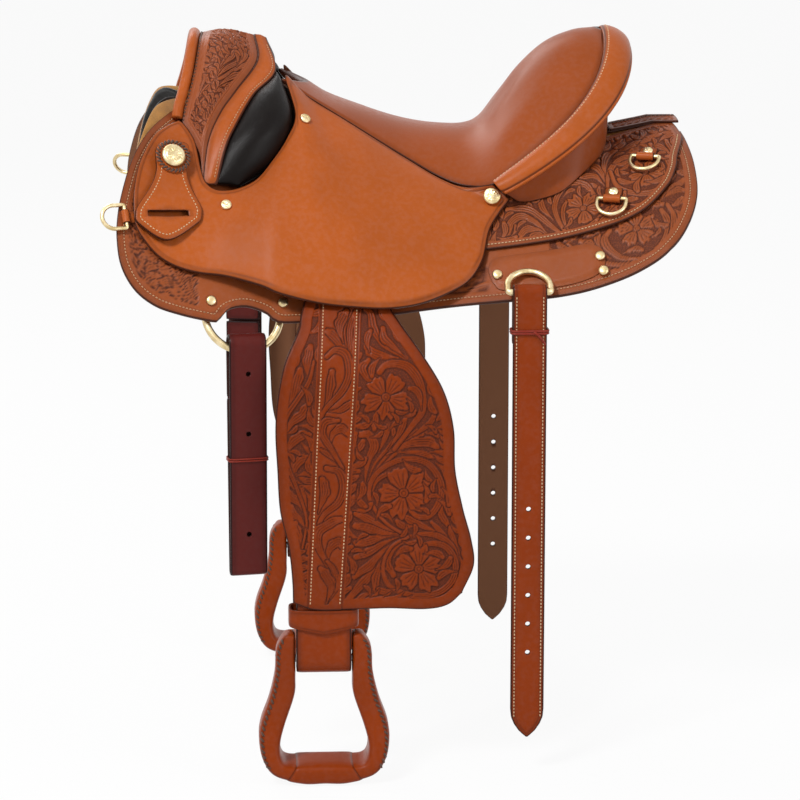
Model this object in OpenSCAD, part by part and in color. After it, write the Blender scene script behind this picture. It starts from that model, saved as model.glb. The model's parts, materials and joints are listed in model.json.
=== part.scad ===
// Half-breed stock saddle: swell fork, deep seat, swinging fenders, tooled skirts on a felt-lined panel.
// X runs from pommel to cantle, Y across the horse (near side negative), Z up.
// The origin is the highest line of the horse's back at the middle of the saddle.

/* [Back form] */
// Radius of the back's ridge at the origin
back_r = 150; // [140:1:160]
// Height of the withers over the origin
withers_rise = 105; // [95:1:115]
// Distance ahead of the origin at which the withers reach that height
withers_reach = 290; // [280:1:310]
// Height of the loins over the origin
loin_rise = 33; // [26:1:40]
// Distance behind the origin at which the loins reach that height
loin_reach = 311; // [290:1:330]

/* [Layers] */
// Thickness of each stuffed panel
panel_th = 12; // [10:0.5:14]
// Thickness of the felt between panel and skirt
felt_th = 7.5; // [6:0.5:8]
// Thickness of the skirt leather
skirt_th = 5; // [4:0.5:6]
// Thickness of the rear housing leather
housing_th = 4; // [3:0.5:5]
// Thickness of the jockey leather
jockey_th = 5; // [4:0.5:6]
// Gap between two layers of leather
layer_gap = 0.5; // [0.4:0.1:0.6]

/* [Skirts] */
// Length of a skirt
skirt_len = 696; // [680:1:710]
// Reach of a skirt ahead of the origin
skirt_front = 345; // [335:1:350]
// Drop of a skirt below the origin
skirt_drop = 146; // [140:1:152]

/* [Jockeys] */
// Length of a seat jockey
jockey_len = 450; // [440:1:460]
// Reach of a jockey ahead of the origin
jockey_front = 325; // [320:1:330]
// Drop of a jockey below the origin
jockey_drop = 124; // [118:1:128]
// Stand-off of the jockey's lower edge over the fender
jockey_lift = 22; // [20:1:26]
// Outward bulge of the jockey
jockey_crown = 13; // [11:1:16]

/* [Seat] */
// Half width of the seat at the cantle corners
seat_half = 152; // [146:1:156]
// Height of the seat's lowest point at its centre line
seat_low = 60; // [57:1:64]
// Thickness of the padded seat
seat_th = 14; // [11:1:15]
// Height of the cantle rim over its corners
cantle_rise = 172; // [166:1:178]
// Reach of the cantle rim behind its corners
cantle_reach = 144; // [138:1:148]
// Width of the cantle roll
roll_w = 40; // [36:1:42]
// Thickness of the cantle roll
roll_th = 17; // [15:1:19]

/* [Fork] */
// Height of the fork's top over the origin
fork_top = 179; // [174:1:184]
// Half width of the swell at its base
swell_half = 170; // [167:1:174]
// Thickness of the swell cover
cover_th = 6; // [5:0.5:7]
// Thickness of the wooden fork under the cover
fork_th = 16; // [13:1:18]
// Bulge of a knee pad
pad_crown = 17; // [14:1:20]
// Diameter of the rolled gullet edge
lip_d = 13; // [11:1:15]

/* [Fenders] */
// Distance of the fender's hinge ahead of the origin
hang_x = 80; // [76:1:84]
// Distance of the hinge below the origin
hang_drop = 45; // [42:1:48]
// Half spread of the stirrup leathers at the hinge
hang_half = 175; // [174:1:178]
// Slope of the leather under the jockey, from upright
hang_angle = 37; // [36:0.5:38]
// Radius of the bend from that slope to upright
hang_bend = 150; // [140:1:160]
// Distance of that bend below the origin
bend_drop = 150; // [146:1:156]
// Distance of the fender's lower edge below the origin
fender_drop = 482; // [470:1:490]
// Width of the fender at its widest
fender_w = 218; // [208:1:224]
// Thickness of the fender leather
fender_th = 4.5; // [4:0.5:5]
// Width of a stirrup leather
leather_w = 66; // [62:1:68]
// Thickness of a stirrup leather
leather_th = 5; // [4:0.5:5.5]

/* [Stirrups] */
// Distance of the stirrup bolt below the origin
bolt_drop = 548; // [540:1:556]
// Diameter of the stirrup bolt
bolt_d = 9; // [8:0.5:10]
// Diameter of the roller on the bolt
roller_d = 24; // [22:1:26]
// Outer width of a stirrup
stirrup_w = 157; // [150:1:162]
// Height of a stirrup
stirrup_h = 184; // [178:1:190]
// Depth of the tread
tread_depth = 62; // [56:1:66]
// Depth of a stirrup's arms at the bolt
arm_depth = 30; // [27:1:34]

/* [Straps] */
// Width of the latigo and the off-side billet
latigo_w = 45; // [42:1:47]
// Thickness of the latigo leather
latigo_th = 4; // [3.5:0.5:4.5]
// Length of the doubled latigo
latigo_len = 294; // [280:1:300]
// Width of a rear billet
billet_w = 41; // [38:1:44]
// Thickness of a rear billet
billet_th = 5; // [4:0.5:5.5]
// Length of a rear billet below its bar
billet_len = 545; // [530:1:560]
// Diameter of the billet's holes
hole_d = 6; // [5:0.5:7]
// Spacing of the billet's holes
hole_pitch = 35.5; // [34:0.5:37]

/* [Hardware] */
// Outer diameter of a front rigging ring
ring_d = 99; // [95:1:102]
// Wire of a front rigging ring
ring_wire = 9; // [8:0.5:9.5]
// Width of a rear rigging dee
rig_dee_w = 59; // [57:1:61]
// Height of a rear rigging dee
rig_dee_h = 43; // [40:1:45]
// Wire of a rear rigging dee
rig_wire = 8; // [7:0.5:8.5]
// Width of a front dee
front_dee_w = 34; // [32:1:36]
// Height of a front dee
front_dee_h = 34; // [32:1:36]
// Width of a saddle dee
dee_w = 40; // [38:1:42]
// Height of a saddle dee
dee_h = 30; // [28:1:32]
// Wire of the small dees
dee_wire = 5; // [4.5:0.5:5.5]
// Diameter of the keeper's concho
concho_d = 29; // [27:1:31]
// Diameter of the small screws, rivets and studs
stud_d = 12.5; // [11:0.5:14]
// Height of a stud's head
stud_h = 4; // [3:0.5:5]
// Width of a latigo keeper
keeper_w = 82; // [78:1:86]
// Height of a latigo keeper
keeper_h = 124; // [120:1:128]
// Thickness of a latigo keeper
keeper_th = 5; // [4:0.5:6]

/* [Hidden] */
$fn = 48;
overrun = 2;
probe_step = 0.5;
brown = "#6b3415";
tooled = "#8a4a20";
black = "#1a1716";
burgundy = "#4a1812";
brass = "#c9a24a";
felt_tan = "#c9a467";
wood = "#b98a52";
steel = "#8d8f92";
red_lace = "#a52a22";
back_flare_share = 0.12;
panel_out = panel_th;
bed_gap = 1.1;
felt_in = panel_out + bed_gap;
felt_out = felt_in + felt_th;
skirt_in = felt_out + bed_gap;
skirt_out = skirt_in + skirt_th;
housing_in = skirt_out + bed_gap;
housing_out = housing_in + housing_th;
ear_gap = 2.5;
ear_out = skirt_out + ear_gap + jockey_th;

// General shape functions
step_share = 0.01;
function clamp01(t) = min(1, max(0, t));
function ease(t) = let (c = clamp01(t)) c * c * (3 - 2 * c);
function lerp(a, b, t) = a + (b - a) * t;
function unit(v) = v / norm(v);
function flip_y(p) = [p.x, -p.y, p.z];
function curve_pt(p, t) = let (
        n = len(p) - 1, s = clamp01(t) * n, i = min(n - 1, floor(s)), f = s - i,
        a = i > 0 ? p[i - 1] : 2 * p[0] - p[1],
        d = i < n - 1 ? p[i + 2] : 2 * p[n] - p[n - 1], b = p[i], c = p[i + 1])
    (2 * b + (c - a) * f + (2 * a - 5 * b + 4 * c - d) * f * f
        + (3 * b - a - 3 * c + d) * f * f * f) / 2;

// The horse's back: a parabola across, whose ridge climbs to the withers and the loins.
// t is the distance across on the bare back, o the distance outwards along its normal.
function ridge_z(x) = x < 0 ? withers_rise * pow(x / withers_reach, 2)
    : loin_rise * pow(min(1, x / loin_reach), 2);
function ridge_r(x) = back_r + back_flare_share * x;
function back_pt(x, t, o) = let (r = ridge_r(x), q = sqrt(1 + t * t / (r * r)))
    [x, -(t + o * t / r / q), ridge_z(x) - t * t / (2 * r) + o / q];
function across(x, z, o, t, n = 24) = n == 0 ? t
    : let (r = ridge_r(x), q = sqrt(1 + t * t / (r * r)))
    across(x, z, o, (t + sqrt(2 * r * max(0, ridge_z(x) + o / q - z))) / 2, n - 1);
function on_back(x, z, o) = [x, across(x, z, o, back_r)];
function back_at(x, z, o) = let (p = on_back(x, z, o)) back_pt(p.x, p.y, o);
function back_grid(top, low, o, rows) = [for (i = [0 : rows]) [for (j = [0 : len(low) - 1])
    let (p = lerp(top[j], low[j], i / rows)) back_pt(p.x, p.y, o)]];

// A local frame on a surface: X to the rear, Y up the slope, Z outwards.
function frame_of(p, n) = let (up = unit([0, 0, 1] - n * n.z), side = cross(up, n))
    [[side.x, up.x, n.x, p.x], [side.y, up.y, n.y, p.y], [side.z, up.z, n.z, p.z], [0, 0, 0, 1]];
function place_of(f) = [f[0][3], f[1][3], f[2][3]];
function up_of(f) = [f[0][1], f[1][1], f[2][1]];
function outward(du, dv) = let (n = unit(cross(du, dv))) n.y < 0 ? n : -n;
function back_normal(x, z, o) = let (p = on_back(x, z, o), e = probe_step) outward(
    back_pt(p.x + e, p.y, o) - back_pt(p.x - e, p.y, o),
    back_pt(p.x, p.y + e, o) - back_pt(p.x, p.y - e, o));
function back_frame(x, z, o) = frame_of(back_at(x, z, o), back_normal(x, z, o));

// A closed leaf between two point grids of the same size, outer first
module leaf(outer, inner) {
    n = len(outer[0]);
    m = len(outer);
    k = n * m;
    cells = [for (i = [0 : m - 2]) for (j = [0 : n - 2]) i * n + j];
    face_out = [for (a = cells) each [[a, a + 1, a + n + 1], [a, a + n + 1, a + n]]];
    face_in = [for (a = cells) let (b = k + a) each [[b, b + n + 1, b + 1], [b, b + n, b + n + 1]]];
    rim_top = [for (a = [0 : n - 2]) each [[a, k + a, k + a + 1], [a, k + a + 1, a + 1]]];
    rim_low = [for (a = [k - n : k - 2]) each [[a, a + 1, k + a + 1], [a, k + a + 1, k + a]]];
    rim_front = [for (i = [0 : m - 2]) let (a = i * n)
        each [[a, a + n, k + a + n], [a, k + a + n, k + a]]];
    rim_rear = [for (i = [0 : m - 2]) let (a = i * n + n - 1)
        each [[a, k + a, k + a + n], [a, k + a + n, a + n]]];
    polyhedron(
        points = concat([for (row = outer) each row], [for (row = inner) each row]),
        faces = concat(face_out, face_in, rim_top, rim_low, rim_front, rim_rear), convexity = 10);
}

// A closed tube through rings of points, each ring running the same way round
module tube(rings) {
    n = len(rings[0]);
    m = len(rings);
    sides = [for (i = [0 : m - 2]) for (j = [0 : n - 1]) let (a = i * n + j, b = i * n + (j + 1) % n)
        each [[a, b, b + n], [a, b + n, a + n]]];
    ends = [[for (j = [0 : n - 1]) n - 1 - j], [for (j = [0 : n - 1]) (m - 1) * n + j]];
    polyhedron(points = [for (r = rings) each r], faces = concat(sides, ends), convexity = 10);
}

module off_side() mirror([0, 1, 0]) children();
module both_sides() {
    children();
    off_side() children();
}
module leaf_on_back(top, low, o_in, o_out, rows) {
    leaf(back_grid(top, low, o_out, rows), back_grid(top, low, o_in, rows));
}

// Skirts, felt and panels, as shares of skirt_len behind the front and of skirt_drop over the origin
skirt_edge_shares = [[0.11, 0.64], [0.08, 0.575], [0.05, 0.46], [0.026, 0.28], [0.011, 0.075],
    [0.002, -0.12], [0, -0.31], [0.007, -0.52], [0.029, -0.705], [0.063, -0.835], [0.105, -0.91],
    [0.147, -0.96],
    [0.167, -0.975], [0.175, -0.94], [0.188, -0.885], [0.217, -0.87], [0.249, -0.92], [0.269, -0.99],
    [0.307, -1], [0.384, -0.98], [0.473, -0.945], [0.563, -0.89], [0.648, -0.85], [0.75, -0.8],
    [0.819, -0.725], [0.888, -0.6], [0.941, -0.44], [0.976, -0.26], [0.997, -0.05], [1, 0.16],
    [0.994, 0.32], [0.99, 0.37]];
felt_edge_shares = [[0.108, 0.69], [0.08, 0.685], [0.063, 0.645], [0.047, 0.51], [0.031, 0.28],
    [0.021, 0.06], [0.013, -0.2], [0.02, -0.49], [0.042, -0.67], [0.079, -0.77], [0.119, -0.66],
    [0.136, -0.575],
    [0.19, -0.575], [0.245, -0.575], [0.297, -0.575], [0.315, -0.69], [0.38, -0.88], [0.496, -0.85],
    [0.64, -0.755], [0.75, -0.715],
    [0.819, -0.645], [0.881, -0.535], [0.931, -0.38], [0.964, -0.2], [0.984, -0.02], [0.987, 0.15],
    [0.981, 0.3]];
panel_edge_shares = [[0.105, 0.69], [0.083, 0.71], [0.064, 0.655], [0.053, 0.56], [0.037, 0.37],
    [0.025, 0.07], [0.022, -0.24], [0.029, -0.48], [0.05, -0.64], [0.083, -0.73], [0.119, -0.645],
    [0.136, -0.56],
    [0.19, -0.56], [0.245, -0.56], [0.297, -0.56], [0.315, -0.67], [0.38, -0.835], [0.496, -0.81],
    [0.64, -0.715], [0.75, -0.67],
    [0.819, -0.605], [0.876, -0.495], [0.924, -0.345], [0.955, -0.18], [0.976, 0], [0.979, 0.15],
    [0.973, 0.29]];
channel_front = 42;
channel_rear = 26;
top_front_share = 0.13;
top_rear_share = 0.97;
skirt_rows = 8;
function skirt_x(s) = s * skirt_len - skirt_front;
function edge_on_back(shares, o) = [for (s = shares) on_back(skirt_x(s.x), s.y * skirt_drop, o)];
function top_line(n) = [for (k = [0 : n]) [skirt_x(lerp(top_front_share, top_rear_share, k / n)),
    lerp(channel_front, channel_rear, k / n)]];
module skirt_layer(shares, o_in, o_out) {
    leaf_on_back(top_line(len(shares) - 1), edge_on_back(shares, o_out), o_in, o_out, skirt_rows);
}
module skirt_near() color(tooled) skirt_layer(skirt_edge_shares, skirt_in, skirt_out);
module skirt_off() color(tooled) off_side() skirt_near();
module felt_layers() color(felt_tan) both_sides() skirt_layer(felt_edge_shares, felt_in, felt_out);
module panels() color(black) both_sides() skirt_layer(panel_edge_shares, 0, panel_out);

// Tree bars on the skirts, widest under the stirrup leathers
bar_front = 232;
bar_rear = 222;
bar_th = 5;
bar_top = 46;
bar_low = 104;
bar_wide = 156;
bar_wide_front = 150;
bar_wide_rear = 60;
bar_ramp = 60;
bar_cols = 18;
bar_rows = 6;
bar_in = skirt_out + bed_gap;
bar_out = bar_in + bar_th;
function bar_edge(x) = lerp(bar_low, bar_wide,
    ease((x + bar_wide_front) / bar_ramp) * ease((bar_wide_rear - x) / bar_ramp));
module tree_bars() color(wood) both_sides() {
    xs = [for (k = [0 : bar_cols]) lerp(-bar_front, bar_rear, k / bar_cols)];
    leaf_on_back([for (x = xs) [x, bar_top]], [for (x = xs) [x, bar_edge(x)]], bar_in, bar_out, bar_rows);
}

// Rear housing, which lies over the bars and then on the skirt, and the strip along its ridge
housing_front = 88;
housing_len = 257;
housing_drop = 66;
housing_edge_shares = [[0, -1], [0.195, -0.91], [0.37, -0.8], [0.54, -0.64], [0.68, -0.46], [0.785, -0.24],
    [0.883, 0.09], [0.93, 0.35], [0.946, 0.515], [0.975, 0.7], [0.99, 0.8]];
housing_rows = 9;
housing_top_front = 74;
housing_top_rear = 22;
housing_top_end_share = 0.965;
drape_from = 6;
drape = 26;
drape_step = bar_out + bed_gap - housing_in;
strip_half = 27;
strip_front = 259;
strip_rear = 343;
strip_th = 3;
strip_cols = 6;
strip_rows = 8;
function housing_x(s) = housing_front + s * housing_len;
function housing_low() = [for (s = housing_edge_shares)
    on_back(housing_x(s.x), s.y * housing_drop, housing_out)];
function housing_top(n) = [for (k = [0 : n]) [housing_x(housing_top_end_share * k / n),
    lerp(housing_top_front, housing_top_rear, k / n)]];
function housing_lift(x, t) = drape_step * (1 - ease((t - bar_low - drape_from) / drape))
    * (1 - ease((x - bar_rear - drape_from) / drape));
function housing_grid(o) = let (low = housing_low(), top = housing_top(len(low) - 1))
    [for (i = [0 : housing_rows]) [for (j = [0 : len(low) - 1])
        let (p = lerp(top[j], low[j], i / housing_rows)) back_pt(p.x, p.y, o + housing_lift(p.x, p.y))]];
module housing_near() color(tooled) leaf(housing_grid(housing_out), housing_grid(housing_in));
module housing_off() color(tooled) off_side() housing_near();
function strip_grid(o) = [for (i = [0 : strip_rows]) [for (j = [0 : strip_cols])
    let (t = strip_half * (2 * i / strip_rows - 1))
    back_pt(lerp(strip_front, strip_rear, j / strip_cols), t, o)]];
module ridge_strip() color(brown)
    leaf(strip_grid(housing_out + layer_gap + strip_th), strip_grid(housing_out + layer_gap));

// Seat: ribs from a centre line to the seam and the cantle rim, x and height as shares
seat_front = 146;
seat_len = 250;
corner_z = 8;
seam_shares = [[0, 0.395, 0.69], [0.132, 0.41, 0.57], [0.3, 0.48, 0.43], [0.468, 0.57, 0.29],
    [0.6, 0.665, 0.185], [0.756, 0.79, 0.07], [0.876, 0.895, 0.022], [1, 1, 0.044]];
centre_shares = [[0.132, 0.9], [0.236, 0.63], [0.384, 0.4], [0.524, 0.2], [0.656, 0.065], [0.784, 0],
    [0.904, 0], [0.984, 0.15], [1.064, 0.6], [1.164, 1.17], [1.296, 1.67], [1.432, 1.92], [1.544, 1.985]];
seat_rise = 60;
rim_power_share = 1.65;
seat_power_share = 2.2;
rim_end = 8;
seat_cols = 24;
seat_rows = 20;
corner_x = seat_len - seat_front;
function rim_pt(a) = [corner_x + cantle_reach * ease(cos(a)), -seat_half * sin(a),
    corner_z + cantle_rise * pow(cos(a), rim_power_share)];
seam_z = 180;
seam_pts = [for (s = seam_shares) [s.x * seat_len - seat_front, -s.y * seat_half, s.z * seam_z]];
rim_steps = len(centre_shares) - len(seam_shares);
seat_edge = concat(seam_pts,
    [for (k = [1 : rim_steps]) rim_pt(lerp(90, rim_end, k / rim_steps))]);
seat_centre = [for (s = centre_shares) [s.x * seat_len - seat_front, 0, seat_low + s.y * seat_rise]];
function seat_pt(a, b) = let (e = curve_pt(seat_edge, a), c = curve_pt(seat_centre, a), w = abs(b))
    [c.x + (e.x - c.x) * w * w, e.y * -b, e.z + (c.z - e.z) * (1 - pow(w, seat_power_share))];
seat_step_share = 0.004;
function seat_normal(a, b) = let (
        a0 = clamp01(a - seat_step_share), a1 = clamp01(a + seat_step_share),
        b0 = max(-1, b - seat_step_share), b1 = min(1, b + seat_step_share),
        n = unit(cross(seat_pt(a1, b) - seat_pt(a0, b), seat_pt(a, b1) - seat_pt(a, b0))))
    n.z > 0 ? n : -n;
seat_thin_share = 0.6;
seat_thin_power_share = 6;
function seat_at(a, b, d) = seat_pt(a, b)
    - d * (1 - seat_thin_share * pow(abs(b), seat_thin_power_share)) * seat_normal(a, b);
function seat_grid(a0, a1, b1, d, cols, rows) = [for (i = [0 : rows]) [for (j = [0 : cols])
    seat_at(lerp(a0, a1, j / cols), b1 * (1 - 2 * i / rows), d)]];
seat_inset_share = 0.992;
module seat_leaf(s, d, th, cols, rows)
    leaf(seat_grid(s[0], s[1], s[2], d, cols, rows), seat_grid(s[0], s[1], s[2], d + th, cols, rows));
module seat_pad() color(brown) seat_leaf([0, 1, seat_inset_share], 0, seat_th, seat_cols, seat_rows);
ground_th = 5;
ground_shares = [0.03, 0.5, 0.62];
ground_cols = 8;
ground_rows = 8;
module ground_seat() color(wood)
    seat_leaf(ground_shares, seat_th + layer_gap, ground_th, ground_cols, ground_rows);
board_th = 9;
board_shares = [0.6, 0.95, 0.72];
board_cols = 8;
board_rows = 12;
module tree_cantle() color(wood)
    seat_leaf(board_shares, seat_th + layer_gap, board_th, board_cols, board_rows);

// Cantle roll: a band carried along the rim, from the seam out to the welt and back under
roll_end = 88;
roll_cols = 26;
roll_taper_share = 0.4;
roll_sections_shares = [[0.02, 0.02], [0.2, 0.32], [0.5, 0.45], [0.8, 0.36], [1, 0.06], [0.96, -0.3],
    [0.62, -0.55], [0.32, -0.5], [0.12, -0.2]];
roll_out_share = 0.42;
roll_back_share = 0.5;
roll_side_share = 0.8;
roll_fall_share = 0.5;
function roll_dir(a) = unit([roll_out_share + roll_back_share * cos(a), -roll_side_share * sin(a),
    -roll_fall_share]);
function roll_width(a) = roll_w * (roll_taper_share + (1 - roll_taper_share) * sqrt(max(0, cos(a))));
function rim_tangent(a) = unit(rim_pt(a + 1) - rim_pt(a - 1));
function roll_up(a) = let (n = cross(rim_tangent(a), roll_dir(a))) n.z > 0 ? unit(n) : -unit(n);
function roll_at(a, s) = rim_pt(a) + roll_dir(a) * (s.x * roll_width(a)) + roll_up(a) * (s.y * roll_th);
function roll_ring(a) = let (pts = [for (s = roll_sections_shares) roll_at(abs(a), s)])
    a < 0 ? [for (p = pts) flip_y(p)] : pts;
function roll_angle(k) = lerp(-roll_end, roll_end, k / roll_cols);
module cantle_roll() color(brown) tube([for (k = [0 : roll_cols]) roll_ring(roll_angle(k))]);

// Cantle back: from under the roll down to the housing
back_base_shares = [[1.035, 0], [1.02, 0.4], [0.91, 0.7], [0.63, 0.93], [0.36, 0.985], [0.2, 0.98]];
back_head_shares = [0.45, -0.68];
back_th = 4;
back_lift = 1.4;
back_cols = 20;
back_rows = 4;
function under_t(x, y, o, t, n = 20) = n == 0 ? t
    : let (r = ridge_r(x), q = sqrt(1 + t * t / (r * r))) under_t(x, y, o, y / (1 + o / r / q), n - 1);
function base_pt(a) = let (p = curve_pt(back_base_shares, abs(a) / 90), x = corner_x + p.x * cantle_reach,
        o = housing_out + back_lift, t = under_t(x, p.y * seat_half, o, bar_low))
    back_pt(x, t, o + housing_lift(x, t));
function back_row(a, s) = let (p = lerp(roll_at(abs(a), back_head_shares), base_pt(a), s))
    a < 0 ? flip_y(p) : p;
back_up_share = 0.9;
function back_in(a, s) = [-cos(a), sin(a), back_up_share * s] * back_th;
module cantle_back() color(brown) {
    turns = [for (k = [0 : back_cols]) lerp(roll_end, -roll_end, k / back_cols)];
    steps = [for (i = [0 : back_rows]) i / back_rows];
    outer = [for (s = steps) [for (a = turns) back_row(a, s)]];
    inner = [for (s = steps) [for (a = turns) back_row(a, s) + back_in(a, s)]];
    leaf(outer, inner);
}

// Swell: sections from the top centre down to the base, as shares of reach, half width and height
fork_rear = 136;
fork_len = 134;
swell_sections_shares = [
    [[0.83, 0, 0.97], [0.85, 0.225, 0.94], [0.895, 0.425, 0.76], [0.94, 0.53, 0.63],
        [0.978, 0.612, 0.535], [1, 0.682, 0.447]],
    [[0.567, 0, 1], [0.582, 0.26, 0.96], [0.634, 0.482, 0.815], [0.716, 0.647, 0.625],
        [0.798, 0.776, 0.425], [0.85, 0.859, 0.246]],
    [[0.328, 0, 0.96], [0.306, 0.265, 0.805], [0.5, 0.518, 0.631], [0.642, 0.688, 0.503],
        [0.754, 0.824, 0.324], [0.806, 0.988, 0.062]],
    [[0.224, 0, 0.938], [0.142, 0.294, 0.737], [0.343, 0.559, 0.609], [0.5, 0.765, 0.436],
        [0.604, 0.888, 0.285], [0.694, 1, 0.034]]];
pad_rear_shares = [[0.127, 0.312, 0.732], [0.03, 0.494, 0.57], [0, 0.6, 0.458], [0.052, 0.706, 0.335],
    [0.231, 0.835, 0.168], [0.56, 0.985, 0.02]];
function fork_pt(s) = [-fork_rear - s.x * fork_len, -s.y * swell_half, s.z * fork_top];
swell_pts = [for (sec = swell_sections_shares) [for (s = sec) fork_pt(s)]];
pad_rear_pts = [for (s = pad_rear_shares) fork_pt(s)];
function swell_pt(v, u) = let (p = curve_pt([for (sec = swell_pts) curve_pt(sec, abs(u))], v))
    u < 0 ? p : flip_y(p);
core_shares = [0.45, 0, 0.3];
fork_core = fork_pt(core_shares);
function sunk(p, d) = p + d * unit(fork_core - p);
function swell_grid(v0, v1, u1, d, cols, rows) = [for (i = [0 : rows]) [for (j = [0 : cols])
    sunk(swell_pt(lerp(v0, v1, j / cols), u1 * (1 - 2 * i / rows)), d)]];
cover_shares = [0.02, 0.655, 0.98];
band_shares = [0.675, 0.985, 0.98];
fork_shares = [0.06, 0.97, 0.78];
band_proud = 1.5;
cover_cols = 8;
cover_rows = 28;
band_cols = 3;
fork_cols = 6;
fork_rows = 20;
fork_gap = 1.6;
module swell_leaf(s, d, th, cols, rows)
    leaf(swell_grid(s[0], s[1], s[2], d, cols, rows), swell_grid(s[0], s[1], s[2], d + th, cols, rows));
module swell_cover() color(tooled) swell_leaf(cover_shares, 0, cover_th, cover_cols, cover_rows);
module swell_bands() color(brown)
    swell_leaf(band_shares, -band_proud, cover_th + band_proud, band_cols, cover_rows);
module tree_fork() color(wood)
    swell_leaf(fork_shares, cover_th + fork_gap, fork_th, fork_cols, fork_rows);
lip_sides = 8;
lip_cols = 28;
lip_tuck = 1;
function lip_ring(u) = let (p = swell_pt(0, u) - [lip_d / 2 - lip_tuck, 0, 0], a = [1, 0, 0],
        t = unit(swell_pt(0, min(1, u + step_share)) - swell_pt(0, max(-1, u - step_share))),
        b = cross(t, a))
    [for (k = [0 : lip_sides - 1]) let (g = 360 * k / lip_sides) p + lip_d / 2 * (cos(g) * a + sin(g) * b)];
lip_end_share = 0.96;
module gullet_roll() color(brown)
    tube([for (k = [0 : lip_cols]) lip_ring(lerp(lip_end_share, -lip_end_share, k / lip_cols))]);

// Knee pads: a crowned lens between the band and the jockey
pad_th = 8;
pad_start_share = 0.2;
pad_end_share = 0.97;
pad_gap_share = 0.04;
pad_cols = 16;
pad_rows = 8;
pad_lean_shares = [0.35, -0.82, 0.45];
pad_along_share = 0.6;
pad_across_share = 0.7;
function pad_pt(u, w) = let (f = swell_pt(1, -u), k = (u - pad_start_share) / (1 - pad_start_share))
    lerp(f, curve_pt(pad_rear_pts, k), lerp(pad_gap_share, 1, w));
function pad_bulge(k, w) = pad_crown * pow(sin(180 * k), pad_along_share)
    * pow(sin(180 * w), pad_across_share);
function pad_grid(d, lift) = [for (i = [0 : pad_cols]) [for (j = [0 : pad_rows])
    let (k = i / pad_cols, w = j / pad_rows)
    pad_pt(lerp(pad_start_share, pad_end_share, k), w)
        + unit(pad_lean_shares) * (lift * pad_bulge(k, w) - d)]];
module knee_pad_near() color(black) leaf(pad_grid(0, 1), pad_grid(pad_th, 0));
module knee_pad_off() color(black) off_side() knee_pad_near();

// Jockeys: a leaf between the fork, the seat seam and the lower edge
jockey_top_shares = [[1.021, 0.71, 0.457], [0.984, 0.725, 0.436], [0.934, 0.77, 0.385],
    [0.887, 0.82, 0.319], [0.86, 0.88, 0.236], [0.836, 0.945, 0.152], [0.793, 1.006, 0.069],
    [0.709, 1.035, 0.024], [0.598, 1.03, 0.015], [0.47, 0.99, 0.03], [0.322, 0.925, 0.08],
    [0.188, 0.842, 0.184], [0.05, 0.75, 0.319], [-0.034, 0.635, 0.461], [0.034, 0.382, 0.693]];
jockey_low_shares = [[0.089, 0.63], [0.053, 0.55], [0.018, 0.34], [0.002, 0.113], [0, -0.09],
    [0.007, -0.242], [0.036, -0.403], [0.069, -0.524], [0.113, -0.613], [0.167, -0.67], [0.238, -0.702],
    [0.327, -0.782],
    [0.38, -0.855], [0.478, -0.944], [0.567, -0.984], [0.656, -1], [0.74, -0.968], [0.818, -0.887],
    [0.878, -0.782], [0.916, -0.605], [0.938, -0.363], [0.971, -0.2], [0.998, -0.105]];
jockey_bell_share = 0.62;
jockey_bell_w_share = 0.17;
jockey_cols = 44;
jockey_rows = 7;
jockey_hang = 32;
seam_step = 3.8;
rear_lift = 4;
rear_from_share = 0.76;
rear_rise_share = 0.1;
function jockey_x(s) = s * jockey_len - jockey_front;
jockey_top = concat(
    [for (s = jockey_top_shares) fork_pt(s)],
    [for (k = [1 : len(seam_pts) - 1]) seam_pts[k] + [0, -seam_step, -seam_step]]);
function jockey_o(t) = ear_out + jockey_lift * exp(-pow((t - jockey_bell_share) / jockey_bell_w_share, 4))
    + rear_lift * ease((t - rear_from_share) / rear_rise_share);
jockey_low = [for (k = [0 : len(jockey_low_shares) - 1]) let (s = jockey_low_shares[k],
        t = k / (len(jockey_low_shares) - 1))
    back_at(jockey_x(s.x), s.y * jockey_drop, jockey_o(t))];
jockey_inward = [0, cos(jockey_hang), -sin(jockey_hang)];
bulge_from_share = 0.3;
bulge_rise_share = 0.25;
bulge_fall_share = 0.2;
function jockey_bulge(t, s) = jockey_crown * ease((t - bulge_from_share) / bulge_rise_share)
    * ease((1 - t) / bulge_fall_share) * 4 * s * (1 - s);
function jockey_pt(t, s) = lerp(curve_pt(jockey_top, t), curve_pt(jockey_low, t), s)
    - jockey_inward * jockey_bulge(t, s);
function jockey_grid(d) = [for (i = [0 : jockey_rows]) [for (j = [0 : jockey_cols])
    jockey_pt(j / jockey_cols, i / jockey_rows) + jockey_inward * d]];
module jockey_near() color(tooled) leaf(jockey_grid(0), jockey_grid(jockey_th));
module jockey_off() color(tooled) off_side() jockey_near();
function jockey_frame(t, s, d) = let (e = step_share, n = outward(
        jockey_pt(t + e, s) - jockey_pt(t - e, s), jockey_pt(t, s + e) - jockey_pt(t, s - e)))
    frame_of(jockey_pt(t, s) + n * d, n);

// Small round hardware in a local frame
stud_profile_shares = [[0, 0], [1, 0], [1, 0.35], [0.85, 0.75], [0.5, 1], [0, 1]];
module stud(d, h) rotate_extrude() polygon([for (s = stud_profile_shares) [s.x * d / 2, s.y * h]]);
seat_clear = 0.4;
screw_shares = [[0.669, 0.195, 1], [0.404, 0.197, 1.15]];
module jockey_screws() color(brass) both_sides() for (p = screw_shares)
    multmatrix(jockey_frame(p.x, p.y, seat_clear)) stud(stud_d * p.z, stud_h);
concho_shares = [0.972, 0.55, 1.65];
concho_stand = 4.8;
module cantle_conchos() color(brass) both_sides()
    multmatrix(jockey_frame(concho_shares.x, concho_shares.y, concho_stand))
        stud(stud_d * concho_shares.z, stud_h);

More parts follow.
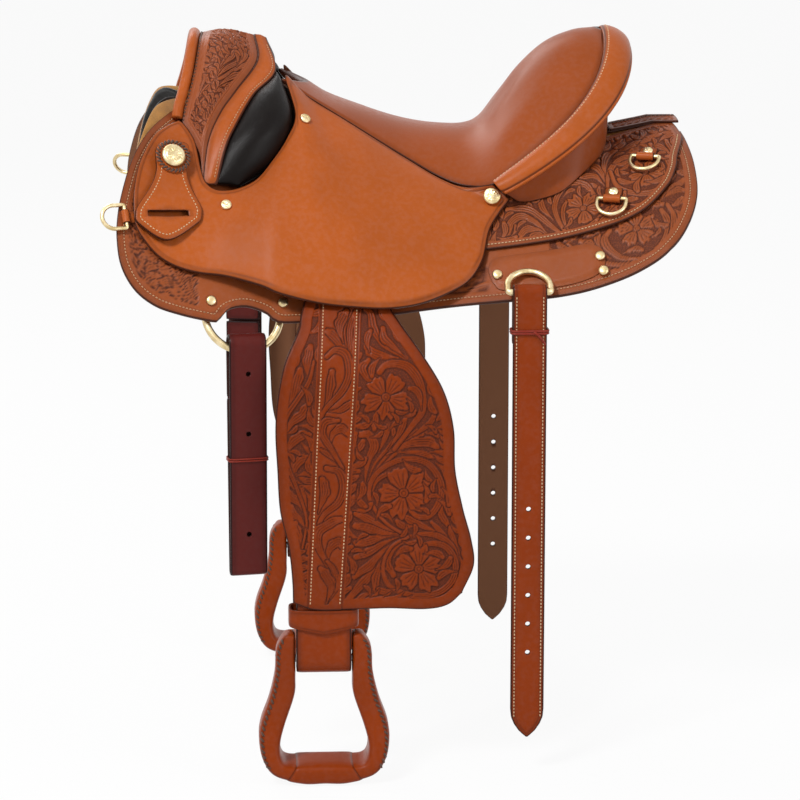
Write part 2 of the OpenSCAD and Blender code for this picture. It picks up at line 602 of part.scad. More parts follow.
// Latigo keepers: a slotted plate on the jockey's ear, under a rosette and a concho
keeper_edge_shares = [[-0.22, 1], [0.22, 1], [0.23, 0.72], [0.31, 0.55], [0.47, 0.36], [0.5, 0.27],
    [0.44, 0.17], [0, 0], [-0.44, 0.17], [-0.5, 0.27], [-0.47, 0.36], [-0.31, 0.55], [-0.23, 0.72]];
keeper_shares = [0.224, 0.492];
keeper_stand = 4.5;
keeper_turn = -3.9;
keeper_lean_share = 0.2;
keeper_foot_share = 0.5;
slot_w = 50;
slot_h = 8;
slot_share = 0.24;
concho_top_share = 0.86;
rosette_d = 43;
rosette_th = 3;
rosette_lobes = 8;
lobe_share = 0.07;
concho_h = 6;
keeper_frame = jockey_frame(keeper_shares.x, keeper_shares.y, keeper_stand);
// A point of the plate, whose head leans to the rear of its foot
function keeper_pt(s) = [s.x * keeper_w + keeper_lean_share * (s.y - keeper_foot_share) * keeper_h,
    (s.y - keeper_foot_share) * keeper_h];
module keeper_place(s, z) multmatrix(keeper_frame) rotate([0, 0, keeper_turn])
    translate([keeper_pt(s).x, keeper_pt(s).y, z]) children();
module latigo_keepers() color(brown) both_sides() difference() {
    multmatrix(keeper_frame) rotate([0, 0, keeper_turn]) linear_extrude(keeper_th)
        polygon([for (s = keeper_edge_shares) keeper_pt(s)]);
    keeper_place([0, slot_share], -overrun) translate([-slot_w / 2, 0, 0])
        cube([slot_w, slot_h, keeper_th + 2 * overrun]);
}
keeper_head_shares = [0, concho_top_share];
module keeper_rosettes() color(black) both_sides() keeper_place(keeper_head_shares, keeper_th + seat_clear)
    linear_extrude(rosette_th) polygon([for (k = [0 : 4 * rosette_lobes - 1])
        let (a = 90 * k / rosette_lobes,
            r = rosette_d / 2 * (1 - lobe_share + lobe_share * cos(rosette_lobes * a)))
        [r * cos(a), r * sin(a)]]);
module keeper_conchos() color(brass) both_sides()
    keeper_place(keeper_head_shares, keeper_th + 2 * seat_clear + rosette_th) stud(concho_d, concho_h);

// Dees: a bar along X with a bow on the low side
module dee(w, h, wire) {
    bow = (w - wire) / 2;
    leg = h - wire - bow;
    rotate([0, 90, 0]) cylinder(d = wire, h = 2 * bow, center = true);
    for (s = [-1, 1]) translate([s * bow, 0, 0]) {
        sphere(d = wire);
        rotate([90, 0, 0]) cylinder(d = wire, h = leg);
    }
    translate([0, -leg, 0]) rotate([0, 0, 180])
        rotate_extrude(angle = 180) translate([bow, 0]) circle(d = wire);
}
dee_clear = 0.4;
tab_w = 22;
tab_th = 2;
tab_len = 20;
loop_r = dee_wire / 2 + dee_clear;
dee_lift = loop_r + tab_th + seat_clear + layer_gap;
lower_dee = [246, -10];
upper_dee = [292, 34];
dee_stand = housing_out + dee_lift;
module lower_dee_place() multmatrix(back_frame(lower_dee.x, lower_dee.y, dee_stand)) children();
module upper_dee_place() multmatrix(back_frame(upper_dee.x, upper_dee.y, dee_stand)) children();
module saddle_dee_lower_near() color(brass) lower_dee_place() dee(dee_w, dee_h, dee_wire);
module saddle_dee_lower_off() color(brass) off_side() saddle_dee_lower_near();
module saddle_dee_upper_near() color(brass) upper_dee_place() dee(dee_w, dee_h, dee_wire);
module saddle_dee_upper_off() color(brass) off_side() saddle_dee_upper_near();
// A leather tab: a flat tail up the slope and a loop round the dee's bar
module tab(w) difference() {
    union() {
        rotate([0, 90, 0]) cylinder(r = loop_r + tab_th, h = w, center = true);
        translate([-w / 2, 0, -loop_r - tab_th]) cube([w, tab_len, tab_th]);
    }
    rotate([0, 90, 0]) cylinder(r = loop_r, h = w + overrun, center = true);
}
module dee_tabs() color(brown) both_sides() {
    lower_dee_place() tab(tab_w);
    upper_dee_place() tab(tab_w);
}
stud_along_share = 0.6;
module dee_studs() color(brass) both_sides() {
    lower_dee_place() translate([0, tab_len * stud_along_share, seat_clear - loop_r]) stud(stud_d, stud_h);
    upper_dee_place() translate([0, tab_len * stud_along_share, seat_clear - loop_r]) stud(stud_d, stud_h);
}

// Front dees: the bar lies down the slope, the bow points ahead of the skirt
dee_ahead = 10;
front_dee_at = [-jockey_front - dee_ahead, -19];
chape_w = 16;
chape_th = 1.5;
chape_len = 20;
front_loop_r = dee_wire / 2 + dee_clear;
front_dee_stand = skirt_out + seat_clear + chape_th + front_loop_r;
module front_dee_place() multmatrix(back_frame(front_dee_at.x, front_dee_at.y, front_dee_stand))
    rotate([0, 0, -90]) children();
module front_dee_near() color(brass) front_dee_place() dee(front_dee_w, front_dee_h, dee_wire);
module front_dee_off() color(brass) off_side() front_dee_near();
module front_dee_chapes() color(brown) both_sides() front_dee_place() difference() {
    union() {
        rotate([0, 90, 0]) cylinder(r = front_loop_r + chape_th, h = chape_w, center = true);
        translate([-chape_w / 2, 0, -front_loop_r - chape_th]) cube([chape_w, chape_len, chape_th]);
    }
    rotate([0, 90, 0]) cylinder(r = front_loop_r, h = chape_w + overrun, center = true);
}

// Front rigging: a ring behind the skirt's arch, held by a leather backing
ring_shares = [0.21, -0.932];
ring_at = [skirt_x(ring_shares.x), ring_shares.y * skirt_drop];
ring_gap = 0.6;
ring_inset = 2.6;
ring_bow = (ring_d - ring_wire) / 2;
ring_frame = back_frame(ring_at.x, ring_at.y, skirt_in - ring_inset - ring_wire / 2);
module front_rings() color(brass) both_sides() multmatrix(ring_frame)
    rotate_extrude() translate([ring_bow, 0]) circle(d = ring_wire);
backing_shares = [[-0.62, 0.2], [-0.62, 0.48], [0.62, 0.48], [0.62, 0.2], [0.3, 0.3], [-0.3, 0.3]];
backing_th = 4;
module ring_backings() color(brown) both_sides() multmatrix(ring_frame)
    translate([0, 0, -ring_wire / 2 - ring_gap - backing_th]) linear_extrude(backing_th)
        polygon([for (s = backing_shares) s * ring_d]);

// Rear rigging: behind the jockey's end a plate on the skirt, and a dee lying on it
plate_low_shares = [[-0.065, -0.62], [-0.057, -0.7], [-0.037, -0.745], [0.053, -0.71], [0.103, -0.65],
    [0.128, -0.58], [0.133, -0.52]];
plate_top_shares = [[-0.065, -0.58], [-0.057, -0.53], [-0.037, -0.5], [0.053, -0.44], [0.103, -0.4],
    [0.125, -0.42], [0.133, -0.46]];
plate_th = 3;
plate_out = skirt_out + layer_gap + plate_th;
plate_rows = 3;
rig_behind = 15;
rig_drop = 108;
rig_at = [jockey_x(1) + rig_behind, -rig_drop];
function rig_x(s) = rig_at.x + s * skirt_len;
function plate_edge(shares) = [for (s = shares) on_back(rig_x(s.x), s.y * skirt_drop, plate_out)];
module rear_rigging_plates() color(brown) both_sides()
    leaf_on_back(plate_edge(plate_top_shares), plate_edge(plate_low_shares), skirt_out + layer_gap, plate_out,
        plate_rows);
rig_lift = 16;
rig_tilt = 19.4;
rig_stand = plate_out + rig_lift;
rig_normal = back_normal(rig_at.x, rig_at.y, rig_stand);
rig_frame = frame_of(back_at(rig_at.x, rig_at.y, rig_stand), unit([0, rig_normal.y, rig_normal.z]));
module rear_rigging_dees() color(brass) both_sides() multmatrix(rig_frame)
    rotate([rig_tilt, 0, 180]) dee(rig_dee_w, rig_dee_h, rig_wire);
rivet_shares = [[-0.051, -0.64], [0.125, -0.49]];
front_rivet_shares = [[0.157, -0.8], [0.279, -0.84]];
module rivet(x, s, o) multmatrix(back_frame(x, s.y * skirt_drop, o + seat_clear)) stud(stud_d, stud_h);
module rigging_rivets() color(brass) both_sides() {
    for (s = rivet_shares) rivet(rig_x(s.x), s, plate_out);
    for (s = front_rivet_shares) rivet(skirt_x(s.x), s, skirt_out);
}

// Stirrup leather and fender: a slope under the jockey, an arc, then upright
slope = tan(hang_angle);
bend_half = hang_half + slope * (bend_drop - hang_drop);
// Distance across at height z for a leaf that stands o outside the leather's inner face
function hang_y(z, o) = let (k = -bend_drop + o * sin(hang_angle), y = bend_half + o * cos(hang_angle),
        r = hang_bend + o)
    z > k ? y - slope * (z - k)
    : let (s = sin(hang_angle) - (k - z) / r)
    s > 0 ? y + r * (sqrt(1 - s * s) - cos(hang_angle)) : y + r * (1 - cos(hang_angle));
function hang_pt(x, z, o) = [x, -hang_y(z, o), z];
hang_point = hang_pt(-hang_x, -hang_drop, leather_th / 2);
hang_normal = [0, -cos(hang_angle), sin(hang_angle)];
hang_frame = frame_of(hang_point, hang_normal);
fender_in = leather_th + layer_gap;
fender_out = fender_in + fender_th;
fender_mid = 50;
fender_top = 66;
fender_front_shares = [[-0.26, 0], [-0.36, 0.15], [-0.382, 0.2], [-0.463, 0.29], [-0.505, 0.394],
    [-0.517, 0.485], [-0.508, 0.59], [-0.495, 0.71], [-0.45, 0.817], [-0.431, 0.915], [-0.427, 0.978]];
fender_rear_shares = [[0.03, 0], [0.11, 0.135], [0.16, 0.18], [0.289, 0.27], [0.4, 0.368], [0.454, 0.476],
    [0.463, 0.596], [0.505, 0.707], [0.55, 0.798], [0.564, 0.875], [0.5, 0.955]];
fender_foot_shares = [[-0.427, 0.978], [-0.3, 1.0], [-0.1, 1.0], [0.1, 0.998], [0.3, 1.002],
    [0.42, 0.99], [0.5, 0.955]];
foot_from_share = 0.7;
fender_rows = 22;
fender_cols = 8;
fender_h = fender_drop - fender_top;
function fender_edge(shares) = [for (s = shares)
    [s.x * fender_w - fender_mid, -fender_top - s.y * fender_h]];
fender_foot = fender_edge(fender_foot_shares);
function fender_xz(v, w) = let (
        a = curve_pt(fender_edge(fender_front_shares), v), b = curve_pt(fender_edge(fender_rear_shares), v),
        chord = lerp(curve_pt(fender_foot, 0), curve_pt(fender_foot, 1), w))
    lerp(a, b, w)
        + (curve_pt(fender_foot, w) - chord) * ease((v - foot_from_share) / (1 - foot_from_share));
function fender_grid(o) = [for (i = [0 : fender_rows]) [for (j = [0 : fender_cols])
    let (p = fender_xz(i / fender_rows, j / fender_cols)) hang_pt(p.x, p.y, o)]];
module fender_near() color(tooled) leaf(fender_grid(fender_out), fender_grid(fender_in));
module fender_off() color(tooled) off_side() fender_near();

stirrup_x = 106;
hang_clear = 0.4;
roller_r = roller_d / 2;
foot_half = hang_y(-bolt_drop, 0);
stirrup_y = foot_half - roller_r - hang_clear;
bolt_at = [-stirrup_x, -stirrup_y, -bolt_drop];
leather_head = 24;
leather_tail = 62;
leather_steps = 12;
leather_crowd_share = 0.7;
leather_top = hang_drop - leather_head;
// Profile of the leather across the horse: the hanging run, whose turn and tail follow below
function leather_run(o) = [for (k = [0 : leather_steps])
    let (z = lerp(-leather_top, -bolt_drop, pow(k / leather_steps, leather_crowd_share)))
    [hang_y(z, o), z]];
module leather_profile()
    polygon(concat(leather_run(0), [for (k = [leather_steps : -1 : 0]) leather_run(leather_th)[k]]));
// Its outline from the side leans forward down to the hobble strap, then drops straight to the roller
function leather_edge(s) = [[s * leather_w / 2 - hang_x, overrun - leather_top],
    [s * leather_w / 2 - stirrup_x, overrun - hobble_drop],
    [s * leather_w / 2 - stirrup_x, -bolt_drop - roller_d]];
module leather_outline() polygon(concat(leather_edge(-1), [for (k = [2 : -1 : 0]) leather_edge(1)[k]]));
// A profile drawn across and up, carried along X over a strap's width
module along_x(w) rotate([90, 0, -90]) translate([0, 0, -w / 2]) linear_extrude(w) children();
loop_in = roller_r + hang_clear;
loop_out = loop_in + leather_th;
module stirrup_leather_near() color(brown) difference() {
    union() {
        intersection() {
            translate([-hang_x, 0, 0]) along_x(2 * fender_w) leather_profile();
            rotate([90, 0, 0]) linear_extrude(foot_half + hang_bend) leather_outline();
        }
        translate(bolt_at) {
            rotate([0, 90, 0]) cylinder(r = loop_out, h = leather_w, center = true);
            translate([-leather_w / 2, loop_in, 0]) cube([leather_w, leather_th, leather_tail]);
        }
    }
    translate(bolt_at) {
        rotate([0, 90, 0]) cylinder(r = loop_in, h = leather_w + overrun, center = true);
        translate([-leather_w / 2 - overrun, -loop_in, 0])
            cube([leather_w + 2 * overrun, 2 * loop_in, loop_out + overrun]);
    }
    multmatrix(hang_frame) cylinder(d = hanger_d + 2 * hang_clear, h = 4 * leather_th, center = true);
}
module stirrup_leather_off() color(brown) off_side() stirrup_leather_near();
// Hangers: a stud on the tree bar that each leather turns on
hanger_d = 12;
hanger_head_d = 22;
hanger_head = 2.5;
hanger_base = 2;
module leather_hangers() color(steel) both_sides() multmatrix(hang_frame) {
    translate([0, 0, -leather_th / 2 - hang_clear - hanger_base])
        cylinder(d = hanger_head_d, h = hanger_base);
    translate([0, 0, -leather_th / 2 - hang_clear])
        cylinder(d = hanger_d, h = leather_th + 2 * hang_clear);
    translate([0, 0, leather_th / 2 + hang_clear]) cylinder(d = hanger_head_d, h = hanger_head);
}

// Hobble strap round the leather above the stirrup
hobble_h = 30;
hobble_w = 84;
hobble_th = 3.5;
hobble_gap = 2;
hobble_drop = fender_drop + hobble_gap;
hobble_clear = 0.6;
hobble_in = loop_out + hobble_clear;
hobble_outline_shares = [[-0.5, 0], [0.5, 0], [0.5, -0.7], [0, -1], [-0.5, -0.7]];
module hobble_strap_near() color(brown) translate([bolt_at.x, bolt_at.y, -hobble_drop]) intersection() {
    translate([0, 0, -hobble_h]) linear_extrude(hobble_h) difference() {
        square([hobble_w, 2 * (hobble_in + hobble_th)], center = true);
        square([leather_w + 2 * hobble_clear, 2 * hobble_in], center = true);
    }
    rotate([90, 0, 0]) linear_extrude(2 * hobble_w, center = true)
        polygon([for (s = hobble_outline_shares) [s.x * hobble_w, s.y * hobble_h]]);
}
module hobble_strap_off() color(brown) off_side() hobble_strap_near();

// Stirrups: a bent wooden bell with a roller on a bolt between its arms
stirrup_top = 34;
arm_gap = 1;
arm_in = leather_w / 2 + arm_gap;
stirrup_out_shares = [[0.29, 0], [0.36, 0.1], [0.375, 0.27], [0.42, 0.44], [0.485, 0.6], [0.5, 0.72],
    [0.47, 0.85], [0.38, 0.95], [0.17, 1]];
stirrup_in_shares = [[0, 0.3], [0.03, 0.42], [0.3, 0.62], [0.42, 0.74], [0.38, 0.83], [0.2, 0.87]];
function stirrup_half(s) = [for (p = s) [p.x * stirrup_w, stirrup_top - p.y * stirrup_h]];
function stirrup_inner() = concat([[arm_in, stirrup_top + overrun]],
    [for (p = stirrup_in_shares) [lerp(arm_in, stirrup_w / 2, p.x), stirrup_top - p.y * stirrup_h]]);
function both_ways(p) = concat(p, [for (k = [len(p) - 1 : -1 : 0]) [-p[k].x, p[k].y]]);
module stirrup_face() difference() {
    polygon(both_ways(stirrup_half(stirrup_out_shares)));
    polygon(both_ways(stirrup_inner()));
}
side_shares = [[0, 0], [0, 0.3], [0.22, 0.55], [1, 0.86], [1, 1]];
function side_half() = [for (p = side_shares) [lerp(arm_depth, tread_depth, p.x) / 2,
    stirrup_top - p.y * stirrup_h]];
module stirrup_near() color(brown) translate(bolt_at) difference() {
    intersection() {
        translate([0, tread_depth, 0]) rotate([90, 0, 0]) linear_extrude(2 * tread_depth) stirrup_face();
        along_x(2 * stirrup_w) polygon(both_ways(side_half()));
    }
    rotate([0, 90, 0]) cylinder(d = bolt_d + hang_clear, h = 2 * stirrup_w, center = true);
}
module stirrup_off() color(brown) off_side() stirrup_near();
bolt_len_share = 0.74;
module stirrup_bolt_near() color(steel) translate(bolt_at) rotate([0, 90, 0]) {
    cylinder(d = bolt_d, h = bolt_len_share * stirrup_w, center = true);
    cylinder(d = roller_d, h = leather_w, center = true);
}
module stirrup_bolt_off() color(steel) off_side() stirrup_bolt_near();
cover_w_share = 0.5;
tread_cover_th = 3;
tread_top_share = 0.87;
module tread_cover_near() color(black) translate(bolt_at)
    translate([0, 0, stirrup_top - tread_top_share * stirrup_h + seat_clear])
        linear_extrude(tread_cover_th)
            square([cover_w_share * stirrup_w, tread_depth - 2 * overrun], center = true);
module tread_cover_off() color(black) off_side() tread_cover_near();

// Latigo on the near side and billet on the off side, doubled round the front rings
ring_yaw = atan2(ring_frame[1][0], ring_frame[0][0]);
ring_low = place_of(ring_frame) - ring_bow * up_of(ring_frame);
strap_clear = 4.2;
strap_in = ring_wire / 2 + strap_clear;
strap_foot = 3;
fold_up = 8;
fold_steps = 12;
function half_turn(y, r, start) = [for (k = [0 : fold_steps])
    let (a = start + 180 * k / fold_steps) [r * cos(a), y + r * sin(a)]];
module strap_run(top_r, low_r)
    polygon(concat(half_turn(fold_up, top_r, 0), half_turn(-latigo_drop, low_r, 180)));
latigo_hole_shares = [0.145, 0.392, 0.81];
latigo_drop = latigo_len - fold_up - strap_in - strap_foot - 2 * latigo_th;
latigo_reach = strap_in + latigo_th + overrun;
module latigo_place() translate(ring_low) rotate([0, 0, ring_yaw]) children();
module latigo_body() latigo_place() difference() {
    along_x(latigo_w) difference() {
        strap_run(strap_in + latigo_th, strap_foot + latigo_th);
        strap_run(strap_in, strap_foot);
    }
    for (s = latigo_hole_shares) translate([0, 0, fold_up + strap_in - s * latigo_len])
        rotate([90, 0, 0]) cylinder(d = hole_d, h = latigo_reach);
}
module latigo_near() color(burgundy) latigo_body();
module off_billet() color(burgundy) off_side() latigo_body();
tie_share = 0.5;
tie_h = 7;
tie_th = 1.5;
tie_clear = 0.4;
tie_in = lerp(strap_in, strap_foot, tie_share) + latigo_th + tie_clear;
// A flat loop of lace round a strap
module lace_loop(w, half, th, h) linear_extrude(h) difference() {
    square([w + 2 * (tie_clear + th), 2 * (half + th)], center = true);
    square([w + 2 * tie_clear, 2 * half], center = true);
}
module latigo_tie_near() color(red_lace) latigo_place() translate([0, 0, -tie_share * latigo_drop])
    lace_loop(latigo_w, tie_in, tie_th, tie_h);

// Rear billets: folded round the rigging dee's bar, punched for the girth buckle
billet_clear = 0.4;
billet_r = rig_wire / 2 + billet_clear;
billet_tail = 62;
tip_h = 34;
hole_count = 6;
first_hole = 262;
billet_tip_shares = [[-0.5, 1], [-0.5, 0.7], [-0.34, 0.2], [0, 0], [0.34, 0.2], [0.5, 0.7], [0.5, 1]];
billet_reach = billet_r + billet_th + overrun;
module billet_profile() difference() {
    union() {
        circle(r = billet_r + billet_th);
        translate([billet_r, -billet_len]) square([billet_th, billet_len]);
        translate([-billet_r - billet_th, -billet_tail]) square([billet_th, billet_tail]);
    }
    circle(r = billet_r);
    translate([-billet_r, -billet_len]) square([2 * billet_r, billet_len]);
}
module billet_outline() polygon(concat(
    [for (s = billet_tip_shares) [s.x * billet_w, s.y * tip_h - billet_len]],
    [[billet_w / 2, billet_reach], [-billet_w / 2, billet_reach]]));
module billet_place() translate(place_of(rig_frame)) children();
module rear_billet_near() color(brown) billet_place() difference() {
    intersection() {
        along_x(billet_w) billet_profile();
        rotate([90, 0, 0]) linear_extrude(2 * billet_reach, center = true) billet_outline();
    }
    for (k = [0 : hole_count - 1]) translate([0, 0, -first_hole - k * hole_pitch])
        rotate([90, 0, 0]) cylinder(d = hole_d, h = billet_reach);
}
module rear_billet_off() color(brown) off_side() rear_billet_near();
lace_h = 5;
lace_drop = 48;
lace_th = 2;
module billet_lace_near() color(red_lace) billet_place() translate([0, 0, -lace_drop])
    lace_loop(billet_w, billet_r + billet_th + tie_clear, lace_th, lace_h);
module billet_lace_off() color(red_lace) off_side() billet_lace_near();

tree_fork();
tree_bars();
tree_cantle();
ground_seat();
seat_pad();
cantle_roll();
cantle_back();
swell_cover();
gullet_roll();
swell_bands();
knee_pad_near();
knee_pad_off();
jockey_near();
jockey_off();
skirt_near();
skirt_off();
felt_layers();
panels();
housing_near();
housing_off();
ridge_strip();
rear_rigging_plates();
ring_backings();
front_rings();
rear_rigging_dees();
latigo_keepers();
keeper_rosettes();
keeper_conchos();
jockey_screws();
cantle_conchos();
rigging_rivets();
dee_tabs();
dee_studs();
front_dee_chapes();
leather_hangers();
front_dee_near();
front_dee_off();
saddle_dee_lower_near();
saddle_dee_lower_off();
saddle_dee_upper_near();
saddle_dee_upper_off();
fender_near();
fender_off();
stirrup_leather_near();
stirrup_leather_off();
hobble_strap_near();
hobble_strap_off();
stirrup_near();
stirrup_off();
stirrup_bolt_near();
stirrup_bolt_off();
tread_cover_near();
tread_cover_off();
latigo_near();
latigo_tie_near();
off_billet();
rear_billet_near();
rear_billet_off();
billet_lace_near();
billet_lace_off();
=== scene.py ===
"""Half-breed stock saddle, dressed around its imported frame.

Every piece is a surface worked out in millimetres with the formulas of the part's source, in the same frame:
X runs from pommel to cantle, Y across the horse (near side negative), Z up. Meshes are written in metres.
"""
import json
import math

import bpy
import numpy as np
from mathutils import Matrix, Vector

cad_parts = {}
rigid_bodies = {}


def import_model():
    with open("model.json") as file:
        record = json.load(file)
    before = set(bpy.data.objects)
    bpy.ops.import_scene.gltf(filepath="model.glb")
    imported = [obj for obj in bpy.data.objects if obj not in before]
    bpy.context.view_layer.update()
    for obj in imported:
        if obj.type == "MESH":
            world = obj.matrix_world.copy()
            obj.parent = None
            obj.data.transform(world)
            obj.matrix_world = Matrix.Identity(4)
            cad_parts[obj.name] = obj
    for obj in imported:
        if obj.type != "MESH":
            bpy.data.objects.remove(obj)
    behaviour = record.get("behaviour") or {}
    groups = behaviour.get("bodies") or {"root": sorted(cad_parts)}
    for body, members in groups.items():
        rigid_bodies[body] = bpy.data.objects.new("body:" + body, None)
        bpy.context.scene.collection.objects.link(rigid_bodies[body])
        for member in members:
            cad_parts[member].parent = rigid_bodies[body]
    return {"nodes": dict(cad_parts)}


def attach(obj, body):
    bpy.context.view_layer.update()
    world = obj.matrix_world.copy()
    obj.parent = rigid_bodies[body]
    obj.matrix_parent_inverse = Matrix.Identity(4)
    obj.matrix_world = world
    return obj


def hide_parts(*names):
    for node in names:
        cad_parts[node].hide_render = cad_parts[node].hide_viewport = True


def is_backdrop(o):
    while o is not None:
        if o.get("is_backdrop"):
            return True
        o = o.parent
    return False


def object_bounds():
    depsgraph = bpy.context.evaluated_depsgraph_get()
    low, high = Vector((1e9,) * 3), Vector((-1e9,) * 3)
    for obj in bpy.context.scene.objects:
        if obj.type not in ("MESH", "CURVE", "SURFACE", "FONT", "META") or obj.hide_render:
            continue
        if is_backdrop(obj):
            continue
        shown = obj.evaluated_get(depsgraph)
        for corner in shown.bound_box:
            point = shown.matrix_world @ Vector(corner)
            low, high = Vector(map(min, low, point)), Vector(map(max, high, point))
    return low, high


bl_info = {
    "name": "Half-breed stock saddle",
    "version": (1, 0, 0),
    "blender": (4, 5, 0),
    "location": "3D View > Sidebar > Saddle",
    "description": "Carved leather, brass and stage of a stock saddle around its packed frame",
    "category": "Object",
}

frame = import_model()
CAD_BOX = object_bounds()
MM = 0.001
SEED = 7

# Sizes in millimetres, as in the part's source
BACK_R, BACK_FLARE = 150.0, 0.12
WITHERS, LOINS = (105.0, 290.0), (33.0, 311.0)
PANEL_OUT, FELT_IN, FELT_OUT = 12.0, 13.1, 20.6
SKIRT_IN, SKIRT_OUT = 21.7, 26.7
HOUSING_IN, HOUSING_OUT = 27.8, 31.8
PLATE_IN, PLATE_OUT = 27.2, 30.2
EAR_OUT = 34.2
SKIRT_LEN, SKIRT_FRONT, SKIRT_DROP = 696.0, 345.0, 146.0
CHANNEL_FRONT, CHANNEL_REAR, TOP_SHARES = 42.0, 26.0, (0.13, 0.97)
BAR_REAR, BAR_LOW, DRAPE_FROM, DRAPE, DRAPE_STEP = 222.0, 104.0, 6.0, 26.0, 6.1
HOUSING_FRONT, HOUSING_LEN, HOUSING_DROP = 88.0, 257.0, 66.0
HOUSING_TOP, HOUSING_TOP_END = (74.0, 22.0), 0.965
STRIP_X, STRIP_HALF, STRIP_TH, LAYER_GAP = (259.0, 343.0), 27.0, 3.0, 0.5
SEAT_HALF, SEAT_LOW, SEAT_TH, SEAT_RISE = 152.0, 60.0, 14.0, 60.0
SEAT_FRONT, SEAT_LEN, SEAM_Z = 146.0, 250.0, 180.0
CORNER_X, CORNER_Z, CANTLE_RISE, CANTLE_REACH = 104.0, 8.0, 172.0, 144.0
RIM_POWER, SEAT_POWER, RIM_END = 1.65, 2.2, 8.0
SEAT_THIN, SEAT_THIN_POWER = 0.6, 6
ROLL_W, ROLL_TH, ROLL_END, ROLL_TAPER = 40.0, 17.0, 88.0, 0.4
BACK_TH, BACK_LIFT, BACK_UP = 4.0, 1.4, 0.9
FORK_TOP, SWELL_HALF, FORK_REAR, FORK_LEN = 179.0, 170.0, 136.0, 134.0
COVER_TH, BAND_PROUD, LIP_D, LIP_TUCK, LIP_END = 6.0, 1.5, 13.0, 1.0, 0.96
PAD_CROWN, PAD_TH, PAD_START, PAD_END, PAD_GAP = 17.0, 8.0, 0.2, 0.97, 0.04
PAD_REACH, PAD_TUCK, JOCKEY_TUCK = 1.14, 5.0, 0.02
JOCKEY_LEN, JOCKEY_FRONT, JOCKEY_DROP, JOCKEY_TH = 450.0, 325.0, 124.0, 5.0
JOCKEY_LIFT, JOCKEY_CROWN, JOCKEY_HANG = 22.0, 13.0, 32.0
SEAM_STEP, REAR_LIFT = 3.8, 4.0
STUD_D, STUD_H, CONCHO_D, CONCHO_H = 12.5, 4.0, 29.0, 6.0
KEEPER_W, KEEPER_H, KEEPER_TH, KEEPER_STAND = 82.0, 124.0, 5.0, 4.5
KEEPER_TURN, KEEPER_LEAN = -3.9, 0.2
SLOT_W, SLOT_H, SLOT_UP, ROSETTE_D, ROSETTE_TH = 50.0, 8.0, 0.24, 43.0, 3.0
DEE_W, DEE_H, DEE_WIRE, FRONT_DEE = 40.0, 30.0, 5.0, 34.0
TAB_W, TAB_TH, TAB_LEN, LOOP_R = 22.0, 2.0, 20.0, 2.9
CHAPE_W, CHAPE_TH = 16.0, 1.5
SEAT_CLEAR = 0.4
RING_D, RING_WIRE, RING_INSET = 99.0, 9.0, 2.6
RIG_W, RIG_H, RIG_WIRE, RIG_LIFT, RIG_TILT = 59.0, 43.0, 8.0, 16.0, 19.4
HANG_X, HANG_DROP, HANG_HALF, HANG_ANGLE = 80.0, 45.0, 175.0, 37.0
HANG_BEND, BEND_DROP = 150.0, 150.0
FENDER_IN, FENDER_OUT, FENDER_W, FENDER_MID = 5.5, 10.0, 218.0, 50.0
FENDER_TOP, FENDER_DROP = 66.0, 482.0
LEATHER_W, LEATHER_TH, LEATHER_TOP, LEATHER_TAIL = 66.0, 5.0, 21.0, 62.0
STIRRUP_X, BOLT_DROP, ROLLER_R, HANG_CLEAR = 106.0, 548.0, 12.0, 0.4
STIRRUP_W, STIRRUP_H, STIRRUP_TOP, TREAD_DEPTH, ARM_DEPTH, ARM_IN = 157.0, 184.0, 34.0, 62.0, 30.0, 34.0
HOBBLE_H, HOBBLE_W, HOBBLE_TH, HOBBLE_DROP, HOBBLE_IN = 30.0, 84.0, 3.5, 484.0, 18.0
LATIGO_W, LATIGO_TH, LATIGO_DROP, STRAP_IN, STRAP_FOOT, FOLD_UP = 45.0, 4.0, 266.3, 8.7, 3.0, 8.0
LATIGO_LEN, TIE_SHARE, TIE_H = 294.0, 0.5, 7.0
BILLET_W, BILLET_TH, BILLET_LEN, BILLET_R, BILLET_TAIL = 41.0, 5.0, 545.0, 4.4, 62.0
TIP_H, FIRST_HOLE, HOLE_PITCH, HOLE_COUNT, HOLE_D = 34.0, 262.0, 35.5, 6, 6.0
LACE_DROP, LACE_H = 48.0, 5.0
RIM_ROOM = 1.8  # the rolled rims of skirts and fenders end at their outlines
STRAP_PUFF, BACKING_TH = 0.35, 4.0
# Places: along and down the jockey or the skirt in shares, or along and up in millimetres
SCREWS_AT, CANTLE_CONCHO_AT, KEEPER_AT = ((0.669, 0.195), (0.404, 0.197)), (0.972, 0.55), (0.224, 0.492)
PLATE_RIVETS, SKIRT_RIVETS = ((-0.051, -0.64), (0.125, -0.49), (0.129, -0.595)), ((0.157, -0.8), (0.279, -0.84))
DEES_AT, FRONT_DEE_AT, RING_AT = ((246, -10), (292, 34)), (-335, -19), (0.21, -0.932)
RIG_BEHIND, RIG_DROP, CONCHO_STAND = 15.0, 108.0, 4.8
LATIGO_HOLES, LATIGO_JOIN = (0.145, 0.392, 0.81), 60
PLAIN_SKIRT = (-235, 120)  # under the jockeys, with a coarse mesh
# Pitch, length and width of stitches and laces
STITCH, CANTLE_STITCH, GULLET_STITCH = (4.2, 3.0, 1.5), (4.6, 3.2, 1.8), (5.0, 3.6, 2.0)
ROSETTE_LACE, RIDGE_LACE, STIRRUP_LACE = (4.6, 7.0, 3.2), (4.4, 7.0, 3.0), (6.5, 6.5, 2.6)
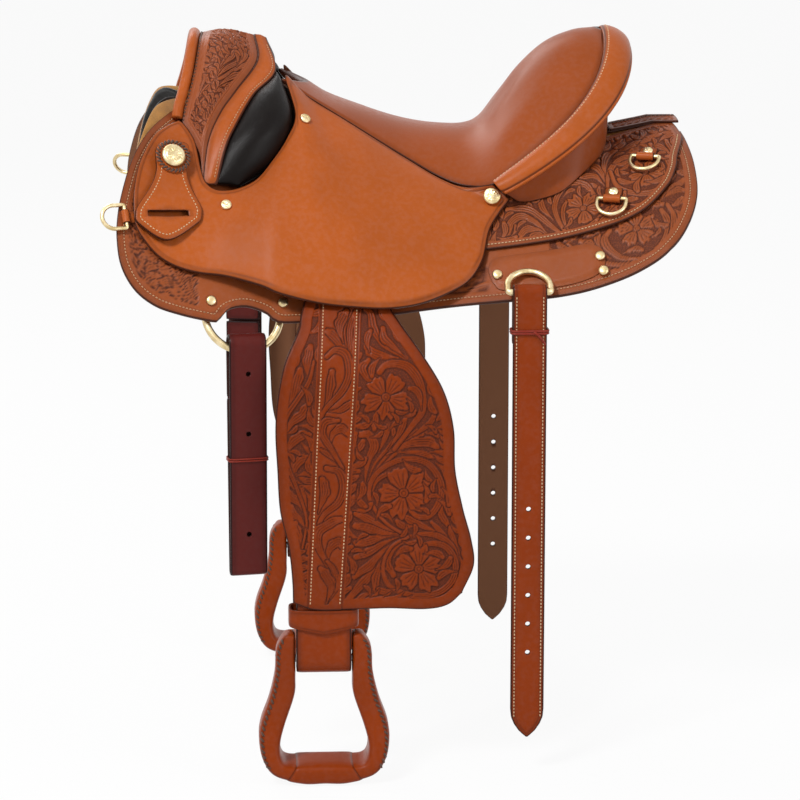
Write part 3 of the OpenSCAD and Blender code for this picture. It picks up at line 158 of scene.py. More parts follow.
# Rows and columns of the surfaces
SEAT_GRID, BACK_GRID, COVER_GRID, BAND_GRID, PAD_GRID = (140, 112), (30, 140), (504, 132), (220, 22), (110, 64)
JOCKEY_GRID, SKIRT_GRID, FELT_GRID, PANEL_GRID, HOUSING_GRID = (66, 290), (120, 570), (24, 260), (44, 240), (172, 380)
STRIP_GRID, PLATE_GRID, BACKING_GRID, FENDER_GRID = (70, 96), (30, 84), (20, 70), (352, 208)
EDGE_FAR = 30.0  # distance from an edge where a piece has none

# Outlines as shares of those sizes
SKIRT_EDGE = [
    (0.11, 0.64), (0.08, 0.575), (0.05, 0.46), (0.026, 0.28), (0.011, 0.075), (0.002, -0.12), (0, -0.31),
    (0.007, -0.52), (0.029, -0.705), (0.063, -0.835), (0.105, -0.91), (0.147, -0.96), (0.167, -0.975),
    (0.175, -0.94), (0.188, -0.885), (0.217, -0.87), (0.249, -0.92), (0.269, -0.99), (0.307, -1),
    (0.384, -0.98), (0.473, -0.945), (0.563, -0.89), (0.648, -0.85), (0.75, -0.8), (0.819, -0.725),
    (0.888, -0.6), (0.941, -0.44), (0.976, -0.26), (0.997, -0.05), (1, 0.16), (0.994, 0.32), (0.99, 0.37)]
FELT_EDGE = [
    (0.108, 0.69), (0.08, 0.685), (0.063, 0.645), (0.047, 0.51), (0.031, 0.28), (0.021, 0.06), (0.013, -0.2),
    (0.02, -0.49), (0.042, -0.67), (0.079, -0.77), (0.119, -0.66), (0.136, -0.575), (0.19, -0.575),
    (0.245, -0.575), (0.297, -0.575), (0.315, -0.69), (0.38, -0.88), (0.496, -0.85), (0.64, -0.755),
    (0.75, -0.715), (0.819, -0.645), (0.881, -0.535), (0.931, -0.38), (0.964, -0.2), (0.984, -0.02),
    (0.987, 0.15), (0.981, 0.3)]
PANEL_EDGE = [
    (0.105, 0.69), (0.083, 0.71), (0.064, 0.655), (0.053, 0.56), (0.037, 0.37), (0.025, 0.07), (0.022, -0.24),
    (0.029, -0.48), (0.05, -0.64), (0.083, -0.73), (0.119, -0.645), (0.136, -0.56), (0.19, -0.56),
    (0.245, -0.56), (0.297, -0.56), (0.315, -0.67), (0.38, -0.835), (0.496, -0.81), (0.64, -0.715),
    (0.75, -0.67), (0.819, -0.605), (0.876, -0.495), (0.924, -0.345), (0.955, -0.18), (0.976, 0),
    (0.979, 0.15), (0.973, 0.29)]
HOUSING_EDGE = [
    (0, -1), (0.195, -0.91), (0.37, -0.8), (0.54, -0.64), (0.68, -0.46), (0.785, -0.24), (0.883, 0.09),
    (0.93, 0.35), (0.946, 0.515), (0.975, 0.7), (0.99, 0.8)]
SEAM = [
    (0, 0.395, 0.69), (0.132, 0.41, 0.57), (0.3, 0.48, 0.43), (0.468, 0.57, 0.29), (0.6, 0.665, 0.185),
    (0.756, 0.79, 0.07), (0.876, 0.895, 0.022), (1, 1, 0.044)]
CENTRE = [
    (0.132, 0.9), (0.236, 0.63), (0.384, 0.4), (0.524, 0.2), (0.656, 0.065), (0.784, 0), (0.904, 0),
    (0.984, 0.15), (1.064, 0.6), (1.164, 1.17), (1.296, 1.67), (1.432, 1.92), (1.544, 1.985)]
ROLL_SECTION = [
    (0.02, 0.02), (0.2, 0.32), (0.5, 0.45), (0.8, 0.36), (1, 0.06), (0.96, -0.3), (0.62, -0.55), (0.32, -0.5),
    (0.12, -0.2)]
BACK_BASE = [(1.035, 0), (1.02, 0.4), (0.91, 0.7), (0.63, 0.93), (0.36, 0.985), (0.2, 0.98)]
BACK_HEAD = (0.45, -0.68)
SWELL_SECTIONS = [
    [(0.83, 0, 0.97), (0.85, 0.225, 0.94), (0.895, 0.425, 0.76), (0.94, 0.53, 0.63), (0.978, 0.612, 0.535),
     (1, 0.682, 0.447)],
    [(0.567, 0, 1), (0.582, 0.26, 0.96), (0.634, 0.482, 0.815), (0.716, 0.647, 0.625), (0.798, 0.776, 0.425),
     (0.85, 0.859, 0.246)],
    [(0.328, 0, 0.96), (0.306, 0.265, 0.805), (0.5, 0.518, 0.631), (0.642, 0.688, 0.503), (0.754, 0.824, 0.324),
     (0.806, 0.988, 0.062)],
    [(0.224, 0, 0.938), (0.142, 0.294, 0.737), (0.343, 0.559, 0.609), (0.5, 0.765, 0.436), (0.604, 0.888, 0.285),
     (0.694, 1, 0.034)]]
PAD_REAR = [
    (0.127, 0.312, 0.732), (0.03, 0.494, 0.57), (0, 0.6, 0.458), (0.052, 0.706, 0.335), (0.231, 0.835, 0.168),
    (0.56, 0.985, 0.02)]
FORK_CORE = (0.45, 0, 0.3)
COVER_SPAN, BAND_SPAN = (0.02, 0.655, 0.98), (0.675, 0.985, 0.98)
PAD_LEAN = (0.35, -0.82, 0.45)
JOCKEY_TOP = [
    (1.021, 0.71, 0.457), (0.984, 0.725, 0.436), (0.934, 0.77, 0.385), (0.887, 0.82, 0.319), (0.86, 0.88, 0.236),
    (0.836, 0.945, 0.152), (0.793, 1.006, 0.069), (0.709, 1.035, 0.024), (0.598, 1.03, 0.015), (0.47, 0.99, 0.03),
    (0.322, 0.925, 0.08), (0.188, 0.842, 0.184), (0.05, 0.75, 0.319), (-0.034, 0.635, 0.461), (0.034, 0.382, 0.693)]
JOCKEY_LOW = [
    (0.089, 0.63), (0.053, 0.55), (0.018, 0.34), (0.002, 0.113), (0, -0.09), (0.007, -0.242), (0.036, -0.403),
    (0.069, -0.524), (0.113, -0.613), (0.167, -0.67), (0.238, -0.702), (0.327, -0.782), (0.38, -0.855),
    (0.478, -0.944), (0.567, -0.984), (0.656, -1), (0.74, -0.968), (0.818, -0.887), (0.878, -0.782),
    (0.916, -0.605), (0.938, -0.363), (0.971, -0.2), (0.998, -0.105)]
KEEPER_EDGE = [
    (-0.22, 1), (0.22, 1), (0.23, 0.72), (0.31, 0.55), (0.47, 0.36), (0.5, 0.27), (0.44, 0.17), (0, 0),
    (-0.44, 0.17), (-0.5, 0.27), (-0.47, 0.36), (-0.31, 0.55), (-0.23, 0.72)]
PLATE_LOW = [
    (-0.065, -0.62), (-0.057, -0.7), (-0.037, -0.745), (0.053, -0.71), (0.103, -0.65), (0.128, -0.58),
    (0.133, -0.52)]
PLATE_TOP = [
    (-0.065, -0.58), (-0.057, -0.53), (-0.037, -0.5), (0.053, -0.44), (0.103, -0.4), (0.125, -0.42),
    (0.133, -0.46)]
FENDER_FRONT = [
    (-0.26, 0), (-0.36, 0.15), (-0.382, 0.2), (-0.463, 0.29), (-0.505, 0.394), (-0.517, 0.485), (-0.508, 0.59),
    (-0.495, 0.71), (-0.45, 0.817), (-0.431, 0.915), (-0.427, 0.978)]
FENDER_REAR = [
    (0.03, 0), (0.11, 0.135), (0.16, 0.18), (0.289, 0.27), (0.4, 0.368), (0.454, 0.476), (0.463, 0.596),
    (0.505, 0.707), (0.55, 0.798), (0.564, 0.875), (0.5, 0.955)]
FENDER_FOOT = [
    (-0.427, 0.978), (-0.3, 1.0), (-0.1, 1.0), (0.1, 0.998), (0.3, 1.002), (0.42, 0.99), (0.5, 0.955)]
STIRRUP_OUT = [
    (0.29, 0), (0.36, 0.1), (0.375, 0.27), (0.42, 0.44), (0.485, 0.6), (0.5, 0.72), (0.47, 0.85), (0.38, 0.95),
    (0.17, 1), (0, 1)]
STIRRUP_IN = [
    (0, 0), (0, 0.12), (0, 0.3), (0.03, 0.42), (0.3, 0.62), (0.42, 0.74), (0.38, 0.83), (0.2, 0.87), (-0.3, 0.87),
    (-0.765, 0.87)]
STIRRUP_SIDE = [(0, 0), (0, 0.3), (0.22, 0.55), (1, 0.86), (1, 1)]
BILLET_TIP = [(0, 0.08), (0.04, 0.22), (0.2, 0.5), (0.45, 0.78), (0.7, 0.95), (1, 1)]
# Heights with the front and rear stitch line of the fender's middle strip, in millimetres
FENDER_STRIP = [(-477.0, -124.9, -84.5), (-272.0, -115.0, -71.0), (-127.0, -106.4, -61.5), (-66.0, -103.5, -58.0)]

# Carved motifs, in the order they are cut: kind (s stem, l leaf), half width, then the spine from foot to tip.
# Fender tables hold places in side view, the others places along the back and across it, measured on the leather.
FENDER_BLOOMS = [(-32, -225, 30), (-11, -341, 33), (7, -434, 31)]
FENDER_REAR_ART = [
    ("s", 5.2, (-8, -180), (-24, -171), (-37, -161), (-45, -147), (-48, -133), (-53, -127)),
    ("l", 5, (-8, -180), (-22, -168), (-33, -158), (-34, -148)),
    ("l", 6.2, (-17, -180), (-33, -178), (-46, -175), (-54, -168)),
    ("l", 4.8, (-32, -210), (-43, -208), (-54, -202), (-59, -191), (-52, -182)),
    ("l", 4.6, (-41, -237), (-44, -250), (-46, -263)),
    ("l", 5.6, (-57, -332), (-54, -305), (-46, -284), (-52, -270), (-62, -270)),
    ("l", 2.8, (-54, -327), (-45, -305), (-29, -286), (-12, -264)),
    ("l", 2.8, (-52, -327), (-38, -304), (-18, -283), (5, -265)),
    ("l", 2.8, (-51, -328), (-35, -307), (-12, -286), (16, -268)), ("l", 3.8, (-41, -292), (-33, -274), (-29, -258)),
    ("l", 4.2, (-29, -288), (-16, -268), (-9, -251)), ("l", 3.6, (-13, -280), (7, -267), (21, -255), (26, -244)),
    ("l", 3.8, (-18, -292), (5, -292), (24, -298)), ("l", 6.4, (-31, -294), (-6, -282), (16, -279), (28, -285)),
    ("l", 5.4, (-15, -389), (-35, -383), (-54, -372), (-67, -365)),
    ("l", 5.4, (-25, -405), (-44, -426), (-54, -444), (-67, -458), (-76, -470)),
    ("l", 5, (-28, -411), (-39, -429), (-44, -445), (-45, -460)),
    ("l", 5.4, (-21, -400), (-38, -414), (-52, -429), (-70, -442)),
    ("l", 5.2, (-18, -395), (-35, -402), (-52, -412), (-68, -419)),
    ("l", 5.6, (-15, -392), (-35, -393), (-52, -399), (-67, -402)),
    ("l", 5.6, (-15, -391), (-35, -389), (-54, -383), (-68, -380)),
    ("l", 4.8, (34, -391), (17, -384), (-1, -375), (-12, -369)), ("l", 4.4, (36, -346), (33, -365), (41, -380)),
    ("l", 3.6, (57, -421), (51, -405), (45, -390), (44, -383)),
    ("l", 3.4, (54, -421), (45, -405), (34, -390), (22, -377)),
    ("s", 3, (-45, -361), (-49, -343), (-44, -327), (-31, -318), (-15, -316)),
    ("l", 5.2, (-6, -398), (-24, -410), (-31, -426), (-23, -441)),
    ("s", 4.4, (-6, -395), (11, -391), (30, -394), (45, -406), (53, -424)),
    ("s", 5.4, (-22, -288), (-2, -261), (10, -244), (12, -228), (9, -212), (2, -199), (-8, -189), (-22, -186),
     (-33, -189), (-39, -196)),
    ("l", 4.2, (10, -241), (8, -225), (3, -217), (-4, -215)),
    ("s", 4.2, (-15, -389), (-32, -377), (-46, -359), (-52, -342), (-48, -324), (-35, -310), (-16, -301), (2, -300),
     (19, -307), (31, -324), (34, -341), (28, -359), (17, -370), (4, -369), (-6, -358), (-9, -352)),
    ("s", 4.2, (-6, -395), (-24, -405), (-34, -422), (-35, -439), (-28, -454), (-12, -463), (8, -467), (31, -463),
     (46, -450), (51, -433), (47, -417), (37, -406), (22, -403), (8, -407), (2, -413))]
FENDER_FRONT_ART = [
    ("l", 6, (-118, -208), (-124, -188), (-120, -167)),
    ("l", 6.2, (-149, -248), (-140, -224), (-136, -208), (-132, -193)),
    ("l", 6.2, (-151, -274), (-144, -256), (-131, -245), (-123, -233)),
    ("l", 6.2, (-151, -301), (-145, -282), (-133, -271), (-123, -269)),
    ("l", 6.2, (-138, -331), (-141, -312), (-134, -300), (-124, -297)),
    ("l", 6, (-125, -360), (-131, -339), (-141, -327), (-150, -322)),
    ("l", 5.6, (-127, -367), (-133, -353), (-142, -345), (-148, -338)),
    ("l", 5.4, (-127, -383), (-134, -372), (-142, -365), (-144, -356)),
    ("l", 5, (-131, -407), (-133, -394), (-137, -385), (-139, -376)),
    ("s", 3.2, (-131, -407), (-126, -372), (-136, -337), (-148, -304), (-152, -272), (-149, -248), (-135, -226),
     (-122, -206), (-116, -183))]
FENDER_STRIP_ART = [
    ("l", 6, (-72, -181), (-82, -168), (-90, -157), (-99, -151)), ("l", 6.4, (-81, -163), (-85, -145), (-77, -130)),
    ("s", 4, (-75, -204), (-72, -176), (-73, -150), (-66, -130)),
    ("l", 5.2, (-106, -245), (-99, -224), (-96, -206), (-95, -195)),
    ("l", 4.2, (-101, -241), (-86, -240), (-73, -231)),
    ("s", 4.8, (-112, -261), (-104, -240), (-84, -218), (-75, -199), (-78, -177), (-91, -171), (-101, -178)),
    ("l", 5.4, (-98, -283), (-94, -268), (-84, -262), (-76, -269)),
    ("l", 3.2, (-85, -308), (-98, -295), (-109, -287)),
    ("s", 4.6, (-83, -310), (-98, -284), (-107, -268), (-103, -254), (-88, -252)),
    ("l", 6, (-112, -364), (-104, -338), (-107, -323)),
    ("s", 5.2, (-115, -388), (-106, -367), (-88, -351), (-82, -332), (-87, -314), (-102, -310)),
    ("l", 6, (-102, -426), (-99, -408), (-89, -399), (-84, -405)),
    ("s", 6, (-101, -428), (-112, -405), (-112, -387), (-97, -376), (-86, -372)),
    ("l", 3.6, (-102, -475), (-90, -454), (-94, -434), (-102, -423)),
    ("l", 6.2, (-103, -475), (-97, -454), (-104, -439), (-109, -432))]
HOUSING_BLOOMS = [(212, 162, 24), (290, 127, 23)]
HOUSING_ART = [
    ("l", 5, (255, 79), (272, 76), (289, 66)), ("l", 4.4, (256, 67), (267, 58), (280, 57)),
    ("l", 5.2, (327, 114), (320, 95), (301, 79)), ("l", 4.6, (328, 112), (326, 91), (322, 74)),
    ("l", 5.2, (243, 131), (242, 104), (248, 84), (259, 76)), ("l", 5.2, (242, 133), (235, 112), (223, 101)),
    ("l", 4.6, (240, 135), (228, 121), (212, 120)), ("l", 4.6, (238, 139), (225, 133), (209, 129)),
    ("l", 5.4, (313, 149), (322, 129), (319, 107)), ("l", 5.2, (315, 147), (310, 133), (310, 118)),
    ("s", 4.4, (243, 144), (245, 125), (253, 105), (266, 94), (282, 97)),
    ("s", 5.2, (249, 114), (255, 139), (274, 155), (297, 160), (315, 149), (327, 122)),
    ("l", 5.6, (170, 196), (154, 171), (138, 160), (125, 166), (120, 181)),
    ("l", 5.4, (171, 196), (154, 182), (141, 180), (133, 189)), ("l", 4.8, (166, 196), (155, 188), (145, 194)),
    ("l", 5, (168, 178), (155, 161), (148, 150), (147, 139)), ("l", 4.2, (175, 171), (164, 153), (162, 139)),
    ("l", 4, (109, 193), (117, 179), (116, 165)),
    ("s", 4.8, (188, 199), (169, 176), (152, 155), (137, 148), (121, 147)),
    ("l", 5.8, (226, 180), (239, 173), (253, 172)), ("l", 5, (237, 191), (255, 183), (268, 181)),
    ("l", 5, (226, 160), (232, 152), (240, 155)), ("l", 5.2, (266, 170), (281, 174), (300, 167)),
    ("s", 3, (195, 199), (188, 178), (188, 159), (194, 146)),
    ("s", 4.4, (193, 201), (182, 176), (178, 153), (185, 135), (199, 125), (217, 131), (227, 147))]
SKIRT_BLOOMS = [(273, 203, 26)]
SKIRT_REAR_ART = [
    ("l", 5.2, (173, 254), (184, 247), (193, 247), (197, 253)),
    ("l", 5.4, (298, 250), (266, 255), (240, 255), (221, 254)), ("l", 5.2, (232, 227), (219, 212), (206, 205)),
    ("l", 4.6, (229, 220), (226, 208), (228, 201)), ("l", 4.6, (311, 181), (323, 179), (331, 170)),
    ("l", 5.4, (312, 185), (322, 192), (321, 201)), ("l", 5.4, (294, 180), (313, 162), (336, 142)),
    ("l", 4.8, (307, 169), (325, 158), (335, 158)), ("l", 5, (282, 178), (295, 174), (306, 177)),
    ("s", 4.4, (274, 244), (294, 237), (307, 222), (310, 203), (304, 185)),
    ("s", 5, (280, 246), (256, 240), (240, 225), (234, 208), (241, 198)),
    ("s", 4.4, (190, 204), (205, 224), (228, 238), (250, 247), (275, 249), (299, 242), (314, 221), (318, 196),
     (312, 179)),
    ("l", 4, (55, 254), (63, 240), (73, 229)), ("l", 4, (58, 254), (73, 241), (85, 228)),
    ("l", 4, (58, 255), (75, 249), (88, 242))]
SKIRT_FRONT_ART = [
    ("l", 5, (-324, 282), (-320, 289), (-314, 291)), ("l", 5.4, (-317, 317), (-308, 323), (-296, 317)),
    ("l", 4.2, (-255, 323), (-272, 323), (-288, 328)), ("l", 5.4, (-255, 322), (-272, 317), (-284, 315), (-294, 323)),
    ("l", 4.6, (-254, 322), (-267, 310), (-280, 299)), ("l", 4.6, (-254, 322), (-262, 306), (-268, 294)),
    ("l", 3.8, (-253, 321), (-256, 305), (-255, 289))]
SWELL_ART = [
    ("s", 4, (164, 33), (144, 31), (135, 47), (126, 64), (128, 86), (146, 88)),
    ("l", 3.8, (143, 53), (136, 64), (143, 75)),
    ("s", 4, (153, 22), (129, 25), (114, 41), (86, 60), (60, 75), (48, 88)),
    ("s", 3.6, (140, 21), (125, 36), (107, 57), (75, 74), (54, 85)), ("l", 5, (126, 55), (104, 67), (82, 81)),
    ("l", 4.6, (122, 60), (107, 77), (102, 83)), ("l", 5, (143, 23), (123, 22), (109, 24), (95, 21)),
    ("s", 4, (130, 27), (114, 39), (97, 45), (78, 49), (68, 48)),
    ("l", 3.6, (99, 46), (83, 36), (77, 26), (86, 26), (93, 34)), ("l", 4.6, (97, 45), (76, 54), (60, 57), (60, 63)),
    ("l", 4, (80, 69), (57, 72), (44, 69)), ("l", 4.6, (55, 26), (47, 34), (53, 46)),
    ("l", 4, (64, 30), (58, 44), (52, 56)), ("l", 4, (56, 49), (40, 55), (35, 69)),
    ("l", 3.6, (39, 70), (41, 80), (44, 87)), ("l", 4, (27, 26), (18, 43), (12, 62)),
    ("l", 4, (216, 64), (208, 60), (200, 50))]


# Curves and surfaces
ALONG, UP = np.array([1.0, 0, 0]), np.array([0, 0, 1.0])
UNDER = (0, 0, -300)


def ease(t):
    """Smooth step from 0 to 1."""
    c = np.clip(t, 0.0, 1.0)
    return c * c * (3 - 2 * c)


def mix(a, b, t):
    """Straight blend from a to b."""
    return a + (b - a) * t


def unit(v):
    """Vectors of length 1."""
    return v / np.maximum(np.linalg.norm(v, axis=-1, keepdims=True), 1e-9)


def vec(*parts):
    """Stacks coordinates into points."""
    return np.stack(np.broadcast_arrays(*parts), -1)


def bell(x, at, width=0.7):
    """Bell-shaped hump of height 1 round a value."""
    return np.exp(-(((x - at) / width) ** 2))


def within(far, margin, soft=1.2):
    """Smooth step to 1 where a distance passes a margin."""
    return ease((far - margin) / soft)


def rounded(gap, drop, over):
    """Drop of a rounded edge: all of it at the edge, none further in than over."""
    return drop * (1 - ease(gap / over))


def raised(points, ways, by):
    """Points moved along directions by distances."""
    return points + ways * by[..., None]


def power(x, p):
    """Power of the size, with the sign kept: rounds a circle towards a rectangle."""
    return np.sign(x) * np.abs(x) ** p


def angles(count):
    """Even steps once round."""
    return np.linspace(0, 2 * math.pi, count + 1)[:-1]


def cubic(a, b, c, d, f):
    """Catmull-Rom step from b to c."""
    return (2 * b + (c - a) * f + (2 * a - 5 * b + 4 * c - d) * f**2 + (3 * b - a - 3 * c + d) * f**3) / 2


def curve(points, t):
    """Smooth curve through points (Catmull-Rom), t from 0 to 1 over all of them."""
    p = np.asarray(points, float)
    n = len(p) - 1
    s = np.clip(t, 0.0, 1.0) * n
    i = np.minimum(n - 1, np.floor(s)).astype(int)
    f = (s - i)[..., None]
    q = np.vstack([2 * p[0] - p[1], p, 2 * p[n] - p[n - 1]])
    return cubic(q[i], q[i + 1], q[i + 2], q[i + 3], f)


def even(points, count, closed=False):
    """The same line with evenly spaced points: inverse of its running length."""
    p = np.asarray(points, float)
    if closed:
        p = np.vstack([p, p[:1]])
    run = np.concatenate([[0], np.cumsum(np.linalg.norm(np.diff(p, axis=0), axis=1))])
    at = np.linspace(0, run[-1], count + 1)[:-1] if closed else np.linspace(0, run[-1], count)
    return np.stack([np.interp(at, run, p[:, k]) for k in range(p.shape[1])], -1)


def length_of(points):
    """Running length of a line of points."""
    return float(np.linalg.norm(np.diff(points, axis=0), axis=1).sum())


def lattice(rows, cols):
    """Two parameters from 0 to 1 on a grid."""
    return np.meshgrid(np.linspace(0, 1, rows), np.linspace(0, 1, cols), indexing="ij")


def facing(grid, core=UNDER):
    """Unit normals of a grid of points, turned away from the core point."""
    n = unit(np.cross(np.gradient(grid, axis=0), np.gradient(grid, axis=1)))
    return n if np.sum(n * (grid - np.asarray(core))) > 0 else -n


def flip(points):
    """The off side's points."""
    return points * np.array([1.0, -1.0, 1.0])


def same(points):
    """The near side's points, as they are."""
    return points


SIDES = (("near", same), ("off", flip))


def hand_of(turn):
    """1 on the near side and -1 on the off side."""
    return -1.0 if turn is flip else 1.0


def ridge_z(x):
    """Height of the back's ridge: a parabola up to the withers and one up to the loins."""
    return np.where(x < 0, WITHERS[0] * (x / WITHERS[1]) ** 2, LOINS[0] * np.minimum(1, np.abs(x) / LOINS[1]) ** 2)


def back_pt(x, t, o):
    """Point at t across the back's parabola and o outwards along its normal."""
    r = BACK_R + BACK_FLARE * x
    q = np.sqrt(1 + (t / r) ** 2)
    return vec(x, -(t + o * t / r / q), ridge_z(x) - t * t / (2 * r) + o / q)


def across(x, z, o):
    """Distance across at which the back's offset surface has height z, by damped steps."""
    x, z = np.asarray(x, float), np.asarray(z, float)
    r = BACK_R + BACK_FLARE * x
    t = np.full(np.broadcast(x, z).shape, BACK_R)
    for _ in range(24):
        q = np.sqrt(1 + (t / r) ** 2)
        t = (t + np.sqrt(2 * r * np.maximum(0, ridge_z(x) + o / q - z))) / 2
    return t


def back_frame(x, z, o):
    """Local frame on the back: columns point rearwards, up the slope and outwards; then its place."""
    x, t, e = float(x), float(across(x, z, o)), 0.5
    p = back_pt(x, t, o)
    n = unit(np.cross(back_pt(x + e, t, o) - back_pt(x - e, t, o), back_pt(x, t + e, o) - back_pt(x, t - e, o)))
    return frame_on(p, n)


def frame_on(p, n):
    """Local frame at p with its third axis along n, turned to the near side."""
    n = n if n[1] < 0 else -n
    up = unit(UP - n * n[2])
    return np.stack([np.cross(up, n), up, n], 1), p


def placed(local, place):
    """Local points carried into a frame."""
    turn, at = place
    return local @ turn.T + at


def hang_y(z, o):
    """Distance across of the stirrup leather at height z: a slope, an arc, then upright."""
    a = math.radians(HANG_ANGLE)
    y0 = HANG_HALF + math.tan(a) * (BEND_DROP - HANG_DROP) + o * math.cos(a)
    k, r = o * math.sin(a) - BEND_DROP, HANG_BEND + o
    s = np.clip(math.sin(a) - (k - z) / r, 0, 1)
    return np.where(z > k, y0 - math.tan(a) * (z - k), y0 + r * (np.sqrt(1 - s * s) - math.cos(a)))


def skirt_x(s):
    """Place along the skirt."""
    return np.asarray(s) * SKIRT_LEN - SKIRT_FRONT


def jockey_x(s):
    """Place along the jockey."""
    return np.asarray(s) * JOCKEY_LEN - JOCKEY_FRONT


def fork_pt(shares):
    """Point of the fork from its shares of reach, half width and height."""
    s = np.asarray(shares, float)
    return vec(-FORK_REAR - s[..., 0] * FORK_LEN, -s[..., 1] * SWELL_HALF, s[..., 2] * FORK_TOP)


# Meshes
def mesh_object(name, verts, faces, fields):
    """A mesh from points in millimetres, lists of face arrays and point attributes, facing outwards."""
    fans = [f[:, [0, k, k + 1]] for f in faces for k in range(1, f.shape[1] - 1)]
    a, b, c = (verts[np.concatenate(fans)[:, k]] for k in range(3))
    if np.sum(a * np.cross(b, c)) < 0:
        faces = [f[:, ::-1] for f in faces]
    corners = np.concatenate([f.ravel() for f in faces]).astype(np.int32)
    sizes = np.concatenate([np.full(len(f), f.shape[1]) for f in faces])
    mesh = bpy.data.meshes.new(name)
    mesh.vertices.add(len(verts))
    mesh.loops.add(len(corners))
    mesh.polygons.add(len(sizes))
    mesh.vertices.foreach_set("co", (verts * MM).astype(np.float32).ravel())
    mesh.loops.foreach_set("vertex_index", corners)
    mesh.polygons.foreach_set("loop_start", np.concatenate([[0], np.cumsum(sizes)[:-1]]).astype(np.int32))
    mesh.polygons.foreach_set("use_smooth", np.ones(len(sizes), bool))
    mesh.update(calc_edges=True)
    for key, values in fields.items():
        mesh.attributes.new(key, "FLOAT", "POINT").data.foreach_set("value", values.astype(np.float32))
    obj = bpy.data.objects.new(name, mesh)
    bpy.context.scene.collection.objects.link(obj)
    return obj


def quads(index):
    """Faces of a grid of vertex numbers."""
    return np.stack([index[:-1, :-1], index[:-1, 1:], index[1:, 1:], index[1:, :-1]], -1).reshape(-1, 4)


def border(rows, cols):
    """Row and column numbers once round a grid's edge."""
    m, n = rows - 1, cols - 1
    i = np.concatenate([np.zeros(n), np.arange(m), np.full(n, m), np.arange(m, 0, -1)])
    j = np.concatenate([np.arange(n), np.full(m, n), np.arange(n, 0, -1), np.zeros(m)])
    return i.astype(int), j.astype(int)


def rim_way(grid):
    """Unit directions out of a grid across its edge, in the surface."""
    way = np.zeros_like(grid)
    way[0] += unit(grid[0] - grid[1])
    way[-1] += unit(grid[-1] - grid[-2])
    way[:, 0] += unit(grid[:, 0] - grid[:, 1])
    way[:, -1] += unit(grid[:, -1] - grid[:, -2])
    return unit(way)


def shell(name, outer, inner, fields=None, puff=0.35, steps=4, back_rows=9, flesh=1.0):
    """Closed leather: an outer grid, a rim that turns through half a circle, and an inner grid with fewer rows."""
    m, n = outer.shape[:2]
    i, j = border(m, n)
    top, low, way = outer[i, j], inner[i, j], rim_way(inner)[i, j]
    half, mid = (top - low) / 2, (top + low) / 2
    turn = np.linspace(0, math.pi, steps + 2)[1:-1, None, None]
    thick = np.linalg.norm(top - low, axis=-1, keepdims=True)
    rim = mid + np.cos(turn) * half + np.sin(turn) * way * thick * puff
    keep = np.unique(np.round(np.linspace(0, m - 1, back_rows)).astype(int))
    inside = inner[keep[1:-1], 1:-1].reshape(-1, 3)
    verts = np.concatenate([outer.reshape(-1, 3), rim.reshape(-1, 3), low, inside])
    loop, base = len(i), m * n
    number = np.arange(base).reshape(m, n)
    rows = np.vstack([number[i, j][None], base + np.arange((steps + 1) * loop).reshape(steps + 1, loop)])
    ring = np.concatenate([rows, rows[:, :1]], 1)
    edge_at = np.full((m, n), -1)
    edge_at[i, j] = rows[-1]
    under = edge_at[keep]
    under[1:-1, 1:-1] = (base + (steps + 1) * loop + np.arange(len(inside))).reshape(len(keep) - 2, n - 2)
    faces = [quads(number), quads(ring)[:, ::-1], quads(under[:, 1:-1])[:, ::-1]]
    for a in range(len(keep) - 1):
        side = np.arange(keep[a], keep[a + 1] + 1)
        faces.append(np.concatenate([edge_at[side, 0], under[[a + 1, a], 1]])[None])
        faces.append(np.concatenate([edge_at[side[::-1], -1], under[[a, a + 1], -2]])[None])
    data = {"edge": np.full((m, n), EDGE_FAR), "recess": np.zeros((m, n)), "ground": np.zeros((m, n))}
    data.update(fields or {})
    rest = len(verts) - base
    filled = {"edge": -1.0, "recess": 0.0, "ground": 0.0}
    data = {k: np.concatenate([v.ravel(), np.full(rest, filled[k])]) for k, v in data.items()}
    data["flesh"] = np.concatenate([np.zeros(base + steps * loop), np.full(loop + len(inside), flesh)])
    if flesh == 0:
        data["edge"][-len(inside):] = EDGE_FAR
    return mesh_object(name, verts, faces, data)


def sweep(name, rings, closed=False, fields=None):
    """Closed skin over rings of points; open ends are closed with a point in their middle."""
    m, n = rings.shape[:2]
    verts = rings.reshape(-1, 3)
    number = np.arange(m * n).reshape(m, n)
    number = np.concatenate([number, number[:, :1]], 1)
    if closed:
        faces = [quads(np.concatenate([number, number[:1]]))]
    else:
        verts = np.concatenate([verts, rings[:1].mean(1), rings[-1:].mean(1)])
        tip = np.full(n, m * n)
        faces = [quads(number), np.stack([number[0, 1:], number[0, :-1], tip], -1),
                 np.stack([number[-1, :-1], number[-1, 1:], tip + 1], -1)]
    data = {"edge": np.full(len(verts), EDGE_FAR), "recess": np.zeros(len(verts)), "ground": np.zeros(len(verts)),
            "flesh": np.zeros(len(verts))}
    for key, values in (fields or {}).items():
        data[key][: m * n] = values.ravel()
    return mesh_object(name, verts, faces, data)


OFF_LINE = np.array([0.13, 0.27, 0.95])  # no bar runs this way


def tube(name, line, radius, sides=12, closed=False):
    """Round bar along a line: circles square to it, turned as little as possible."""
    p = np.asarray(line, float)
    t = unit(np.roll(p, -1, 0) - np.roll(p, 1, 0)) if closed else unit(np.gradient(p, axis=0))
    a = unit(np.cross(t, OFF_LINE))
    b = np.cross(t, a)
    g = angles(sides)
    r = np.broadcast_to(np.asarray(radius, float), (len(p),))[:, None, None]
    return sweep(name, p[:, None] + r * (np.cos(g)[:, None] * a[:, None] + np.sin(g)[:, None] * b[:, None]), closed)


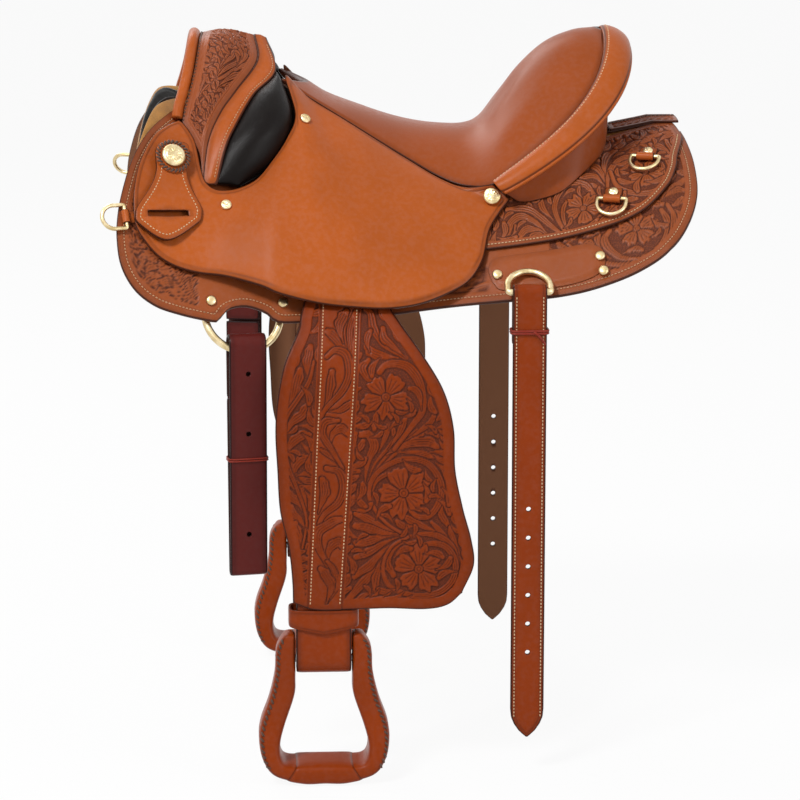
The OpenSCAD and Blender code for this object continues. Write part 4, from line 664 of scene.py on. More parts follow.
def turned(name, profile, place, sides=48, relief=None):
    """A body of revolution about a local frame's third axis, its radius or height modulated by relief."""
    p = np.asarray(profile, float)
    g = angles(sides)
    r, z = np.broadcast_to(p[:, :1], (len(p), sides)), np.broadcast_to(p[:, 1:], (len(p), sides))
    if relief is not None:
        z = z + relief(r, np.broadcast_to(g, r.shape))
    local = vec(r * np.cos(g), r * np.sin(g), z)
    return sweep(name, placed(local, place))


def edge_gap(grid, step=4):
    """Distance of each point from the grid's edge, measured on every few points and blended between them."""
    m, n = grid.shape[:2]
    i, j = border(m, n)
    rim = grid[i, j][:: max(1, len(i) // 700)].astype(np.float32)
    a = np.unique(np.append(np.arange(0, m, step), m - 1))
    b = np.unique(np.append(np.arange(0, n, step), n - 1))
    few = grid[np.ix_(a, b)].astype(np.float32)
    gap = np.sqrt(np.stack([((row[:, None] - rim) ** 2).sum(-1).min(1) for row in few]))
    gap = np.stack([np.interp(np.arange(m), a, gap[:, k]) for k in range(len(b))], 1)
    return np.stack([np.interp(np.arange(n), b, gap[k]) for k in range(m)])


def nearest(points, grid, normals):
    """Drops points onto the tangent plane of the grid's nearest point; returns them with their normals."""
    flat, ns = grid.reshape(-1, 3), normals.reshape(-1, 3)
    few = flat.astype(np.float32)
    pick = np.concatenate([((part[:, None] - few) ** 2).sum(-1).argmin(1)
                           for part in np.array_split(points.astype(np.float32), max(1, len(points) // 24))])
    n = ns[pick]
    return points - n * np.sum((points - flat[pick]) * n, -1, keepdims=True), n


def inset_line(grid, gap):
    """A line on the grid that keeps a distance from its edge: the edge moved inwards, square to its run."""
    i, j = border(*grid.shape[:2])
    tiny = 1e-6
    line = even(np.hstack([grid[i, j], rim_way(grid)[i, j] * tiny]), 900, closed=True)
    p, way = line[:, :3], line[:, 3:] / tiny
    t = np.roll(p, -6, 0) - np.roll(p, 6, 0)
    inward = unit(np.cross(unit(np.cross(t, way)), t))
    inward *= -np.sign(np.sum(inward * way, -1, keepdims=True))
    return p + inward * gap


STITCH_RINGS = np.array([-1.0, -0.72, 0.0, 0.72, 1.0])
STITCH_GIRTH = np.array([0.25, 0.85, 1.0, 0.85, 0.25])


def threads(name, lines, pitch, length, width, slant=0.0):
    """Rows of small stitches: each a spindle of five rings, laid end to end along lines of points and normals."""
    cs, ts, us = [], [], []
    for points, ups in lines:
        count = max(2, int(round(length_of(points) / pitch)))
        c = even(points, count)
        cs.append(c)
        ts.append(unit(np.gradient(c, axis=0)))
        run = np.linspace(0, 1, len(ups))
        us.append(unit(np.stack([np.interp(np.linspace(0, 1, count), run, ups[:, k]) for k in range(3)], -1)))
    c, t, u = (np.concatenate(v) for v in (cs, ts, us))
    b = unit(np.cross(u, t))
    t = unit(t + slant * b)
    b = unit(np.cross(u, t))
    g = angles(6)
    ring = STITCH_GIRTH[:, None] * width / 2
    sink = (np.abs(STITCH_RINGS) ** 3)[:, None] * width * 0.5
    along = np.broadcast_to(STITCH_RINGS[:, None] * length / 2, (5, 6))
    side, lift = ring * np.cos(g), ring * np.sin(g) * 0.8 - sink + width * 0.12
    v = (c[:, None, None] + t[:, None, None] * along[..., None] + b[:, None, None] * side[..., None]
         + u[:, None, None] * lift[..., None])
    number = np.arange(30).reshape(5, 6)
    halves = [[0, 1, 2, 3], [0, 3, 4, 5]]
    caps = [number[0][halves][:, ::-1], number[4][halves]]
    one = np.concatenate([quads(np.concatenate([number, number[:, :1]], 1)), *caps])
    faces = (one[None] + 30 * np.arange(len(c))[:, None, None]).reshape(-1, 4)
    return mesh_object(name, v.reshape(-1, 3), [faces], {})


def joined(name, objs):
    """One object out of several meshes, in order."""
    with bpy.context.temp_override(active_object=objs[0], selected_editable_objects=objs, object=objs[0]):
        bpy.ops.object.join()
    objs[0].name = name
    return objs[0]


def cut(obj, cutters):
    """Takes round bars out of a piece with an exact boolean, and applies it."""
    for bar in cutters:
        mod = obj.modifiers.new("hole", "BOOLEAN")
        mod.operation, mod.solver, mod.object = "DIFFERENCE", "EXACT", bar
    done = bpy.data.meshes.new_from_object(obj.evaluated_get(bpy.context.evaluated_depsgraph_get()))
    obj.modifiers.clear()
    obj.data = done
    for bar in cutters:
        bpy.data.objects.remove(bar)
    return obj


LOOKS = {}


def dress(obj, look, *nodes, body="saddle", slot=None):
    """Gives a piece its look and body, and hides the CAD nodes it stands for; the slot argument is not used."""
    obj.data.materials.clear()
    obj.data.materials.append(LOOKS[look])
    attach(obj, body)
    if nodes:
        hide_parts(*nodes)
    return obj


# Carving: motifs stamped onto a fine grid of levels, 0 for uncut leather and -1 for the lowered ground
BEVEL, HALO, FLUTE = 1.2, 1.7, 0.8
PETALS, HALF_PETAL = 5, 0.628
TAKEN, BARE = 9.0, -0.8
FILL_SPINE = ((-3.4, 1.1), (-1.2, 0.1), (0.4, 0.0), (1.8, 0.6))  # along and aside, in half widths


class Plate:
    """A flat patch of leather in millimetres whose levels are carved motif by motif."""

    def __init__(self, low, high, ground=-1.0, step=0.6):
        self.low, self.step = np.array(low, float), step
        nx, ny = ((np.array(high) - self.low) / step).astype(int) + 1
        self.level = np.full((ny, nx), ground)
        self.mask = np.ones((ny, nx), bool)

    def window(self, points, reach):
        """The part of the grid round some points, with its coordinates."""
        a = np.floor((points.min(0) - reach - self.low) / self.step).astype(int)
        b = np.ceil((points.max(0) + reach - self.low) / self.step).astype(int)
        size = np.array(self.level.shape)[::-1]
        (x0, y0), (x1, y1) = np.clip(a, 0, size), np.clip(b, 0, size)
        x, y = np.meshgrid(np.arange(x0, x1) * self.step + self.low[0], np.arange(y0, y1) * self.step + self.low[1])
        return (slice(y0, y1), slice(x0, x1)), x, y

    def stamp(self, at, gap, rise):
        """Raises the inside of a motif and bevels down what lies close outside it."""
        old = self.level[at]
        inside = -1 + (rise + 1) * ease(gap / BEVEL)
        beside = -1 + (old + 1) * ease(-gap / HALO)
        self.level[at] = np.where(gap > 0, inside, beside)

    def leaf(self, spine, half, foot=0.2):
        """A leaf or stem: it swells from its foot to a rounded tip, lobed on its outer side and fluted lengthwise."""
        count = int(length_of(np.array(spine, float)) / 0.7) + 30
        s = even(curve(spine, np.linspace(0, 1, 4 * count)), count)
        at, x, y = self.window(s, half + HALO)
        if x.size == 0:
            return
        far, k = closest(x, y, s)
        run, way = k / (count - 1), unit(np.gradient(s, axis=0))
        side = way[k, 0] * (y - s[k, 1]) - way[k, 1] * (x - s[k, 0])
        outer = -np.sign(way[0, 0] * way[-1, 1] - way[0, 1] * way[-1, 0])
        wide = half * mix(foot, 1.0, ease(run / 0.72)) * (1 - 0.3 * ease((run - 0.8) / 0.2))
        lobed = ease((run - 0.3) / 0.2) * ease(side * outer / half * 3) * (half > 4.5)
        wide = wide * (1 + 0.16 * lobed * np.cos(2 * math.pi * half * 0.55 * run))
        shares = (-0.46, 0.02, 0.5) if half > 5.3 else (-0.3, 0.34) if half > 3.3 else (0.0,)
        line = sum(bell(side, c * wide, FLUTE) for c in shares)
        rise = 0.12 - 0.75 * line * ease((run - 0.12) / 0.15) * ease((0.96 - run) / 0.08)
        self.stamp(at, wide - far, rise)

    def bloom(self, centre, radius, turn=0.0):
        """A five-petalled flower: ruffled petals with radial veins and ground between them, round a ringed eye."""
        c = np.array(centre, float)
        at, x, y = self.window(c[None], radius + HALO)
        r, a = np.hypot(x - c[0], y - c[1]), np.arctan2(y - c[1], x - c[0]) - turn
        petal = a * PETALS / (2 * math.pi)
        phi, number = petal % 1.0 * 2 - 1, np.floor(petal) % PETALS
        rim = radius * (1 - 0.08 * (number % 2)) * (1 - 0.42 * np.abs(phi) ** 2.6)
        rim = rim * (1 - 0.12 * bell(phi, 0.0, 0.16) + 0.07 * np.cos(phi * 10 + number))
        gap = np.minimum(rim - r, (0.95 - np.abs(phi)) * HALF_PETAL * r)
        share = np.clip(r / np.maximum(rim, 1), 0, 1)
        vein = sum(bell((phi - c) * HALF_PETAL * r, 0.0, FLUTE) for c in (-0.42, 0.0, 0.42))
        rise = 0.14 - 0.7 * vein * ease((share - 0.2) / 0.1) * ease((0.86 - share) / 0.15)
        rise = rise - 0.3 * bell(share, 0.8, 0.1)
        self.stamp(at, gap, rise)
        eye = radius * 0.17
        self.stamp(at, eye - r, 0.2 - 0.8 * bell(r, eye * 0.45, 0.8))

    def draw(self, motifs, mirror=1.0):
        """Stamps a table of motifs: a kind (leaf or stem), its half width and its spine."""
        for kind, half, *spine in motifs:
            self.leaf(np.array(spine, float) * (mirror, 1.0), half, 0.2 if kind == "l" else 0.55)

    def bound(self, x, y, zone):
        """Keeps the small leaves to the cells near points of a zone."""
        at = np.stack([y - self.low[1], x - self.low[0]], -1)[zone > 0.5] / self.step
        at = at[(at >= 0).all(-1) & (at < self.level.shape).all(-1)].astype(int)
        hit = np.zeros(self.level.shape)
        hit[at[:, 0], at[:, 1]] = 1
        self.mask = blurred(hit, 3) > 0.02
        return self

    def fill(self, count, half, reach=4.5, flow=None):
        """Slim leaves in the widest patches of bare ground, laid along the motifs beside them or with a flow."""
        n = int(reach / self.step)
        for _ in range(count):
            soft = np.where(self.mask, blurred(self.level, n), TAKEN)
            for edge in (soft[: 2 * n], soft[-2 * n:], soft[:, : 2 * n], soft[:, -2 * n:]):
                edge[:] = TAKEN
            i, j = np.unravel_index(soft.argmin(), soft.shape)
            if soft[i, j] > BARE:
                return
            wide = blurred(self.level[i - 2 * n:i + 2 * n + 1, j - 2 * n:j + 2 * n + 1], n // 2)
            slope = np.array([wide[:, -1].mean() - wide[:, 0].mean(), wide[-1].mean() - wide[0].mean()])
            c = self.low + self.step * np.array([j, i])
            along = unit(np.array([-slope[1], slope[0]]) + 1e-3)
            if flow is not None:
                along = unit(flow(c))
            away = np.array([along[1], -along[0]]) * (1 if (i + j) % 2 else -1)
            self.leaf([c + a * half * along + b * half * away for a, b in FILL_SPINE], half)

    def finish(self):
        """Stipples the ground, and finds the recesses in which the dark finish stays."""
        rng = np.random.default_rng(SEED)
        soft = blurred(self.level, 3)
        self.recess = np.clip((soft - self.level) * 2.3, 0, 1)
        self.ground = ease((-0.72 - self.level) / 0.22)
        dots = rng.random(self.level.shape)
        self.level = self.level + self.ground * 0.45 * (blurred(dots, 1) - 0.5)
        return self

    def carve(self, x, y, zone):
        """Level, recess and ground at points of the plate, inside a zone from 0 to 1."""
        fx, fy = (x - self.low[0]) / self.step, (y - self.low[1]) / self.step
        ny, nx = self.level.shape
        i = np.clip(np.floor(fy).astype(int), 0, ny - 2)
        j = np.clip(np.floor(fx).astype(int), 0, nx - 2)
        v, u = np.clip(fy - i, 0, 1), np.clip(fx - j, 0, 1)
        return [zone * mix(mix(a[i, j], a[i, j + 1], u), mix(a[i + 1, j], a[i + 1, j + 1], u), v)
                for a in (self.level, self.recess, self.ground)]


def blurred(field, n):
    """Mean of a field over squares of n cells to each side, from running sums."""
    padded = np.pad(field, ((n + 1, n), (n + 1, n)), mode="edge").cumsum(0).cumsum(1)
    m = 2 * n + 1
    return (padded[m:, m:] - padded[:-m, m:] - padded[m:, :-m] + padded[:-m, :-m]) / m**2


def closest(x, y, line):
    """Distance to a line's nearest point and its number, for a grid of places."""
    far, pick = [], []
    few = line.astype(np.float32)
    for px, py in zip(np.array_split(x.astype(np.float32), 12), np.array_split(y.astype(np.float32), 12)):
        d = (px[..., None] - few[:, 0]) ** 2 + (py[..., None] - few[:, 1]) ** 2
        k = d.argmin(-1)
        far.append(np.sqrt(np.take_along_axis(d, k[..., None], -1)[..., 0]))
        pick.append(k)
    return np.concatenate(far), np.concatenate(pick)


# Materials
FLOAT, COLOR = "NodeSocketFloat", "NodeSocketColor"


def new_group(name, inputs, outputs):
    """An empty shader node group with named sockets."""
    group = bpy.data.node_groups.new(name, "ShaderNodeTree")
    for title, kind, default in inputs:
        group.interface.new_socket(title, in_out="INPUT", socket_type=kind).default_value = default
    for title, kind in outputs:
        group.interface.new_socket(title, in_out="OUTPUT", socket_type=kind)
    return Tree(group), group.nodes.new("NodeGroupInput").outputs, group.nodes.new("NodeGroupOutput").inputs


class Tree:
    """Short hand for adding and linking nodes."""

    def __init__(self, tree):
        self.tree = tree

    def add(self, kind, links=(), **values):
        """A node with its settings, and its sockets linked or set."""
        node = self.tree.nodes.new(kind)
        for key, value in values.items():
            setattr(node, key, value)
        for socket, source in dict(links).items():
            if isinstance(source, bpy.types.NodeSocket):
                self.link(source, node.inputs[socket])
            else:
                node.inputs[socket].default_value = source
        return node

    def link(self, source, target):
        """Joins two sockets."""
        self.tree.links.new(source, target)

    def math(self, operation, a, b=0.0, clamp=False):
        """One sum or product."""
        return self.add("ShaderNodeMath", {0: a, 1: b}, operation=operation, use_clamp=clamp).outputs[0]

    def scaled(self, value, gain, base):
        """A value times a gain, plus a base."""
        return self.math("ADD", self.math("MULTIPLY", value, gain), base)

    def mix(self, share, a, b):
        """Blend of two colours."""
        return self.add("ShaderNodeMix", {0: share, 6: a, 7: b}, data_type="RGBA").outputs[2]

    def ramp(self, value, low, high):
        """Smooth step from 0 at low to 1 at high."""
        return self.add("ShaderNodeMapRange", {0: value, 1: low, 2: high, 3: 0.0, 4: 1.0},
                        interpolation_type="SMOOTHSTEP").outputs[0]

    def place(self):
        """Object coordinates."""
        return self.add("ShaderNodeTexCoord").outputs["Object"]

    def noise(self, at, scale, detail, **more):
        """Noise at a place."""
        return self.add("ShaderNodeTexNoise", {"Vector": at, "Scale": scale, "Detail": detail, **more}).outputs[0]

    def bump(self, shade, height, strength, distance):
        """Bump on a shader."""
        node = self.add("ShaderNodeBump", {"Strength": strength, "Distance": distance, "Height": height})
        self.link(node.outputs[0], shade.inputs["Normal"])


def grain_group():
    """Leather grain: small cells with soft creases, and slow changes of tone, on Object coordinates."""
    t, into, out = new_group("Leather grain", [("Scale", FLOAT, 900.0), ("Patch", FLOAT, 14.0)],
                             [("Height", FLOAT), ("Tone", FLOAT), ("Fleck", FLOAT)])
    at = t.place()
    cells = t.add("ShaderNodeTexVoronoi", {"Vector": at, "Scale": into["Scale"]}, feature="DISTANCE_TO_EDGE")
    pores = t.noise(at, into["Scale"], 3.0)
    crease = t.ramp(cells.outputs["Distance"], 0.0, 0.14)
    t.link(t.scaled(crease, 0.6, t.math("MULTIPLY", pores, 0.5)), out["Height"])
    t.link(t.ramp(t.noise(at, into["Patch"], 2.0, Roughness=0.5), 0.25, 0.75), out["Tone"])
    t.link(t.ramp(t.noise(at, 160.0, 4.0), 0.35, 0.75), out["Fleck"])


def finish_group():
    """Edge and carving finish from a piece's attributes: burnished edge, dark recesses (dark finish in carved cuts and
    creased lines, painted crease shade on the cantle roll), matted ground, flesh side.
    """
    t, into, out = new_group(
        "Leather finish",
        [("Color", COLOR, (0.4, 0.15, 0.06, 1)), ("Dark", COLOR, (0.03, 0.012, 0.006, 1)),
         ("Ground", COLOR, (0.12, 0.04, 0.018, 1)), ("Flesh", COLOR, (0.3, 0.16, 0.08, 1)),
         ("Tone", FLOAT, 0.5), ("Fleck", FLOAT, 0.5)],
        [("Color", COLOR), ("Roughness", FLOAT), ("Stipple", FLOAT)])
    edge, recess, ground, flesh = (t.add("ShaderNodeAttribute", attribute_name=key).outputs["Fac"]
                                   for key in ("edge", "recess", "ground", "flesh"))
    color = t.add("ShaderNodeHueSaturation", {
        "Color": into["Color"], "Value": t.scaled(into["Tone"], 0.16, 0.92),
        "Saturation": t.scaled(into["Fleck"], -0.04, 1.02)}).outputs[0]
    seeds = t.add("ShaderNodeTexVoronoi", {"Vector": t.place(), "Scale": 620.0}).outputs["Distance"]
    dots = t.math("MULTIPLY", t.ramp(seeds, 0.15, 0.6), ground)
    color = t.mix(t.scaled(ground, 0.45, t.math("MULTIPLY", dots, 0.45)), color, into["Ground"])
    # Recess darkening: dark finish in carved cuts and creased lines, and painted crease shade on the cantle roll's
    # seams
    color = t.mix(t.math("MULTIPLY", recess, 0.85, True), color, into["Dark"])
    for reach, share in ((9.0, 0.28), (1.1, 0.9)):
        near = t.math("SUBTRACT", 1.0, t.ramp(edge, 0.0, reach))
        color = t.mix(t.math("MULTIPLY", near, share), color, into["Dark"])
    t.link(t.mix(flesh, color, into["Flesh"]), out["Color"])
    mat = t.math("MAXIMUM", t.math("MULTIPLY", ground, 0.8), flesh)
    rough = t.scaled(mat, 0.35, t.math("MULTIPLY", into["Fleck"], 0.1))
    t.link(t.math("ADD", rough, 0.28), out["Roughness"])
    t.link(t.math("MULTIPLY", dots, -3.0), out["Stipple"])


def material(name):
    """A material with only a Principled shader."""
    mat = bpy.data.materials.new(name)
    mat.use_nodes = True
    return mat, Tree(mat.node_tree), mat.node_tree.nodes["Principled BSDF"]


def leather(name, color, shades, grain=900.0, bump=0.12, patch=10.0, specular=0.13):
    """Leather: grain bump, tone patches, burnished edges and carving finish; shades for recess, ground and flesh."""
    mat, t, shade = material(name)
    grained = t.add("ShaderNodeGroup", node_tree=bpy.data.node_groups["Leather grain"])
    grained.inputs["Scale"].default_value, grained.inputs["Patch"].default_value = grain, patch
    skin = t.add("ShaderNodeGroup", node_tree=bpy.data.node_groups["Leather finish"])
    for key, value in zip(("Color", "Dark", "Ground", "Flesh"), (color, *shades)):
        skin.inputs[key].default_value = (*value, 1.0)
    for key in ("Tone", "Fleck"):
        t.link(grained.outputs[key], skin.inputs[key])
    t.link(skin.outputs["Color"], shade.inputs["Base Color"])
    t.link(skin.outputs["Roughness"], shade.inputs["Roughness"])
    t.bump(shade, t.math("ADD", grained.outputs["Height"], skin.outputs["Stipple"]), bump, 0.0006)
    shade.inputs["Specular IOR Level"].default_value = specular
    return mat


def metal(name, color, rough, worn):
    """Metal: cast colour with darker hollows and fine scuffs in its gloss."""
    mat, t, shade = material(name)
    at = t.place()
    slow, fine = t.noise(at, 90.0, 6.0, Roughness=0.65), t.noise(at, 700.0, 3.0)
    t.link(t.mix(t.ramp(slow, 0.3, 0.75), (*worn, 1), (*color, 1)), shade.inputs["Base Color"])
    t.link(t.scaled(fine, 0.22, rough - 0.1), shade.inputs["Roughness"])
    t.bump(shade, fine, 0.06, 0.0004)
    shade.inputs["Metallic"].default_value = 1.0
    return mat


def fibre(name, color, deep, scale=2500.0, rough=0.6, bump=0.25, sheen=0.1):
    """Felt or thread: matted fibres with darker depths."""
    mat, t, shade = material(name)
    at = t.place()
    strands, slow = t.noise(at, scale, 8.0, Roughness=0.75), t.noise(at, scale / 12, 3.0)
    tone = t.scaled(strands, 0.7, t.math("MULTIPLY", slow, 0.3))
    t.link(t.mix(t.ramp(tone, 0.32, 0.62), (*deep, 1), (*color, 1)), shade.inputs["Base Color"])
    t.link(t.scaled(strands, 0.15, rough - 0.08), shade.inputs["Roughness"])
    t.bump(shade, strands, bump, 0.001)
    shade.inputs["Sheen Weight"].default_value = sheen
    return mat


def timber(name, color, deep):
    """Bare tree wood: long stretched grain."""
    mat, t, shade = material(name)
    long = t.add("ShaderNodeMapping", {"Vector": t.place(), "Scale": (14.0, 120.0, 120.0)}).outputs[0]
    lines = t.noise(long, 1.0, 6.0, Distortion=0.6)
    t.link(t.mix(t.ramp(lines, 0.35, 0.65), (*deep, 1), (*color, 1)), shade.inputs["Base Color"])
    t.link(t.scaled(lines, 0.2, 0.5), shade.inputs["Roughness"])
    t.bump(shade, lines, 0.2, 0.0008)
    return mat


def make_looks(tint):
    """All materials, with their colours from the add-on's settings."""
    grain_group()
    finish_group()
    shades = (tint.burnish, tint.ground, tint.flesh)
    LOOKS["brown"] = leather("brown_leather", tint.brown, shades)
    # Seat look: its darker colour is painted shade of the seat
    LOOKS["seat"] = leather("seat_leather", tint.seat, shades, 1100.0, 0.08, 9.0, 0.11)
    LOOKS["tooled"] = leather("tooled_leather", tint.tooled, shades, 1300.0, 0.16, 10.0, 0.17)
    # Fender and strap looks: their darker colours are partly a deeper leather tone, partly painted shade
    LOOKS["fender"] = leather("fender_leather", tint.fender, shades, 1300.0, 0.16, 10.0, 0.12)
    LOOKS["strap"] = leather("strap_leather", tint.strap, shades)
    shades = ((0.004, 0.004, 0.004), (0.01, 0.01, 0.01), (0.02, 0.018, 0.017))
    LOOKS["black"] = leather("black_leather", tint.black, shades, 650.0, 0.2, 20.0, 0.12)
    shades = ((0.012, 0.004, 0.004), (0.02, 0.006, 0.005), (0.05, 0.018, 0.014))
    LOOKS["burgundy"] = leather("burgundy_leather", tint.burgundy, shades, 800.0, 0.16)
    shades = ((0.05, 0.006, 0.005), (0.05, 0.006, 0.005), (0.1, 0.012, 0.01))
    LOOKS["lace"] = leather("red_lace", tint.lace, shades, 1500.0, 0.2)
    LOOKS["brass"] = metal("brass", tint.brass, 0.34, (0.6, 0.45, 0.21))
    LOOKS["steel"] = metal("bolt_steel", (0.5, 0.5, 0.52), 0.38, (0.28, 0.27, 0.27))
    LOOKS["felt"] = fibre("tan_felt", tint.felt, (0.3, 0.14, 0.03), 900.0, 0.95, 0.5, 0.3)
    LOOKS["thread"] = fibre("waxed_thread", tint.thread, (0.36, 0.2, 0.09))
    LOOKS["tan thread"] = fibre("tan_thread", tint.tan, (0.2, 0.07, 0.025))
    LOOKS["dark thread"] = fibre("dark_thread", (0.09, 0.035, 0.016), (0.02, 0.008, 0.004))
    LOOKS["wood"] = timber("tree_wood", (0.5, 0.33, 0.17), (0.3, 0.17, 0.075))


# The saddle's surfaces
def seat_edge():
    """Jockey seam of the seat, and its whole edge: the seam, then the cantle rim."""
    s = np.array(SEAM)
    seam = vec(s[:, 0] * SEAT_LEN - SEAT_FRONT, -s[:, 1] * SEAT_HALF, s[:, 2] * SEAM_Z)
    steps = len(CENTRE) - len(SEAM)
    return seam, np.vstack([seam, rim_pt(mix(90, RIM_END, np.arange(1, steps + 1) / steps))])


def rim_pt(a):
    """Cantle rim at a degrees from the centre line."""
    c = np.cos(np.radians(a))
    return vec(CORNER_X + CANTLE_REACH * ease(c), -SEAT_HALF * np.sin(np.radians(a)),
               CORNER_Z + CANTLE_RISE * np.maximum(c, 0) ** RIM_POWER)


def seat_pt(a, b):
    """Seat at a along its length and b across, from -1 to 1: ribs that bow from the centre line to the edge."""
    e = curve(seat_edge()[1], a)
    c = np.array(CENTRE)
    c = curve(vec(c[:, 0] * SEAT_LEN - SEAT_FRONT, SEAT_LOW + c[:, 1] * SEAT_RISE), a)
    w = np.abs(b)
    return vec(c[..., 0] + (e[..., 0] - c[..., 0]) * w * w, e[..., 1] * -b,
               e[..., 2] + (c[..., 1] - e[..., 2]) * (1 - w**SEAT_POWER))


def signed(points, a):
    """Turns points over to the off side where the angle is negative."""
    return np.where((a < 0)[..., None], flip(points), points)


def roll_pt(turn, x, y):
    """Cantle roll at an angle: x shares of its width out from the rim and y of its thickness up."""
    a = np.abs(turn)
    g = np.radians(a)
    out = unit(vec(0.42 + 0.5 * np.cos(g), -0.8 * np.sin(g), -0.5))
    wide = ROLL_W * (ROLL_TAPER + (1 - ROLL_TAPER) * np.sqrt(np.maximum(0, np.cos(g))))
    up = unit(np.cross(unit(rim_pt(a + 1) - rim_pt(a - 1)), out))
    up = np.where(up[..., 2:] > 0, up, -up)
    return signed(rim_pt(a) + out * (x * wide)[..., None] + up * np.asarray(y * ROLL_TH)[..., None], turn)


def housing_lift(x, t):
    """Rise of the rear housing over the tree bars."""
    beside, behind = (ease((far - DRAPE_FROM) / DRAPE) for far in (t - BAR_LOW, x - BAR_REAR))
    return DRAPE_STEP * (1 - beside) * (1 - behind)


def base_pt(a):
    """Foot of the cantle back on the housing, by repeated steps across."""
    p = curve(BACK_BASE, np.abs(a) / 90)
    x, y, o = CORNER_X + p[..., 0] * CANTLE_REACH, p[..., 1] * SEAT_HALF, HOUSING_OUT + BACK_LIFT
    r, t = BACK_R + BACK_FLARE * x, np.full(x.shape, BAR_LOW)
    for _ in range(20):
        t = y / (1 + o / r / np.sqrt(1 + (t / r) ** 2))
    return back_pt(x, t, o + housing_lift(x, t))


def swell_pt(v, u):
    """Swell at v from the gullet to the knee pads and u across, near side negative: a curve through four sections."""
    s = np.stack([curve(fork_pt(sec), np.abs(u)) for sec in SWELL_SECTIONS])
    q = np.concatenate([2 * s[:1] - s[1:2], s, 2 * s[3:] - s[2:3]])
    g = np.clip(v, 0, 1) * 3
    i = np.minimum(2, np.floor(g)).astype(int)
    knots = (np.take_along_axis(q, (i + k)[None, ..., None], 0)[0] for k in range(4))
    p = cubic(*knots, (g - i)[..., None])
    return np.where((u < 0)[..., None], p, flip(p))


def swell_grid(span, rows, cols):
    """Parameters down and across a band of the swell."""
    r, c = lattice(rows, cols)
    return mix(span[0], span[1], c), span[2] * (1 - 2 * r)


def sunk(p, d):
    """Moves swell points towards the fork's core."""
    return p + d * unit(fork_pt(FORK_CORE) - p)


def jockey_line(t):
    """Upper and lower edge of the jockey."""
    seam = seat_edge()[0][1:] + np.array([0, -SEAM_STEP, -SEAM_STEP])
    low = np.array(JOCKEY_LOW)
    k = np.linspace(0, 1, len(low))
    o = EAR_OUT + JOCKEY_LIFT * np.exp(-(((k - 0.62) / 0.17) ** 4)) + REAR_LIFT * ease((k - 0.76) / 0.1)
    x, z = jockey_x(low[:, 0]), low[:, 1] * JOCKEY_DROP
    return curve(np.vstack([fork_pt(JOCKEY_TOP), seam]), t), curve(back_pt(x, across(x, z, o), o), t)


JOCKEY_IN = np.array([0, math.cos(math.radians(JOCKEY_HANG)), -math.sin(math.radians(JOCKEY_HANG))])


def jockey_pt(t, s):
    """Jockey at t along and s down: straight ribs, bulged outwards behind the fork."""
    top, low = jockey_line(t)
    bulge = JOCKEY_CROWN * ease((t - 0.3) / 0.25) * ease((1 - t) / 0.2) * 4 * s * (1 - s)
    return raised(mix(top, low, s[..., None]), JOCKEY_IN, -bulge)


def jockey_frame(t, s, d):
    """Local frame on the jockey, d off its surface."""
    t, s, e = np.array(t), np.array(s), 0.01
    n = unit(np.cross(jockey_pt(t + e, s) - jockey_pt(t - e, s), jockey_pt(t, s + e) - jockey_pt(t, s - e)))
    n = n if n[1] < 0 else -n
    return frame_on(jockey_pt(t, s) + n * d, n)


def on_back_grid(top, low, rows, cols, dense=None, crowd=0.35):
    """Grid of places on the back between two lines: columns spread by length, rows crowded to the low line."""
    fine = np.linspace(0, 1, 3000)
    line = curve(low, fine)
    step = np.linalg.norm(np.diff(line, axis=0), axis=1)
    if dense is not None:
        step = step * dense((line[1:, 0] + line[:-1, 0]) / 2)
    run = np.concatenate([[0], np.cumsum(step)])
    at = np.interp(np.linspace(0, run[-1], cols), run, fine)
    r = np.linspace(0, 1, rows)
    r = r + crowd * r * (1 - r)
    p = mix(curve(top, at)[None], curve(low, at)[None], r[:, None, None])
    return p[..., 0], p[..., 1]


def edge_line(shares, o, place=skirt_x):
    """A leather layer's edge as places on the back."""
    s = np.array(shares, float)
    x = place(s[:, 0])
    return vec(x, across(x, s[:, 1] * SKIRT_DROP, o))


def channel_line(count):
    """The skirt layers' upper edge beside the channel."""
    k = np.linspace(0, 1, count)
    return vec(skirt_x(mix(TOP_SHARES[0], TOP_SHARES[1], k)), mix(CHANNEL_FRONT, CHANNEL_REAR, k))


def arc(x, t):
    """Distance across measured along the back's parabola."""
    r = BACK_R + BACK_FLARE * x
    return t / 2 * np.sqrt(1 + (t / r) ** 2) + r / 2 * np.arcsinh(t / r)


# Pieces on both sides, and stitching
def both(node, look, make, body="saddle", slot=None):
    """Builds a piece for the near side and its mirror for the off side."""
    return [dress(make(node + "_visual_" + side, turn), look, node + "_" + side,
                  body=body if body == "saddle" else body + "_" + side, slot=slot) for side, turn in SIDES]


def leaves(node, look, outer, inner, puff, body="saddle", **fields):
    """A leather leaf on both sides."""
    return both(node, look, lambda name, turn: shell(name, turn(outer), turn(inner), fields, puff), body)


def pair(name, make):
    """A piece and its mirror as one object."""
    return joined(name, [make(name + "_" + side, turn) for side, turn in SIDES])


def stitched(name, lines, look="thread", size=STITCH, slant=0.0, body="saddle"):
    """Stitching that rides on a body."""
    return dress(threads(name, lines, *size, slant), look, body=body)


def two_sided(lines):
    """Lines with their normals, and their mirror on the off side."""
    return lines + [(flip(p), flip(n)) for p, n in lines]


def loop_part(line, keep):
    """The longest run of a closed line's points that a test keeps."""
    ok = keep(line)
    start = int(np.argmax(~ok & np.roll(ok, -1))) + 1 if not ok.all() else 0
    line, ok = np.roll(line, -start, 0), np.roll(ok, -start)
    return line[:len(ok) if ok.all() else int(np.argmax(~ok))]


